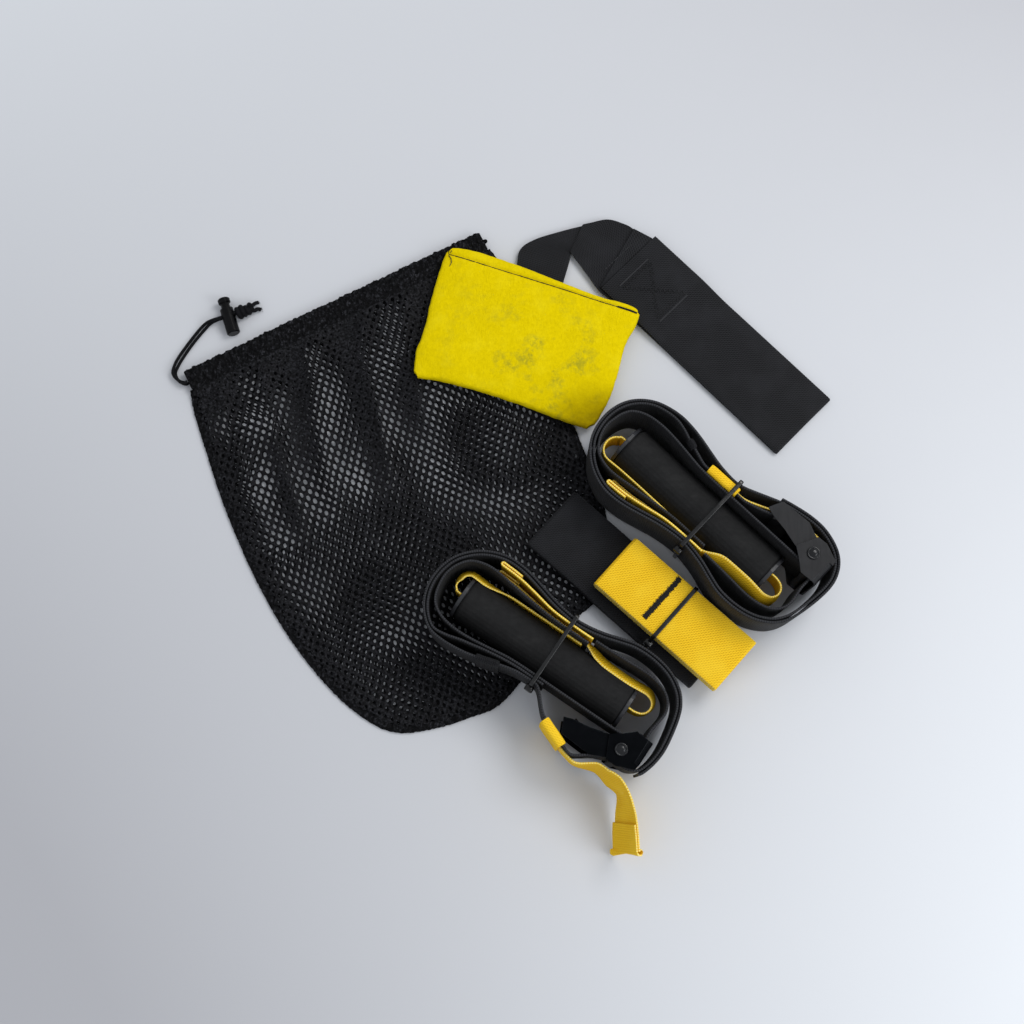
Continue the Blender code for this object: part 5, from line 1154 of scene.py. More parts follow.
class Look:
    """A small builder of node materials."""

    def __init__(self, name, roughness=0.8, metallic=0.0):
        self.material = bpy.data.materials.new(name)
        self.material.use_nodes = True
        self.tree = self.material.node_tree
        self.shader = self.tree.nodes["Principled BSDF"]
        preset(self.shader, {"Roughness": roughness, "Metallic": metallic})
        self.places = self.node("ShaderNodeTexCoord")

    def node(self, kind, **settings):
        made = self.tree.nodes.new(kind)
        for key, value in settings.items():
            setattr(made, key, value)
        return made

    def link(self, value, socket):
        if hasattr(value, "is_output"):
            self.tree.links.new(value, socket)
        else:
            socket.default_value = value

    def math(self, operation, first, second=0.0):
        made = self.node("ShaderNodeMath", operation=operation)
        self.link(first, made.inputs[0])
        self.link(second, made.inputs[1])
        return made.outputs[0]

    def times(self, first, second):
        return self.math("MULTIPLY", first, second)

    def plus(self, first, second):
        return self.math("ADD", first, second)

    def total(self, *parts):
        """The sum of (value, weight) pairs."""
        found = self.times(*parts[0])
        for value, weight in parts[1:]:
            found = self.plus(found, self.times(value, weight))
        return found

    def apart(self, vector):
        """The first two values of a vector."""
        parts = self.node("ShaderNodeSeparateXYZ")
        self.link(vector, parts.inputs[0])
        return parts.outputs[0], parts.outputs[1]

    def uv(self):
        """The two UV values in millimetres."""
        along, across = self.apart(self.places.outputs["UV"])
        return self.times(along, 1000.0), self.times(across, 1000.0)

    def spot(self, **mapping):
        """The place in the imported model's frame, in metres, moved or stretched if a mapping is given."""
        place = self.places.outputs["Object"]
        if not mapping:
            return place
        made = self.node("ShaderNodeMapping")
        preset(made, mapping)
        self.link(place, made.inputs[0])
        return made.outputs[0]

    def distance_from(self, place):
        made = self.node("ShaderNodeVectorMath", operation="LENGTH")
        self.link(self.spot(Location=-Vector(place)), made.inputs[0])
        return made.outputs["Value"]

    def noise(self, scale, detail=3.0, roughness=0.5, stretch=None):
        made = self.node("ShaderNodeTexNoise")
        self.link(self.spot(Scale=stretch) if stretch else self.spot(), made.inputs["Vector"])
        preset(made, {"Scale": scale, "Detail": detail, "Roughness": roughness})
        return made.outputs["Fac"]

    def cells(self, scale):
        made = self.node("ShaderNodeTexVoronoi", feature="F1")
        self.link(self.spot(), made.inputs["Vector"])
        preset(made, {"Scale": scale})
        return made.outputs["Distance"]

    def steps(self, value, low, high, to_low=0.0, to_high=1.0):
        """The value taken from one range to another, clamped."""
        made = self.node("ShaderNodeMapRange", clamp=True)
        self.link(value, made.inputs[0])
        for socket, number in zip(made.inputs[1:5], (low, high, to_low, to_high)):
            socket.default_value = number
        return made.outputs[0]

    def wave(self, value, pitch):
        """Ridges a pitch apart: 0 in the grooves and 1 on the crests."""
        return self.math("ABSOLUTE", self.math("SINE", self.times(value, math.pi / pitch)))

    def mix(self, share, first, second):
        made = self.node("ShaderNodeMix", data_type="RGBA")
        for index, value in ((0, share), (6, first), (7, second)):
            self.link(value, made.inputs[index])
        return made.outputs[2]

    def edge(self):
        """How near the edge of its piece a spot is, or how far its yarn stands out."""
        return self.node("ShaderNodeAttribute", attribute_name="edge").outputs["Fac"]

    def soft_edges(self, radius):
        made = self.node("ShaderNodeBevel", samples=4)
        preset(made, {"Radius": radius})
        return made.outputs[0]

    def finished(self, colour, height, depth, strength, gloss, rough=None, under=None):
        """The material, with its colour, its bump, its specular level and a roughness that varies."""
        bump = self.node("ShaderNodeBump")
        self.link(height, bump.inputs["Height"])
        preset(bump, {"Distance": depth, "Strength": strength})
        if under:
            self.link(under, bump.inputs["Normal"])
        self.link(bump.outputs[0], self.shader.inputs["Normal"])
        self.link(colour, self.shader.inputs["Base Color"])
        if rough:
            self.link(rough, self.shader.inputs["Roughness"])
        preset(self.shader, {"Specular IOR Level": gloss})
        return self.material

    def sheen(self, weight, roughness, tint=(1, 1, 1, 1)):
        preset(self.shader, {"Sheen Weight": weight, "Sheen Roughness": roughness, "Sheen Tint": tint})


def webbing_look(name, base, light, groove_shade, edge_highlight, slant, pitch, warp, sheen=0.04, gloss=0.16,
                 strength=0.85):
    """Woven webbing: ribs across it, warp threads along it, a twill that leans across both, painted shade
    in the grooves and a painted highlight in dots on the woven edge.
    """
    look = Look(name, WEBBING_ROUGHNESS)
    along, across = look.uv()
    ribs = look.wave(along, pitch)
    threads = look.wave(across, warp)
    twill = look.wave(look.plus(look.times(across, slant), along), pitch * TWILL_TO_RIBS)
    weave = look.total((ribs, 0.35), (threads, 0.3), (twill, 0.55), (look.noise(2600.0, 2.0), 0.30))
    # Painted shade: where the weave is low the colour turns to the groove colour
    tone = look.mix(look.steps(weave, 0.45, 1.05), groove_shade, base)
    tone = look.mix(look.steps(look.noise(60.0, 2.0), 0.42, 0.72, 0.0, 0.55), tone, light)
    # Painted highlight on the woven edge, in dots that follow the weave
    notches = look.steps(look.wave(along, EDGE_STITCH_PITCH), 0.35, 0.85)
    tone = look.mix(look.times(look.edge(), notches), tone, edge_highlight)
    look.sheen(sheen, 0.45)
    rough = look.steps(weave, 0.3, 1.3, WEBBING_ROUGHNESS + 0.12, WEBBING_ROUGHNESS - 0.1)
    return look.finished(tone, weave, depth=0.00028, strength=strength, gloss=gloss, rough=rough)


def felt_look():
    """Lemon-yellow felt: matted fibres, faint grey-green smudges where hands and doors rubbed it, and the
    right bundle's painted shadow at one end.
    """
    look = Look("felt", 0.95)
    fibres = look.noise(420.0, 6.0, 0.72)
    clumps = look.noise(75.0, 3.0, 0.6)
    tone = look.mix(look.steps(fibres, 0.32, 0.68), FELT_DEEP, FELT_YELLOW)
    tone = look.mix(look.steps(clumps, 0.5, 0.75, 0.0, 0.4), tone, FELT_LIGHT)
    patch = look.noise(48.0, 4.0, 0.62)
    grain = look.noise(260.0, 3.0, 0.6)
    smudge = look.times(look.steps(patch, 0.50, 0.66), look.steps(grain, 0.38, 0.58))
    near = look.steps(look.distance_from(SMUDGE_PLACE), *SMUDGE_REACH, 1.0, 0.16)
    tone = look.mix(look.times(look.times(smudge, near), 0.85), tone, FELT_SMUDGE)
    # Painted shadow of the right bundle, darkest near its place and broken up by the patches
    near = look.steps(look.distance_from(PAD_PAINTED_SHADOW_PLACE), *PAD_PAINTED_SHADOW_REACH, 1.0, 0.0)
    shade = look.times(near, look.steps(patch, 0.30, 0.60, 0.45, 1.0))
    tone = look.mix(look.times(shade, 0.95), tone, FELT_PAINTED_SHADOW)
    look.sheen(0.04, 0.6, FELT_SHEEN)
    height = look.plus(fibres, look.times(look.noise(900.0, 3.0, 0.6, stretch=(1.0, 0.35, 1.0)), 0.7))
    return look.finished(tone, height, depth=0.0007, strength=0.8, gloss=0.02)


def mesh_look():
    """Knitted polyester yarn: fine loops and a soft shine."""
    look = Look("mesh_cloth", 0.55)
    loops = look.noise(720.0, 4.0, 0.72)
    tone = look.mix(look.steps(loops, 0.46, 0.68), MESH_BLACK, MESH_LIGHT)
    tone = look.mix(look.steps(look.noise(38.0, 2.0), 0.35, 0.7, 0.0, 0.35), tone, MESH_BLACK)
    rough = look.steps(loops, 0.3, 0.7, 0.70, 0.50)
    return look.finished(tone, loops, depth=0.00040, strength=0.9, gloss=0.10, rough=rough)


def hem_look():
    """The gathered mesh of the hem: dense loops, with painted shade in the pits between them and a painted
    highlight on yarn that stands out.
    """
    look = Look("hem_cloth", 0.6)
    pits = look.cells(520.0)
    loops = look.noise(1500.0, 3.0, 0.6)
    strands = look.noise(560.0, 4.0, 0.75, stretch=(1.0, 0.6, 1.0))
    # The light colour is a painted highlight on random specks of yarn that stand out; the pits get painted
    # shade
    share = look.times(look.steps(pits, 0.66, 0.22, 0.25, 1.0), look.steps(strands, 0.47, 0.64))
    share = look.times(share, look.steps(look.edge(), 0.1, 0.9, 0.2, 1.0))
    height = look.math("SUBTRACT", look.times(loops, 0.4), pits)
    rough = look.steps(loops, 0.3, 0.7, 0.75, 0.5)
    tone = look.mix(share, HEM_DARK, HEM_PAINTED_HIGHLIGHT)
    return look.finished(tone, height, depth=0.0009, strength=1.0, gloss=0.09, rough=rough)


def cord_look():
    """A round braid: two sets of strands that cross at a slant, with painted shade in the grooves between
    them.
    """
    look = Look("cord", 0.6)
    along, around = look.uv()
    leaning = look.times(around, 1.3)
    right = look.wave(look.plus(along, leaning), CORD_STRAND_PITCH)
    left = look.wave(look.math("SUBTRACT", along, leaning), CORD_STRAND_PITCH)
    strands = look.math("MAXIMUM", right, left)
    fibres = look.noise(3200.0, 2.0)
    # Painted shade in the grooves between the strands; on the strands the tone varies with the fibres
    tone = look.mix(look.times(strands, fibres), CORD_DARK_AND_GROOVE_SHADE, CORD_LIGHT)
    height = look.plus(strands, look.times(fibres, 0.4))
    rough = look.steps(strands, 0.2, 1.0, 0.8, 0.5)
    return look.finished(tone, height, depth=0.0003, strength=0.8, gloss=0.08, rough=rough)


def plastic_look(name, base, light, roughness, bevel=0.0003, gloss=0.4):
    """Moulded plastic with a fine grain, faint rubbed patches and soft edges."""
    look = Look(name, roughness)
    rubbed = look.noise(90.0, 4.0, 0.6)
    tone = look.mix(look.steps(rubbed, 0.48, 0.72, 0.0, 0.8), base, light)
    rough = look.steps(rubbed, 0.35, 0.7, roughness - 0.08, roughness + 0.14)
    return look.finished(tone, look.noise(900.0, 2.0), depth=0.00006, strength=0.5, gloss=gloss,
                         rough=rough, under=look.soft_edges(bevel))


def foam_look():
    """Closed-cell foam: tiny pores, a matt skin and light scuffs along the grip."""
    look = Look("grip_foam", 0.82)
    skin = look.noise(260.0, 4.0, 0.6)
    scuffs = look.noise(55.0, 5.0, 0.7, stretch=(1.0, 2.2, 1.0))
    tone = look.mix(look.steps(skin, 0.35, 0.7), FOAM_DARK, FOAM_GREY)
    tone = look.mix(look.steps(scuffs, 0.55, 0.78, 0.0, 0.4), tone, FOAM_SCUFF)
    height = look.total((look.cells(1500.0), 0.8), (skin, 0.5))
    rough = look.steps(scuffs, 0.4, 0.75, 0.84, 0.70)
    return look.finished(tone, height, depth=0.0002, strength=0.6, gloss=0.26, rough=rough)


def steel_look(name, base, light, roughness, metallic=0.25, bevel=0.0004, gloss=0.3):
    """Coated steel: satin, with faint scratches and bare metal where its edges rub."""
    look = Look(name, roughness, metallic)
    cloud = look.noise(120.0, 4.0, 0.6)
    scratch = look.noise(800.0, 3.0, 0.7, stretch=(1.0, 0.06, 1.0))
    rounded = look.soft_edges(bevel)
    lean = look.node("ShaderNodeVectorMath", operation="DOT_PRODUCT")
    look.link(rounded, lean.inputs[0])
    look.link(look.node("ShaderNodeNewGeometry").outputs["Normal"], lean.inputs[1])
    bare = look.steps(lean.outputs["Value"], 0.86, 0.985, 1.0, 0.0)
    worn = look.times(bare, look.steps(cloud, 0.35, 0.6))
    tone = look.mix(look.steps(cloud, 0.4, 0.7, 0.0, 0.6), base, light)
    tone = look.mix(look.times(worn, 0.55), tone, WORN_STEEL)
    rough = look.steps(scratch, 0.35, 0.7, roughness - 0.08, roughness + 0.12)
    return look.finished(tone, scratch, depth=0.00003, strength=0.5, gloss=gloss, rough=rough,
                         under=rounded)


def thread_look(name, base, light):
    """Twisted sewing thread."""
    look = Look(name, 0.6)
    twist = look.noise(2600.0, 2.0)
    return look.finished(look.mix(twist, base, light), twist, depth=0.00008, strength=0.6, gloss=0.25)


def floor_look():
    """A pale table top with the least grain, painted lighter toward one side and darker toward the other as
    painted light and shade.
    """
    look = Look("table", 0.7)
    right, back = look.apart(look.spot())
    # Painted light: the colour follows how much lamp light falls on each spot of the table
    cross = look.times(look.times(right, back), -1.48)
    painted_light_level = look.plus(look.times(right, 0.215), cross)
    cloud = look.times(look.math("SUBTRACT", look.noise(2.5, 2.0), 0.5), 0.03)
    tone = look.mix(look.steps(look.plus(painted_light_level, cloud), -0.145, 0.185), TABLE_PAINTED_SHADE, TABLE_PAINTED_LIGHT)
    rough = look.steps(look.noise(40.0, 3.0), 0.3, 0.7, 0.62, 0.76)
    return look.finished(tone, look.noise(500.0, 2.0), depth=0.00005, strength=0.2, gloss=0.15, rough=rough)


def make_looks():
    """Every material, by a short name."""
    black = (BLACK, BLACK_LIGHT, BLACK_GROOVE_SHADE, BLACK_EDGE_HIGHLIGHT)
    yellow = (YELLOW, YELLOW_LIGHT, YELLOW_GROOVE_SHADE, YELLOW_EDGE_HIGHLIGHT)
    return {
        "black": webbing_look("black_webbing", *black, slant=0.9, pitch=1.35, warp=1.2, strength=1.0),
        "plain": webbing_look("black_webbing_plain", *black, slant=0.9, pitch=1.15, warp=1.3),
        "yellow": webbing_look("yellow_webbing", *yellow, slant=0.8, pitch=1.3, warp=1.15, sheen=0.0,
                               gloss=0.08, strength=0.8),
        "felt": felt_look(),
        "mesh": mesh_look(),
        "hem": hem_look(),
        "cord": cord_look(),
        "lock": plastic_look("lock_plastic", LOCK_BLACK, LOCK_LIGHT, 0.24, gloss=0.13),
        "tie": plastic_look("tie_plastic", TIE_BLACK, TIE_LIGHT, 0.2, bevel=0.0002, gloss=0.42),
        "ring": plastic_look("grip_plastic", RING_GREY, RING_LIGHT, 0.42),
        "core": plastic_look("pad_core", CORE_GREY, CORE_LIGHT, 0.7),
        "foam": foam_look(),
        "steel_right": steel_look("buckle_steel", STEEL_BLACK, STEEL_LIGHT, 0.42, gloss=0.25),
        # The left buckle's steel carries painted shade
        "steel_left": steel_look("buckle_steel_left_painted_shade", STEEL_PAINTED_SHADE, STEEL_PAINTED_SHADE_LIGHT, 0.50, gloss=0.03),
        "rivet": steel_look("buckle_rivet", RIVET_DARK, RIVET_LIGHT, 0.2, 0.4, bevel=0.0002, gloss=0.5),
        "spring": steel_look("spring_steel", SPRING_GREY, SPRING_LIGHT, 0.3, 1.0, bevel=0.0001, gloss=0.5),
        "black_thread": thread_look("black_thread", BLACK_THREAD, BLACK_THREAD_LIGHT),
        # Black stitches painted grey: a painted sheen
        "black_thread_painted_sheen": thread_look("black_thread_painted_sheen", THREAD_PAINTED_SHEEN, THREAD_PAINTED_SHEEN_LIGHT),
    }


# The camera, the light and the table

def add_camera():
    camera = bpy.data.objects.new("camera", bpy.data.cameras.new("camera"))
    bpy.context.collection.objects.link(camera)
    camera.data.lens = 50
    camera.data.sensor_width = 36
    rise = CAMERA_ELEVATION
    camera.location = KIT_MOVE + Vector((0, -math.cos(rise), math.sin(rise))) * CAMERA_DISTANCE
    camera.rotation_euler = (math.pi / 2 - rise, 0, 0)
    bpy.context.scene.camera = camera


def add_light(name, place, aim, size, power, tint):
    """A round area light that faces its aim."""
    light = bpy.data.lights.new(name, "AREA")
    light.shape = "DISK"
    light.size = size
    light.energy = power
    light.color = tint
    obj = bpy.data.objects.new(name, light)
    bpy.context.collection.objects.link(obj)
    obj.location = place
    obj.rotation_euler = (Vector(aim) - Vector(place)).to_track_quat("-Z", "Y").to_euler()


def add_surroundings():
    """The room's light, two lamps and the table."""
    scene = bpy.context.scene
    scene.view_settings.view_transform = "Standard"
    world = bpy.data.worlds.new("room")
    scene.world = world
    world.use_nodes = True
    background = world.node_tree.nodes["Background"].inputs
    background["Color"].default_value = WORLD_TINT
    background["Strength"].default_value = WORLD_STRENGTH
    add_light("key", (0.75, 0.55, 1.25), (0, 0, 0), 0.75, KEY_POWER, KEY_TINT)
    add_light("window", (1.1, -0.45, 0.9), (0.05, 0, 0), 0.7, WINDOW_POWER, WINDOW_TINT)
    bpy.ops.mesh.primitive_plane_add(size=6, location=(0, 0, 0))
    floor = bpy.context.object
    floor.name = "table"
    floor.data.materials.append(floor_look())


# The drawcord

def strand_route(sign, exit_height):
    """The part's own route of one strand, in metres."""
    out = Vector((-math.cos(BAG_HEADING), -math.sin(BAG_HEADING), 0))
    middle = [Vector((BAG_PLACE[0] + x, BAG_PLACE[1] + y, height)) for x, y, height, _ in CORD_ROUTE]
    start = hem_exit(exit_height)
    route = [start + out * CORD_EXIT_RUN]
    for i, (point, place) in enumerate(zip(middle, CORD_ROUTE)):
        beside = UP.cross(tangent_at(middle, i)).normalized()
        angle = math.radians(place[3])
        route.append(point + (beside * math.cos(angle) + UP * math.sin(angle)) * sign * STRAND_RISE)
    through = Vector(LOCK_PLACE) + UP * sign * STRAND_RISE
    route += [through, through + LOCK_CORD_AXIS * (LOCK_RADIUS + TOUCH_GAP)]
    points = [start] + evenly(smooth_path(route, 6), CORD_POINT_SPACING * CORD_DIAMETER)
    return [point + KIT_MOVE for point in points]


def braided_tube(name, points, radius, looks):
    """A round braid whose strands stand out a little where they cross, and its middle line."""
    path = refined(points, [UP] * len(points), BRAID_SPACING)[0]
    walked = distances(path)
    vertices = []
    side = None
    for i, point in enumerate(path):
        ahead = tangent_at(path, i)
        side = (side - ahead * side.dot(ahead)).normalized() if side else ahead.orthogonal().normalized()
        lift = ahead.cross(side)
        turns = walked[i] / BRAID_PITCH * math.pi
        for k in range(BRAID_SIDES):
            angle = 2 * math.pi * k / BRAID_SIDES
            cross = max(abs(math.cos(turns + 2 * angle)), abs(math.cos(turns - 2 * angle)))
            size = radius * (1 - BRAID_DIP + BRAID_DIP * cross)
            vertices.append(point + (side * math.cos(angle) + lift * math.sin(angle)) * size)
    around = [2 * math.pi * radius * k / BRAID_SIDES for k in range(BRAID_SIDES + 1)]
    faces, uvs = tube_faces(len(path), BRAID_SIDES, walked, around)
    piece = add_mesh(name, vertices, faces, looks["cord"], "bag", uvs)
    return piece, path


def add_drawcord(looks):
    """The two strands from the hem through the lock, and the knot with its frayed ends."""
    knot = add_knot(looks)
    ends = (("lower", -1, HEM_THICKNESS / 2), ("upper", 1, TOP_HEM_BASE + HEM_THICKNESS / 2))
    for name, sign, exit_height in ends:
        route = strand_route(sign, exit_height)
        strand, path = braided_tube(f"cord_{name}", route, CORD_DIAMETER / 2, looks)
        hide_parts(f"drawcord_{name}_strand")


def add_knot(looks):
    """An overhand knot pulled tight in both strands, then two short frayed ends."""
    place = Vector(LOCK_PLACE) + LOCK_CORD_AXIS * (LOCK_RADIUS + 2 * TOUCH_GAP)
    matrix = frame_at(place, math.atan2(LOCK_CORD_AXIS.y, LOCK_CORD_AXIS.x))
    wraps = []
    for k in range(KNOT_STEPS + 1):
        share = k / KNOT_STEPS
        angle = 2 * math.pi * KNOT_TURNS * share + KNOT_START_ANGLE
        reach = KNOT_REACH + KNOT_SWELL * math.sin(7 * share)
        along = KNOT_START + KNOT_SPAN * share
        wraps.append((along, reach * math.cos(angle), reach * math.sin(angle) * KNOT_FLATNESS))
    knot = braided_tube("cord_knot", placed_by(matrix, wraps), KNOT_WRAP_RADIUS, looks)[0]
    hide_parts("drawcord_knot")
    core = braided_tube("cord_knot_core", placed_by(matrix, KNOT_CORE), KNOT_CORE_RADIUS, looks)[0]
    core.parent = knot
    for k, points in enumerate(CORD_ENDS):
        braided_tube(f"cord_end_{k}", placed_by(matrix, points), CORD_END_RADIUS, looks)
    chance = random.Random(7)

    def strewn(x, y, z):
        return Vector((x, chance.uniform(-1, 1) * y, chance.uniform(-1, 1) * z))

    frays = []
    for points in CORD_ENDS:
        for k in range(FRAYS_PER_END):
            lean = strewn(*FRAY_LEAN)
            start = Vector(points[-1]) + strewn(*FRAY_START)
            bend = Vector((FRAY_BEND[0], chance.uniform(-1, 1) * FRAY_BEND[1], 0))
            frays.append(placed_by(matrix, (start, start + lean * 0.5 + bend, start + lean)))
    thread("cord_frays", frays, FRAY_RADIUS, looks["black_thread"], "bag", 4)
    return knot


# The bag

def bag_matrix():
    return frame_at(BAG_PLACE, BAG_HEADING)


def bag_edge():
    """The bag's sewn edge in plan, from one end of the mouth to the other."""
    edge = [Vector((x * BAG_WIDTH, -y * BAG_DEPTH, 0)) for x, y in BAG_SHARES]
    top = -SEAM_TOP_SHARE * HEM_WIDTH
    left, right = SEAM_END_SHARE * BAG_WIDTH, (1 - SEAM_END_SHARE) * BAG_WIDTH
    return smooth_path([Vector((left, top, 0))] + edge + [Vector((right, top, 0))], 4)


def inset_outline(path, distance):
    """The path moved inward, to its left, by a distance."""
    moved = []
    for i, point in enumerate(path):
        ahead = tangent_at(path, i)
        moved.append(point + Vector((-ahead.y, ahead.x, 0)) * distance)
    return moved


def inside(outline, x, y):
    """Whether a spot lies inside a closed outline."""
    found = False
    for a, b in zip(outline, outline[1:] + outline[:1]):
        if (a.y > y) != (b.y > y) and x < a.x + (y - a.y) / (b.y - a.y) * (b.x - a.x):
            found = not found
    return found


def distance_to_line(line, x, y):
    """How far a spot is from the nearest part of a line."""
    spot = Vector((x, y, 0))
    least = 1.0
    for a, b in zip(line, line[1:]):
        run = b - a
        share = min(max((spot - a).dot(run) / run.length_squared, 0), 1)
        least = min(least, (spot - a - run * share).length)
    return least


def smooth_share(value, low, high):
    """How far a value is from low to high, with a soft start and end."""
    share = min(max((value - low) / (high - low), 0), 1)
    return share * share * (3 - 2 * share)


def beside_line(line, x, y):
    """How far a spot is beside a line that runs down the bag, or None above and below the line."""
    for (ax, ay), (bx, by) in zip(line, line[1:]):
        if by <= y < ay:
            return x - ax - (bx - ax) * (y - ay) / (by - ay)
    return None


def fold_at(x, y):
    """The front layer's folds: how high it stands, and how far it is pulled sideways."""
    height, pull = 0.0, 0.0
    for line, rise, width in BAG_FOLDS:
        off = beside_line(line, x, y)
        if off is None:
            continue
        fade = smooth_share(line[0][1] - y, 0.0, FOLD_TOP_FADE)
        fade *= smooth_share(y - line[-1][1], 0.0, FOLD_FOOT_FADE)
        bell = math.exp(-((off / width) ** 2)) * fade
        height += rise * bell
        pull -= FOLD_PULL * off * bell
    return height, pull


def bunched_at(bands, x, y):
    """How near a spot of the net is to one of the bands, from 0 to 1."""
    most = 0.0
    for line, half in bands:
        off = beside_line(line, x, y)
        if off is None:
            continue
        top, foot = line[0][1], line[-1][1]
        fade = smooth_share(y - foot, 0.0, BAND_FOOT_FADE_SHARE * (top - foot))
        fade *= smooth_share(top - y, 0.0, BAND_TOP_FADE)
        most = max(most, math.exp(-(off / half)**4) * fade)
    return most


def ripple(x, y, across, down, seed, height=1.0):
    """Smooth noise over a plan, with the size of its waves across and down."""
    return noise.noise(Vector((x / across, y / down, seed))) * height


def drift_at(x, y, seed, size, reach):
    """How far the lattice wanders there, sideways and along the bag."""
    return ripple(x, y, size, size, seed, reach), ripple(x, y, size, size, seed + 7.3, reach)


def front_surface(x, y):
    """The front layer: folded, pressed flat under what lies on it, and raised by the hem's cord."""
    rise, pull = fold_at(x, y)
    pressed = 0.0
    for (left, right), (top, foot) in PRESSED_AREAS:
        pressed = max(pressed, min(smooth_share(x, left, right), smooth_share(-y, top, foot)))
    near = math.exp(-max(-y - HEM_WIDTH, 0) / FRONT_HEM_FADE)
    flutter = ripple(x, y, 0.021, 0.033, 3.1, FRONT_FLUTTER) * (1 - near)
    dx, dy = drift_at(x, y, 1.7, 0.070, FRONT_DRIFT)
    height = FRONT_MIDDLE + FRONT_HEM_RISE * near + rise * (1 - pressed) + flutter
    return Vector((x + pull * (1 - pressed) + dx * (1 - near), y + dy * (1 - near), height))


def back_surface(x, y):
    """The back layer: flat on the table, and raised by the hem's cord."""
    near = math.exp(-max(-y - HEM_WIDTH, 0) / BACK_HEM_FADE)
    dx, dy = drift_at(x, y, 11.2, 0.060, BACK_DRIFT)
    return Vector((x + dx * (1 - near), y + dy * (1 - near), BACK_MIDDLE + BACK_HEM_RISE * near))


def open_share_at(x, y, from_seam, turn, front):
    """How far the net's holes are open: less by the hem, by the seam and where the net is bunched."""
    patchy = ripple(x, y, 0.016, 0.05, 2.2 + turn * 50, OPEN_PATCHES)
    least, start, end = OPEN_BY_HEM
    share = least + (1 - least) * smooth_share(-y + patchy, start, end)
    least, start, end = OPEN_BY_SEAM
    share *= least + (1 - least) * smooth_share(from_seam, start, end)
    share *= 1 - BUNCHED_CLOSING * bunched_at(NET_BANDS, x, y) * (1.0 if front else BACK_BUNCHED_SHARE)
    share = max(share, FULLY_OPEN * bunched_at(NET_OPENS, x, y))
    loss, start, end = OPEN_LOSS_BELOW
    share *= 1 - loss * smooth_share(-y, start, end)
    share *= 1.0 if front else NET_BACK_GROW
    share *= 1 + ripple(x, y, 0.03, 0.03, turn * 50, OPEN_WANDER)
    return share * (1 + ripple(x, y, 0.004, 0.004, turn * 90, OPEN_JITTER))


def net_layer(name, surface, turn, looks, node):
    """Knitted mesh as a real net: one hole in each cell of a staggered lattice."""
    front = node == "bag_front_panel"
    outline = bag_edge()
    top = -HEM_WIDTH * NET_TOP_SHARE
    rim = [point for point in inset_outline(outline, SEAM_WIDTH * NET_INSET_SHARE) if point.y < top]
    rim = [Vector((rim[0].x, top, 0))] + rim + [Vector((rim[-1].x, top, 0))]
    half = NET_THICKNESS / 2
    vertices, faces, corners, sides = [], [], {}, {}
    cosine, sine = math.cos(turn), math.sin(turn)

    def laid(x, y):
        x, y = x - BAG_WIDTH / 2, y + BAG_DEPTH / 2
        return x * cosine - y * sine + BAG_WIDTH / 2, x * sine + y * cosine - BAG_DEPTH / 2

    def add(x, y, lift):
        vertices.append(surface(*laid(x, y)) + UP * lift)
        return len(vertices) - 1

    def corner(x, y):
        key = (round(x * 1e6), round(y * 1e6))
        if key not in corners:
            corners[key] = (add(x, y, half), add(x, y, -half))
        return key

    def hole(x, y, reach_x, reach_y, lift):
        turns = [2 * math.pi * k / HOLE_SIDES for k in range(HOLE_SIDES)]
        return [add(x + reach_x * math.cos(a), y + reach_y * math.sin(a), lift) for a in turns]

    for row in range(2 * (int(BAG_DEPTH * 1.1 / NET_PITCH_DOWN) + 2)):
        for column in range(int(BAG_WIDTH * 1.25 / NET_PITCH_ACROSS) + 2):
            x = (column + (0.5 if row % 2 else 0)) * NET_PITCH_ACROSS - 0.10 * BAG_WIDTH
            y = 0.004 - row * NET_PITCH_DOWN / 2
            spot = laid(x, y)
            if not inside(rim, *spot):
                continue
            share = open_share_at(*spot, distance_to_line(outline, *spot), turn, front)
            reach_x, reach_y = NET_HOLE_ACROSS * share, NET_HOLE_DOWN * share
            ring = [corner(x + sx * NET_PITCH_ACROSS, y + sy * NET_PITCH_DOWN) for sx, sy in CELL_CORNERS]
            for pair in zip(ring, ring[1:] + ring[:1]):
                sides[pair] = True
            wider_x, wider_y, rim_lift = reach_x + YARN_ROUND, reach_y + YARN_ROUND, half * YARN_ROUND_RISE
            upper = hole(x, y, wider_x, wider_y, rim_lift)
            middle = hole(x, y, reach_x, reach_y, 0)
            lower = hole(x, y, wider_x, wider_y, -rim_lift)
            for side, loop in ((0, upper), (1, lower)):
                six = [corners[key][side] for key in ring]
                for at, hole_at in CELL_TO_HOLE:
                    faces.append((six[at], loop[hole_at], loop[(hole_at + 1) % HOLE_SIDES]))
                for at, hole_at in HOLE_TO_CELL:
                    faces.append((six[at], six[(at + 1) % 6], loop[hole_at]))
            for a, b in ((upper, middle), (middle, lower)):
                for k in range(HOLE_SIDES):
                    n = (k + 1) % HOLE_SIDES
                    faces.append((a[k], a[n], b[n], b[k]))
    for start, end in sides:
        if (end, start) not in sides:
            faces.append((corners[start][0], corners[end][0], corners[end][1], corners[start][1]))
    piece = add_mesh(name, placed_by(bag_matrix(), vertices), faces, looks["mesh"], "bag", sharp=180)
    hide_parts(node)
    return piece, rim


def lumps(sizes, along, across, rise, seed=0.0):
    """Noise round a band of yarn, one value for each size."""
    return [noise.noise(Vector((along / size, across * a, rise * b + seed))) for size, a, b in sizes]


def weighted(values, base, *weights):
    """A base with each value times its weight added."""
    for value, weight in zip(values, weights):
        base += weight * value
    return base


def yarn_band(name, node, vertices, stands, walked, count, looks):
    """A closed band of gathered mesh. stands says how far its yarn stands out at each corner."""
    around = [k * 0.001 for k in range(count + 1)]
    faces, uvs = tube_faces(len(walked), count, walked, around)
    piece = add_mesh(name, placed_by(bag_matrix(), vertices), faces, looks["hem"], "bag", uvs, stands, 180)
    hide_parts(node)
    return piece


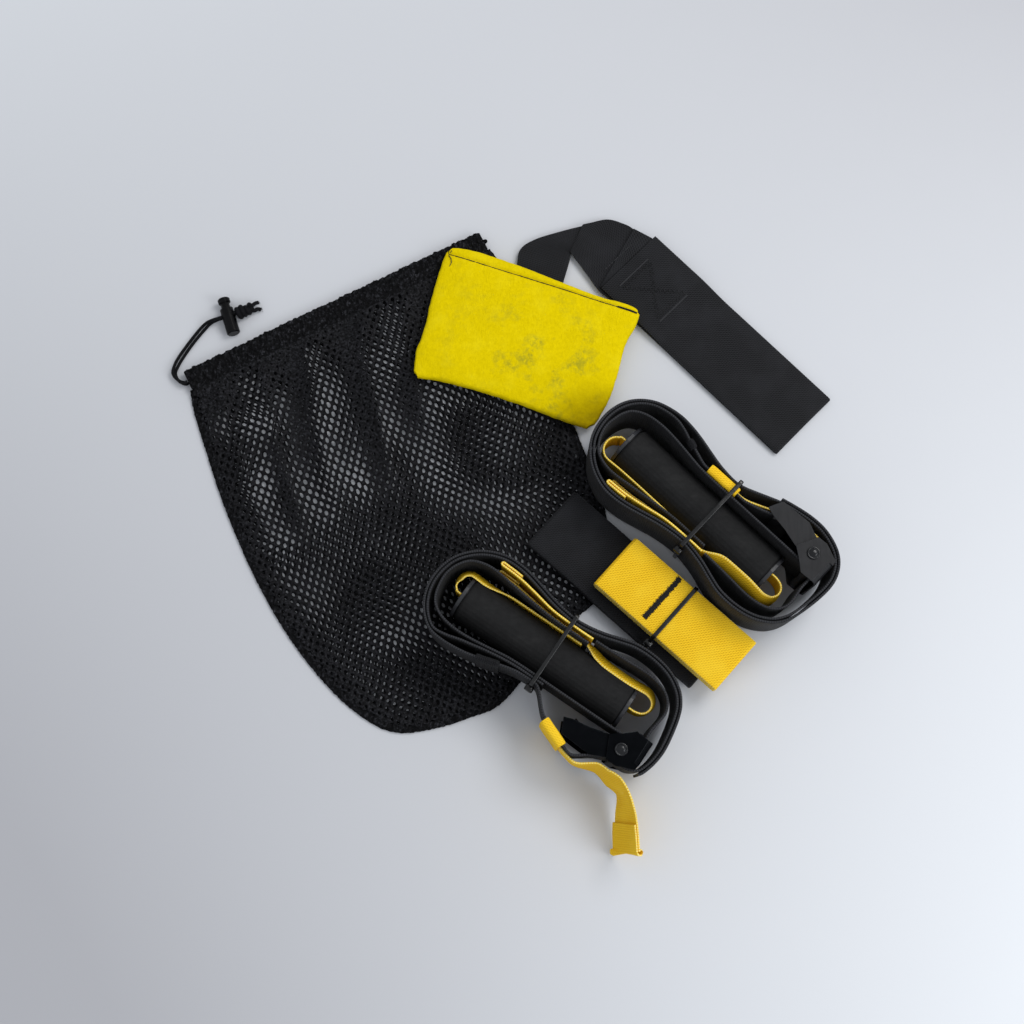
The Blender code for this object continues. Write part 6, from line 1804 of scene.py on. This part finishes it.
def hem_piece(name, base, seed, looks, node):
    """A band of gathered mesh with a scalloped edge, puffed by the cord inside."""
    low, high = HEM_END_SETBACK, BAG_WIDTH - HEM_END_SETBACK
    vertices, stands, walked = [], [], []
    for i in range(HEM_STEPS + 1):
        x = low + (high - low) * i / HEM_STEPS
        walked.append(x - low)
        end = min(x - low, high - x)
        pinch = math.sqrt(1 - (1 - min(end / HEM_PINCH_LENGTH, 1)) ** 2 * HEM_PINCH)
        wander = ripple(x, seed, 0.011, 1.0, 0)
        for k in range(HEM_SIDES):
            angle = 2 * math.pi * k / HEM_SIDES
            across, rise = math.cos(angle), math.sin(angle)
            gather = math.sin(2 * math.pi * x / GATHER_PITCH + 3.4 * wander + 1.3 * across)
            yarn = [gather] + lumps(HEM_LUMPS, x, across, rise, seed)
            scallop = 1 + weighted(yarn, *HEM_RUFFLE) * (1.0 if across > 0.2 else 0.5)
            reach = HEM_WIDTH / 2 * scallop * (0.80 + 0.20 * pinch)
            height = weighted(yarn, *HEM_HEIGHT)
            lift = math.copysign(abs(rise) ** HEM_SQUARENESS, rise) * HEM_THICKNESS / 2 * pinch * height
            stands.append(min(max(weighted(yarn, *HEM_STAND), 0), 1))
            middle = -HEM_WIDTH / 2 + HEM_WANDER * wander
            vertices.append(Vector((x, middle + across * reach, base + HEM_THICKNESS / 2 + lift)))
    return yarn_band(name, node, vertices, stands, walked, HEM_SIDES, looks)


def seam_piece(looks):
    """The rolled and overlocked seam round three sides."""
    outline = [point + UP * SEAM_THICKNESS / 2 for point in inset_outline(bag_edge(), SEAM_WIDTH / 2)]
    path = refined(outline, [UP] * len(outline), SEAM_SPACING)[0]
    walked = distances(path)
    vertices, stands = [], []
    for i, point in enumerate(path):
        ahead = tangent_at(path, i)
        out = Vector((ahead.y, -ahead.x, 0)).normalized()
        loop = 0.5 + 0.5 * math.cos(2 * math.pi * walked[i] / OVERLOCK_PITCH)
        for k in range(SEAM_SIDES):
            angle = 2 * math.pi * k / SEAM_SIDES
            across, rise = math.cos(angle), math.sin(angle)
            yarn = [loop] + lumps(SEAM_LUMPS, walked[i], across, rise)
            reach = SEAM_WIDTH / 2 * weighted(yarn, *SEAM_REACH)
            thick = SEAM_THICKNESS / 2 * weighted(yarn, *SEAM_HEIGHT)
            stands.append(min(max(weighted(yarn, *SEAM_STAND), 0), 1))
            vertices.append(point + out * across * reach + UP * rise * thick)
    return yarn_band("bag_edge_seam", "bag_seam", vertices, stands, walked, SEAM_SIDES, looks)


def add_bag(looks):
    """The bag: its seam, both hems, and both layers of net as sheets."""
    seam = seam_piece(looks)
    back_hem = hem_piece("hem_back", 0, 4.4, looks, "bag_hem_back")
    front_hem = hem_piece("hem_front", TOP_HEM_BASE, 9.1, looks, "bag_hem_front")
    back, rim = net_layer("net_back", back_surface, NET_TURN, looks, "bag_back_panel")
    front, rim = net_layer("net_front", front_surface, 0.0, looks, "bag_front_panel")
    set_look("drawcord_in_hem", looks["cord"])


def set_look(node, look):
    """A look for a solid of the part that shows as it is."""
    for slot in bpy.data.objects[node].material_slots:
        slot.material = look


def add_lock_spring(looks):
    """The cord lock's spring in spring steel, on its own copy of the part's mesh, carried by the lock."""
    mesh = bpy.data.objects["cord_lock_spring"].data.copy()
    mesh.materials.clear()
    mesh.materials.append(looks["spring"])
    spring = bpy.data.objects.new("lock_spring", mesh)
    bpy.context.collection.objects.link(spring)
    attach(spring, "cord_lock")
    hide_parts("cord_lock_spring")
    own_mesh(spring)


# The door anchor

def along_side(points, share):
    """A spot on one side of the pad, by its share of the side's points."""
    last = len(points) - 1
    place = min(max(share, 0.0), 1.0) * last
    i = min(int(place), last - 1)
    near = [points[min(max(k, 0), last)] for k in range(i - 1, i + 3)]
    x, y = (hermite(b, (c - a) / 2, c, (d - b) / 2, place - i) for a, b, c, d in zip(*near))
    return Vector((x * PAD_LENGTH / 2, y * PAD_WIDTH / 2))


def pad_outline(s, t):
    """A spot of the pad's plan, from its four sides, its corners rounded."""
    u, v = (s + 1) / 2, (t + 1) / 2
    left, right = along_side(PAD_LEFT_SIDE, v), along_side(PAD_RIGHT_SIDE, v)
    foot, head = along_side(PAD_FOOT_SIDE, u), along_side(PAD_HEAD_SIDE, u)
    corners = [along_side(side, end) for side in (PAD_LEFT_SIDE, PAD_RIGHT_SIDE) for end in (0, 1)]
    low = corners[0] * (1 - u) + corners[2] * u
    high = corners[1] * (1 - u) + corners[3] * u
    spot = left * (1 - u) + right * u + foot * (1 - v) + head * v - low * (1 - v) - high * v
    cut = PAD_CORNER_CUT * smooth_share(abs(s), 0.90, 1.0) * smooth_share(abs(t), 0.86, 1.0)
    return spot.x - math.copysign(cut, s), spot.y - math.copysign(cut, t)


def bell(value, width):
    """A soft bump: 1 at zero, and close to nothing two widths away."""
    return math.exp(-((value / width) ** 2))


def pad_spot(s, t):
    """A spot of the pad's cover: its place in plan, its top and its bottom."""
    x, y = pad_outline(s, t)
    fray = ripple(x, y, 0.0045, 0.0045, 1.0, PAD_FRAY) * smooth_share(max(abs(s), abs(t)), 0.93, 1.0)
    x, y = x + fray * math.copysign(1, s), y + fray * math.copysign(1, t)
    from_edge = min((1 - abs(s)) * PAD_LENGTH / 2, (1 - abs(t)) * PAD_WIDTH / 2)
    roll = math.sqrt(max(1 - (1 - min(from_edge / PAD_EDGE_ROUND, 1)) ** 2, 0))
    crown = math.sqrt(max((1 - s**4) * (1 - t**4), 0))
    from_seam = y - PAD_SEAM_Y
    wrinkle = sum(ripple(x, y, *wave) for wave in PAD_WRINKLES)
    wrinkle += ripple(x, y, *PAD_SEAM_PUCKER) * bell(from_seam, PAD_PUCKER_WIDTH)
    seam = -PAD_SEAM_DEPTH * bell(from_seam, PAD_SEAM_HALF_WIDTH) * smooth_share(from_edge, 0.0, 0.004)
    lip = PAD_LIP_RISE * bell(from_seam - PAD_LIP_FROM_SEAM, PAD_LIP_WIDTH)
    top = PAD_BASE + PAD_RIM / 2 + roll * PAD_RIM / 2 + PAD_CROWN * crown
    top += (wrinkle * crown + seam + lip * crown) * roll
    dent = ripple(x, y, 0.02, 0.02, 15.0, PAD_DENT)
    return Vector((x, y, top)), Vector((x, y, PAD_BASE + PAD_RIM / 2 * (1 - roll) + abs(dent) * roll))


def add_pad(looks):
    """The felt cover: crowned over its stiff core, rounded at its edges, drawn in along its seam."""
    columns, rows = PAD_COLUMNS, PAD_ROWS
    matrix = frame_at(PAD_PLACE, PAD_HEADING)
    tops, bottoms = [], []
    for row in range(rows + 1):
        t = math.sin(math.pi / 2 * (2 * row / rows - 1))
        for column in range(columns + 1):
            top, bottom = pad_spot(math.sin(math.pi / 2 * (2 * column / columns - 1)), t)
            tops.append(top)
            bottoms.append(bottom)
    wide = columns + 1
    count = wide * (rows + 1)
    faces = []
    for row in range(rows):
        for a in range(row * wide, row * wide + columns):
            faces.append((a, a + 1, a + wide + 1, a + wide))
            faces.append((count + a + wide, count + a + wide + 1, count + a + 1, count + a))
    rim = list(range(wide)) + [row * wide + columns for row in range(1, rows + 1)]
    rim += [rows * wide + column for column in range(columns - 1, -1, -1)]
    rim += [row * wide for row in range(rows - 1, 0, -1)]
    faces += [(a, b, count + b, count + a) for a, b in zip(rim, rim[1:] + rim[:1])]
    pad = add_mesh("felt_pad", placed_by(matrix, tops + bottoms), faces, looks["felt"], "door_anchor",
                   sharp=180)
    pad.modifiers.new("merge_rim", "WELD").merge_threshold = 0.00001
    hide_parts("door_pad_cover")
    set_look("door_pad_core", looks["core"])
    add_pad_stitches(tops, matrix, looks)


def add_pad_stitches(tops, matrix, looks):
    """The row of stitches along the pad's seam, the bar tack at its right end and two loose threads."""

    def on_pad(x, y, lift=0.0):
        nearest = min(tops, key=lambda top: (top.x - x) ** 2 + (top.y - y) ** 2)
        return Vector((x, y, nearest.z)) + UP * lift

    low, high = PAD_SEAM_ENDS
    line = [on_pad(low + (high - low) * k / 24, PAD_SEAM_Y, 0.00012) for k in range(25)]
    runs = stitch_runs(line, length=0.0034, gap=0.0002, rise=0.00008)
    start, length = PAD_TACK
    bar = [on_pad(start + length * k / 4, PAD_SEAM_Y - 0.0002, 0.00035) for k in range(5)]
    runs += [[point + Vector((0, shift, 0)) for point in bar] for shift in (-0.0007, 0, 0.0007)]
    for k in range(PAD_TACK_TURNS):
        spot = on_pad(start + length * k / (PAD_TACK_TURNS - 1), PAD_SEAM_Y)
        runs.append([spot + Vector(step) for step in PAD_TACK_TURN])
    for points, lift in PAD_LOOSE_THREADS:
        runs.append([on_pad(x, y, lift) for x, y in points])
    add_thread("pad_stitches", runs, 0.00027, "black_thread", "door_anchor", matrix, looks)


def add_thread(name, runs, radius, look, body, matrix, looks):
    """Stitches on the webbing or felt of an item, given in the item's own frame."""
    made = thread(name, [placed_by(matrix, run) for run in runs], radius, looks[look], body)


def leg_height(share):
    """The narrow strap's middle below its crease, which presses it down."""
    sag = NARROW_SAG * math.sin(math.pi * min(share * 1.15, 1))
    return NARROW_MIDDLE - sag - NARROW_END_DIP * smooth_share(share, 0.75, 1)


def top_height(share):
    """The narrow strap's middle above its crease, where it lies over the leg."""
    over = NARROW_SAG * (1 - smooth_share(share, 0.0, 0.45))
    return NARROW_MIDDLE - NARROW_LOWERED + over - NARROW_CREASE_DIP * bell(share, 0.03)


def add_narrow_strap(looks):
    """The strap's arch: one leg comes out from under the pad and passes under a soft crease."""
    matrix = frame_at(PAD_PLACE, PAD_HEADING)
    ring = webbing_ring(NARROW_STRAP_THICKNESS, 1.0, 14)
    pieces = (("narrow_strap_leg", ARCH_LEG, leg_height), ("narrow_strap_top", ARCH_TOP, top_height))
    for name, pairs, height_at in pieces:
        outer, inner = (
            smooth_path([
                (pair[side][0] * NARROW_STRAP_SPAN - NARROW_STRAP_LEFT,
                 PAD_WIDTH / 2 - NARROW_STRAP_TUCK + pair[side][1] * NARROW_STRAP_RISE, 0) for pair in pairs
            ], 14) for side in (0, 1)
        )
        count = len(outer)
        widths = [(a - b).length for a, b in zip(outer, inner)]
        vertices, edges = [], []
        for i, (a, b) in enumerate(zip(outer, inner)):
            share = i / (count - 1)
            for out, across, edge in ring:
                notch = EDGE_NOTCH if i % 2 and edge else 0
                reach = min(max(0.5 + across * (1 - notch / widths[i]), 0), 1)
                point = a.lerp(b, 1 - reach)
                lift = height_at(share) + NARROW_RIPPLE * math.sin(5 * across + 9 * share)
                vertices.append(Vector((point.x, point.y, lift + out)))
                edges.append(edge)
        along = distances([(a + b) / 2 for a, b in zip(outer, inner)])
        faces, uvs = tube_faces(count, len(ring), along, section_round(ring, sum(widths) / count))
        vertices = placed_by(matrix, vertices)
        piece = add_mesh(name, vertices, faces, looks["plain"], "door_anchor", uvs, edges)
        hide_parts("door_strap_narrow")


def add_wide_strap(looks):
    """The wide strap, folded back under itself at its right end, with the seams of its left end."""
    matrix = frame_at(WIDE_STRAP_PLACE, WIDE_STRAP_HEADING)
    thickness = DOOR_STRAP_THICKNESS
    pitch = thickness + DOOR_STRAP_GAP
    bottom = TOUCH_GAP + thickness / 2
    top = bottom + pitch
    over_narrow = NARROW_BASE + NARROW_STRAP_THICKNESS + TOUCH_GAP + thickness / 2
    half = WIDE_STRAP_LENGTH / 2
    fold = half - pitch / 2 - thickness / 2
    route = [(share * half, over_narrow) for share in (-1, -0.62, -0.45)]
    route += [(share * half, top) for share in (-0.2, 0, 0.6)] + [(fold, top)]
    for k in range(1, FOLD_STEPS):
        angle = math.pi * k / FOLD_STEPS
        route.append((fold + pitch / 2 * math.sin(angle), bottom + pitch / 2 * (1 + math.cos(angle))))
    route += [(fold, bottom)] + [(share * half, bottom) for share in (0.3, -0.4, -0.95)]
    path = placed_by(matrix, [(along, 0, height) for along, height in route])
    across = turned_by(matrix, [Vector((0, 1, 0))])[0]

    def swell(along, side):
        wave = WIDE_RIPPLE * math.sin(9 * along * math.pi) * math.cos(math.pi * side)
        return wave * smooth_share(along, 0.05, 0.2)

    strap = ribbon("wide_strap", path, [across] * len(path), thickness, WIDE_STRAP_WIDTH, looks["black"],
                   "door_anchor", columns=24, swell=swell)
    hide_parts("door_strap_wide")

    surface = over_narrow + thickness / 2
    runs = []
    for x, low, high, lift in WIDE_STRAP_TACKS:
        start, end = (Vector((x, y, surface + lift)) for y in (low, high))
        runs += tacks(zigzag(start, end, Vector((1, 0, 0)), width=0.0011, count=68), rise=0.0002)
    add_thread("strap_stitches", runs, 0.00032, "black_thread_painted_sheen", "door_anchor", matrix, looks)
    runs = []
    for start, end in zip(WIDE_STRAP_BOX, WIDE_STRAP_BOX[1:] + WIDE_STRAP_BOX[:1]):
        a, b = (Vector((*spot, surface + 0.00008)) for spot in (start, end))
        side = UP.cross(b - a).normalized()
        line = zigzag(a, b, side, width=0.0022, count=max(4, round((b - a).length / 0.0015)))
        runs += stitch_runs(line, length=0.0017, gap=0.0003, rise=0.00012)
    add_thread("strap_box_stitches", runs, 0.00028, "black_thread", "door_anchor", matrix, looks)
    add_strap_hem(matrix, looks)


# The suspension anchor

def tacks(line, rise):
    """One stitch between each two points of a zigzag, raised in its middle."""
    return [[start, start.lerp(end, 0.5) + UP * rise, end] for start, end in zip(line, line[1:])]


def add_strap_hem(matrix, looks):
    """The hem of the narrow strap's end, which shows beside the wide strap's left end."""
    base = NARROW_BASE + NARROW_STRAP_THICKNESS + 0.0001
    end = -WIDE_STRAP_LENGTH / 2 - TOUCH_GAP
    inner = [Vector((end, y, 0)) for y in STRAP_HEM_INNER_ENDS]
    route = [[a.lerp(b, share) for a, b in zip(STRAP_HEM_OUTER, inner)] for share in (0, 0.2, 0.5, 0.8, 1)]
    ring = webbing_ring(STRAP_HEM_THICKNESS, 1.0, 12)
    vertices, edges = [], []
    for a, b in route:
        for out, side, edge in ring:
            vertices.append(a.lerp(b, 0.5 - side) + UP * (base + STRAP_HEM_THICKNESS / 2 + out))
            edges.append(edge)
    along = distances([(a + b) / 2 for a, b in route])
    faces, uvs = tube_faces(len(route), len(ring), along, section_round(ring, width=0.045))
    vertices = placed_by(matrix, vertices)
    patch = add_mesh("narrow_strap_hem", vertices, faces, looks["plain"], "door_anchor", uvs, edges)
    x, low, length = STRAP_HEM_STITCHES
    line = [Vector((x, low + length * k / 6, base + STRAP_HEM_THICKNESS + 0.00014)) for k in range(7)]
    runs = stitch_runs(line, length=0.0021, gap=0.0004, rise=0.00010)
    add_thread("hem_stitches", runs, 0.00020, "black_thread_painted_sheen", "door_anchor", matrix, looks)


def add_anchor(looks):
    """The suspension anchor: a black and a yellow stack of folded webbing in one cable tie."""
    matrix = frame_at(ANCHOR_PLACE, ANCHOR_HEADING)
    across = turned_by(matrix, [Vector((0, 1, 0))])[0]
    half = ANCHOR_YELLOW_LENGTH / 2
    black = folded_stack(ANCHOR_BLACK_LAYERS, -ANCHOR_BLACK_UPPER_END, ANCHOR_BLACK_LOWER_END, ANCHOR_BASE,
                         ANCHOR_BLACK_THICKNESS, ANCHOR_LAYER_GAP)
    yellow = folded_stack(ANCHOR_YELLOW_LAYERS, -half, half, ANCHOR_YELLOW_BASE, ANCHOR_YELLOW_THICKNESS,
                          ANCHOR_LAYER_GAP)
    stacks = (
        ("black", black, -ANCHOR_BLACK_OFFSET, ANCHOR_BLACK_THICKNESS, ANCHOR_BLACK_WIDTH),
        ("yellow", yellow, 0, ANCHOR_YELLOW_THICKNESS, ANCHOR_YELLOW_WIDTH),
    )
    for colour, stack, side, thickness, width in stacks:
        path = placed_by(matrix, [(along, side, height) for along, height in stack])
        piece = ribbon(f"anchor_{colour}", path, [across] * len(path), thickness, width, looks[colour],
                       "suspension_anchor", columns=18)
        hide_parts(f"anchor_{colour}_webbing")

    runs = []
    chance = random.Random(21)
    for shift, flip, width in ((-0.0002, 1, 0.0035), (0.0002, -1, 0.0032), (0.0, 1, 0.0024)):
        start, end = (Vector((x + shift, y, ANCHOR_TOP + 0.00012)) for x, y in ANCHOR_TACK)
        line = [
            point + Vector((chance.uniform(-0.00045, 0.00045), chance.uniform(-0.0002, 0.0002), 0))
            for point in zigzag(start, end, Vector((flip, 0, 0)), width, count=74)
        ]
        runs += tacks(line, rise=0.00026)
    add_thread("anchor_bar_tack", runs, 0.00029, "black_thread", "suspension_anchor", matrix, looks)

    clear = TOUCH_GAP + TIE_THICKNESS / 2
    low = -ANCHOR_BLACK_OFFSET - ANCHOR_BLACK_WIDTH / 2 - clear
    high = ANCHOR_YELLOW_WIDTH / 2 + clear
    bottom = ANCHOR_BASE - clear
    top = ANCHOR_TOP + clear
    corner = 2 * TIE_CORNER
    cut = 0.3 * corner
    ring = (
        (high, bottom + corner), (high, top - corner), (high - cut, top - cut), (high - corner, top),
        (0, top), (corner - high, top), (-high, top - 2 * cut), (low + cut, ANCHOR_YELLOW_BASE + corner),
        (low, ANCHOR_YELLOW_BASE - corner), (low, bottom + corner), (low + cut, bottom + cut),
        (low + corner, bottom), (0, bottom), (high - corner, bottom), (high - cut, bottom + cut),
    )
    path = placed_by(matrix, [(0, side, height) for side, height in ring])
    side, height = ANCHOR_TIE_HEAD
    head = matrix @ Vector((0, -side, height))
    tie_piece("anchor_tie", path, head, matrix, None, looks, "suspension_anchor", "anchor_cable_tie")


def tie_piece(name, path, head, matrix, tail, looks, body, node):
    """A cable tie: a band with soft edges, its head and its cut tail."""

    def finish(piece):
        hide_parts(node)

    wide = turned_by(matrix, [Vector((1, 0, 0))])[0]
    finish(ribbon(name, path, [wide] * len(path), TIE_THICKNESS, TIE_WIDTH, looks["tie"], body, columns=4,
                  notch=0, closed=True, spacing=TIE_SPACING))
    turn = matrix.to_3x3()
    vertices = []
    for rise, grow in TIE_HEAD_PROFILE:
        ring = soft_box_ring(TIE_HEAD_WIDTH * grow, TIE_HEAD_DEPTH * grow, TIE_HEAD_BEND * grow)
        vertices += [head + turn @ Vector((x, y, rise * TIE_HEAD_LENGTH)) for x, y in ring]
    rows = len(TIE_HEAD_PROFILE)
    count = len(vertices) // rows
    along, around = ([0.001 * k for k in range(steps)] for steps in (rows, count + 1))
    faces, uvs = tube_faces(rows, count, along, around)
    finish(add_mesh(f"{name}_head", vertices, faces, looks["tie"], body, uvs))
    if tail:
        finish(ribbon(f"{name}_tail", tail, [wide] * len(tail), TIE_THICKNESS, TIE_WIDTH, looks["tie"],
                      body, columns=4, notch=TIE_TAIL_NOTCH, spacing=TIE_TAIL_SPACING))


# The two handles

def bundle_matrix(side):
    if side == "right":
        return frame_at((*RIGHT_BUNDLE_PLACE, RIGHT_BUNDLE_HEIGHT), RIGHT_BUNDLE_HEADING)
    return frame_at((*LEFT_BUNDLE_PLACE, LEFT_BUNDLE_HEIGHT), LEFT_BUNDLE_HEADING)


def handle_lean(path, side, hand):
    """The handle webbing's upper half leans over the grip from the tie to its turn at the far end."""
    walked = distances(path)
    total = walked[-1]
    tip = max(range(len(path)), key=lambda i: path[i].x)
    turn = walked[tip] / total
    tie = turn + (path[tip].x - along_grip(TIE_PLACE_SHARE[side])) / total
    near = walked[min(range(len(path)), key=lambda i: path[i].x)] / total

    def swell(along, across):
        if across <= 0:
            return 0.0
        start, full, end = LEAN_WINDOW
        if along < turn + start:
            if side == "right":
                return 0.0
            before, whole, after = (near + step for step in NEAR_LEAN_WINDOW)
            window = smooth_share(along, before, whole) * (1 - smooth_share(along, near, after))
            return -hand * LEAN_AT_NEAR_TURN * (2 * across) ** 1.5 * window
        over = FOAM_RADIUS - math.sqrt(FOAM_RADIUS**2 - (across * HANDLE_WIDTH) ** 2)
        window = smooth_share(along, turn + start, turn + full) * (1 - smooth_share(along, tie + end, tie))
        return -hand * (over * LEAN_COVER + LEAN_EXTRA * (2 * across) ** 2) * window

    return swell


def stood_up(path, wide):
    """The tail's last stretch turned more on its edge, and lifted so that it still clears the table."""
    walked = distances(path)
    start, end = (walked[-1] - distance for distance in TAIL_TURN_FROM_END)
    moved, turned = [], []
    for i, (point, direction) in enumerate(zip(path, wide)):
        share = smooth_share(walked[i], start, end)
        ahead = tangent_at(path, i)
        turned.append(direction.slerp((UP - ahead * ahead.z).normalized(), TAIL_TURN_SHARE * share))
        moved.append(point + UP * TAIL_LIFT * share)
    return moved, turned


def add_rivet(side, looks, body):
    """The domed head of the buckle's rivet, in its ring."""
    low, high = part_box(f"buckle_axle_{side}")
    centre = (Vector(low) + Vector(high)) / 2
    count = RIVET_SIDES
    vertices = []
    for reach, height in RIVET_PROFILE:
        for k in range(count):
            angle = 2 * math.pi * k / count
            x, y = centre.x + reach * math.cos(angle), centre.y + reach * math.sin(angle)
            vertices.append((x, y, high[2] + height))
    rows = len(RIVET_PROFILE)
    along, around = ([0.0005 * k for k in range(steps)] for steps in (rows, count + 1))
    faces, uvs = tube_faces(rows, count, along, around)
    dome = add_mesh(f"rivet_head_{side}", vertices, faces, looks["rivet"], body, uvs)


def add_bundle(side, hand, looks):
    """One handle wound in its strap. hand is 1, or -1 for the one that lies mirrored."""
    matrix = bundle_matrix(side)
    body = f"bundle_{side}"

    def laid(path):
        return placed_by(matrix, mirrored(path, hand))

    def strap(name, node, path, wide, thickness, width, colour, columns=6, swell=None):
        wide = turned_by(matrix, mirrored(wide, hand))
        piece = ribbon(f"{name}_{side}", laid(path), wide, thickness, width, looks[colour], body, columns,
                       swell=swell)
        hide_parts(f"{node}_{side}")

    def keeper(name, node, path, inner, look, rib=0.0):
        piece = webbing_sleeve(f"{name}_{side}", laid(path), (inner + 2 * KEEPER_WALL, SLEEVE_OUTER_WIDTH),
                               (inner, SLEEVE_INNER_WIDTH), looks[look], body, rib)
        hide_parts(f"{node}_{side}")

    path = handle_route()
    path, wide = with_hem(path, [UP] * len(path), 1, HEM_FOLD_LENGTH, HEM_FOLD_PITCH)
    strap("handle_loop", "handle_webbing", path, wide, YELLOW_THICKNESS, HANDLE_WIDTH, "yellow", 14,
          handle_lean(path, side, hand))
    path = smooth_path(placed(YOKE_SHARES, YOKE, -1), 3)
    path, wide = with_hem(path, [UP] * len(path), 1, HEM_FOLD_LENGTH, HEM_FOLD_PITCH)
    strap("yoke", "yoke_webbing", path, wide, YELLOW_THICKNESS, MAIN_WIDTH, "yellow")
    for name, node, path in (("cradle", "foot_cradle", cradle_route()),
                             ("long_strap", "main_strap", main_strap_route(side))):
        strap(name, node, path, [UP] * len(path), MAIN_THICKNESS, MAIN_WIDTH, "black")
    path, wide = tab_route(side)
    if side == "left":
        path, wide = stood_up(path, wide)
    strap("pull_tab", "adjuster_tab", path, wide, YELLOW_THICKNESS, ADJUSTER_WIDTH, "yellow", 12)

    path = run_between(side, *keeper_span(side), ADJUSTER_SHIFT / 2 - MAIN_THICKNESS / 20)
    keeper("yellow_keeper", "strap_keeper", path, KEEPER_INNER, "yellow")
    path = run_between(side, *RIBBED_KEEPER_SPAN[side], 0)
    room = MAIN_THICKNESS + 2 * SLEEVE_GAP
    keeper("rib_keeper", "ribbed_keeper", path, room, "plain", RIB_DEPTH)
    add_bundle_tie(side, hand, matrix, looks, body)

    # On the left bundle the buckle's steel carries painted shade
    shown_solids = (
        ("grip_foam", "foam"), ("grip_tube", "ring"), ("grip_ring_upper", "ring"),
        ("grip_ring_lower", "ring"), ("buckle_frame", f"steel_{side}"), ("buckle_cam", f"steel_{side}"),
        ("buckle_axle", "rivet"), ("buckle_spring", "spring"),
    )
    for node, look in shown_solids:
        set_look(f"{node}_{side}", looks[look])
    add_rivet(side, looks, body)


def add_bundle_tie(side, hand, matrix, looks, body):
    """The cable tie round a whole bundle, with its head and tail on the side away from the buckle."""
    clear = TOUCH_GAP + TIE_SLACK + TIE_THICKNESS / 2
    low_side = INNER_PASS + PITCH + MAIN_THICKNESS / 2 + clear
    over_strap = MAIN_WIDTH / 2 + clear
    if side == "right":
        high_side = OUTER_PASS + MAIN_THICKNESS / 2 + clear
        over_keeper = SLEEVE_OUTER_WIDTH / 2 + clear
    else:
        high_side = RUN_BASE[side] + MAIN_THICKNESS / 2 + clear
        over_keeper = over_strap
    ring = tie_ring(-low_side, high_side, -over_keeper, over_keeper, over_strap, -over_strap)
    ring = [(hand * across, height) for across, height in ring]
    place = along_grip(TIE_PLACE_SHARE[side])
    path = placed_by(matrix, [(place, across, height) for across, height in ring])
    edge = min(across for across, height in ring)
    head = matrix @ Vector((place, edge - (TIE_HEAD_DEPTH - TIE_THICKNESS / 3) / 2, TIE_HEAD_PLACE))
    tail = placed_by(matrix, [
        (place, edge - TIE_TAIL_OFFSET, TIE_HEAD_PLACE - TIE_TAIL_LENGTH * k / 4) for k in range(5)
    ])
    tie_piece(f"tie_{side}", path, head, matrix, tail, looks, body, f"cable_tie_{side}")


def main():
    """The whole scene."""
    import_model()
    add_camera()
    looks = make_looks()
    add_drawcord(looks)
    add_surroundings()
    add_bag(looks)
    add_pad(looks)
    add_narrow_strap(looks)
    add_wide_strap(looks)
    add_anchor(looks)
    add_bundle("right", 1, looks)
    add_bundle("left", -1, looks)
    for node in ("cord_lock_body", "cord_lock_plunger"):
        set_look(node, looks["lock"])
    add_lock_spring(looks)


main()
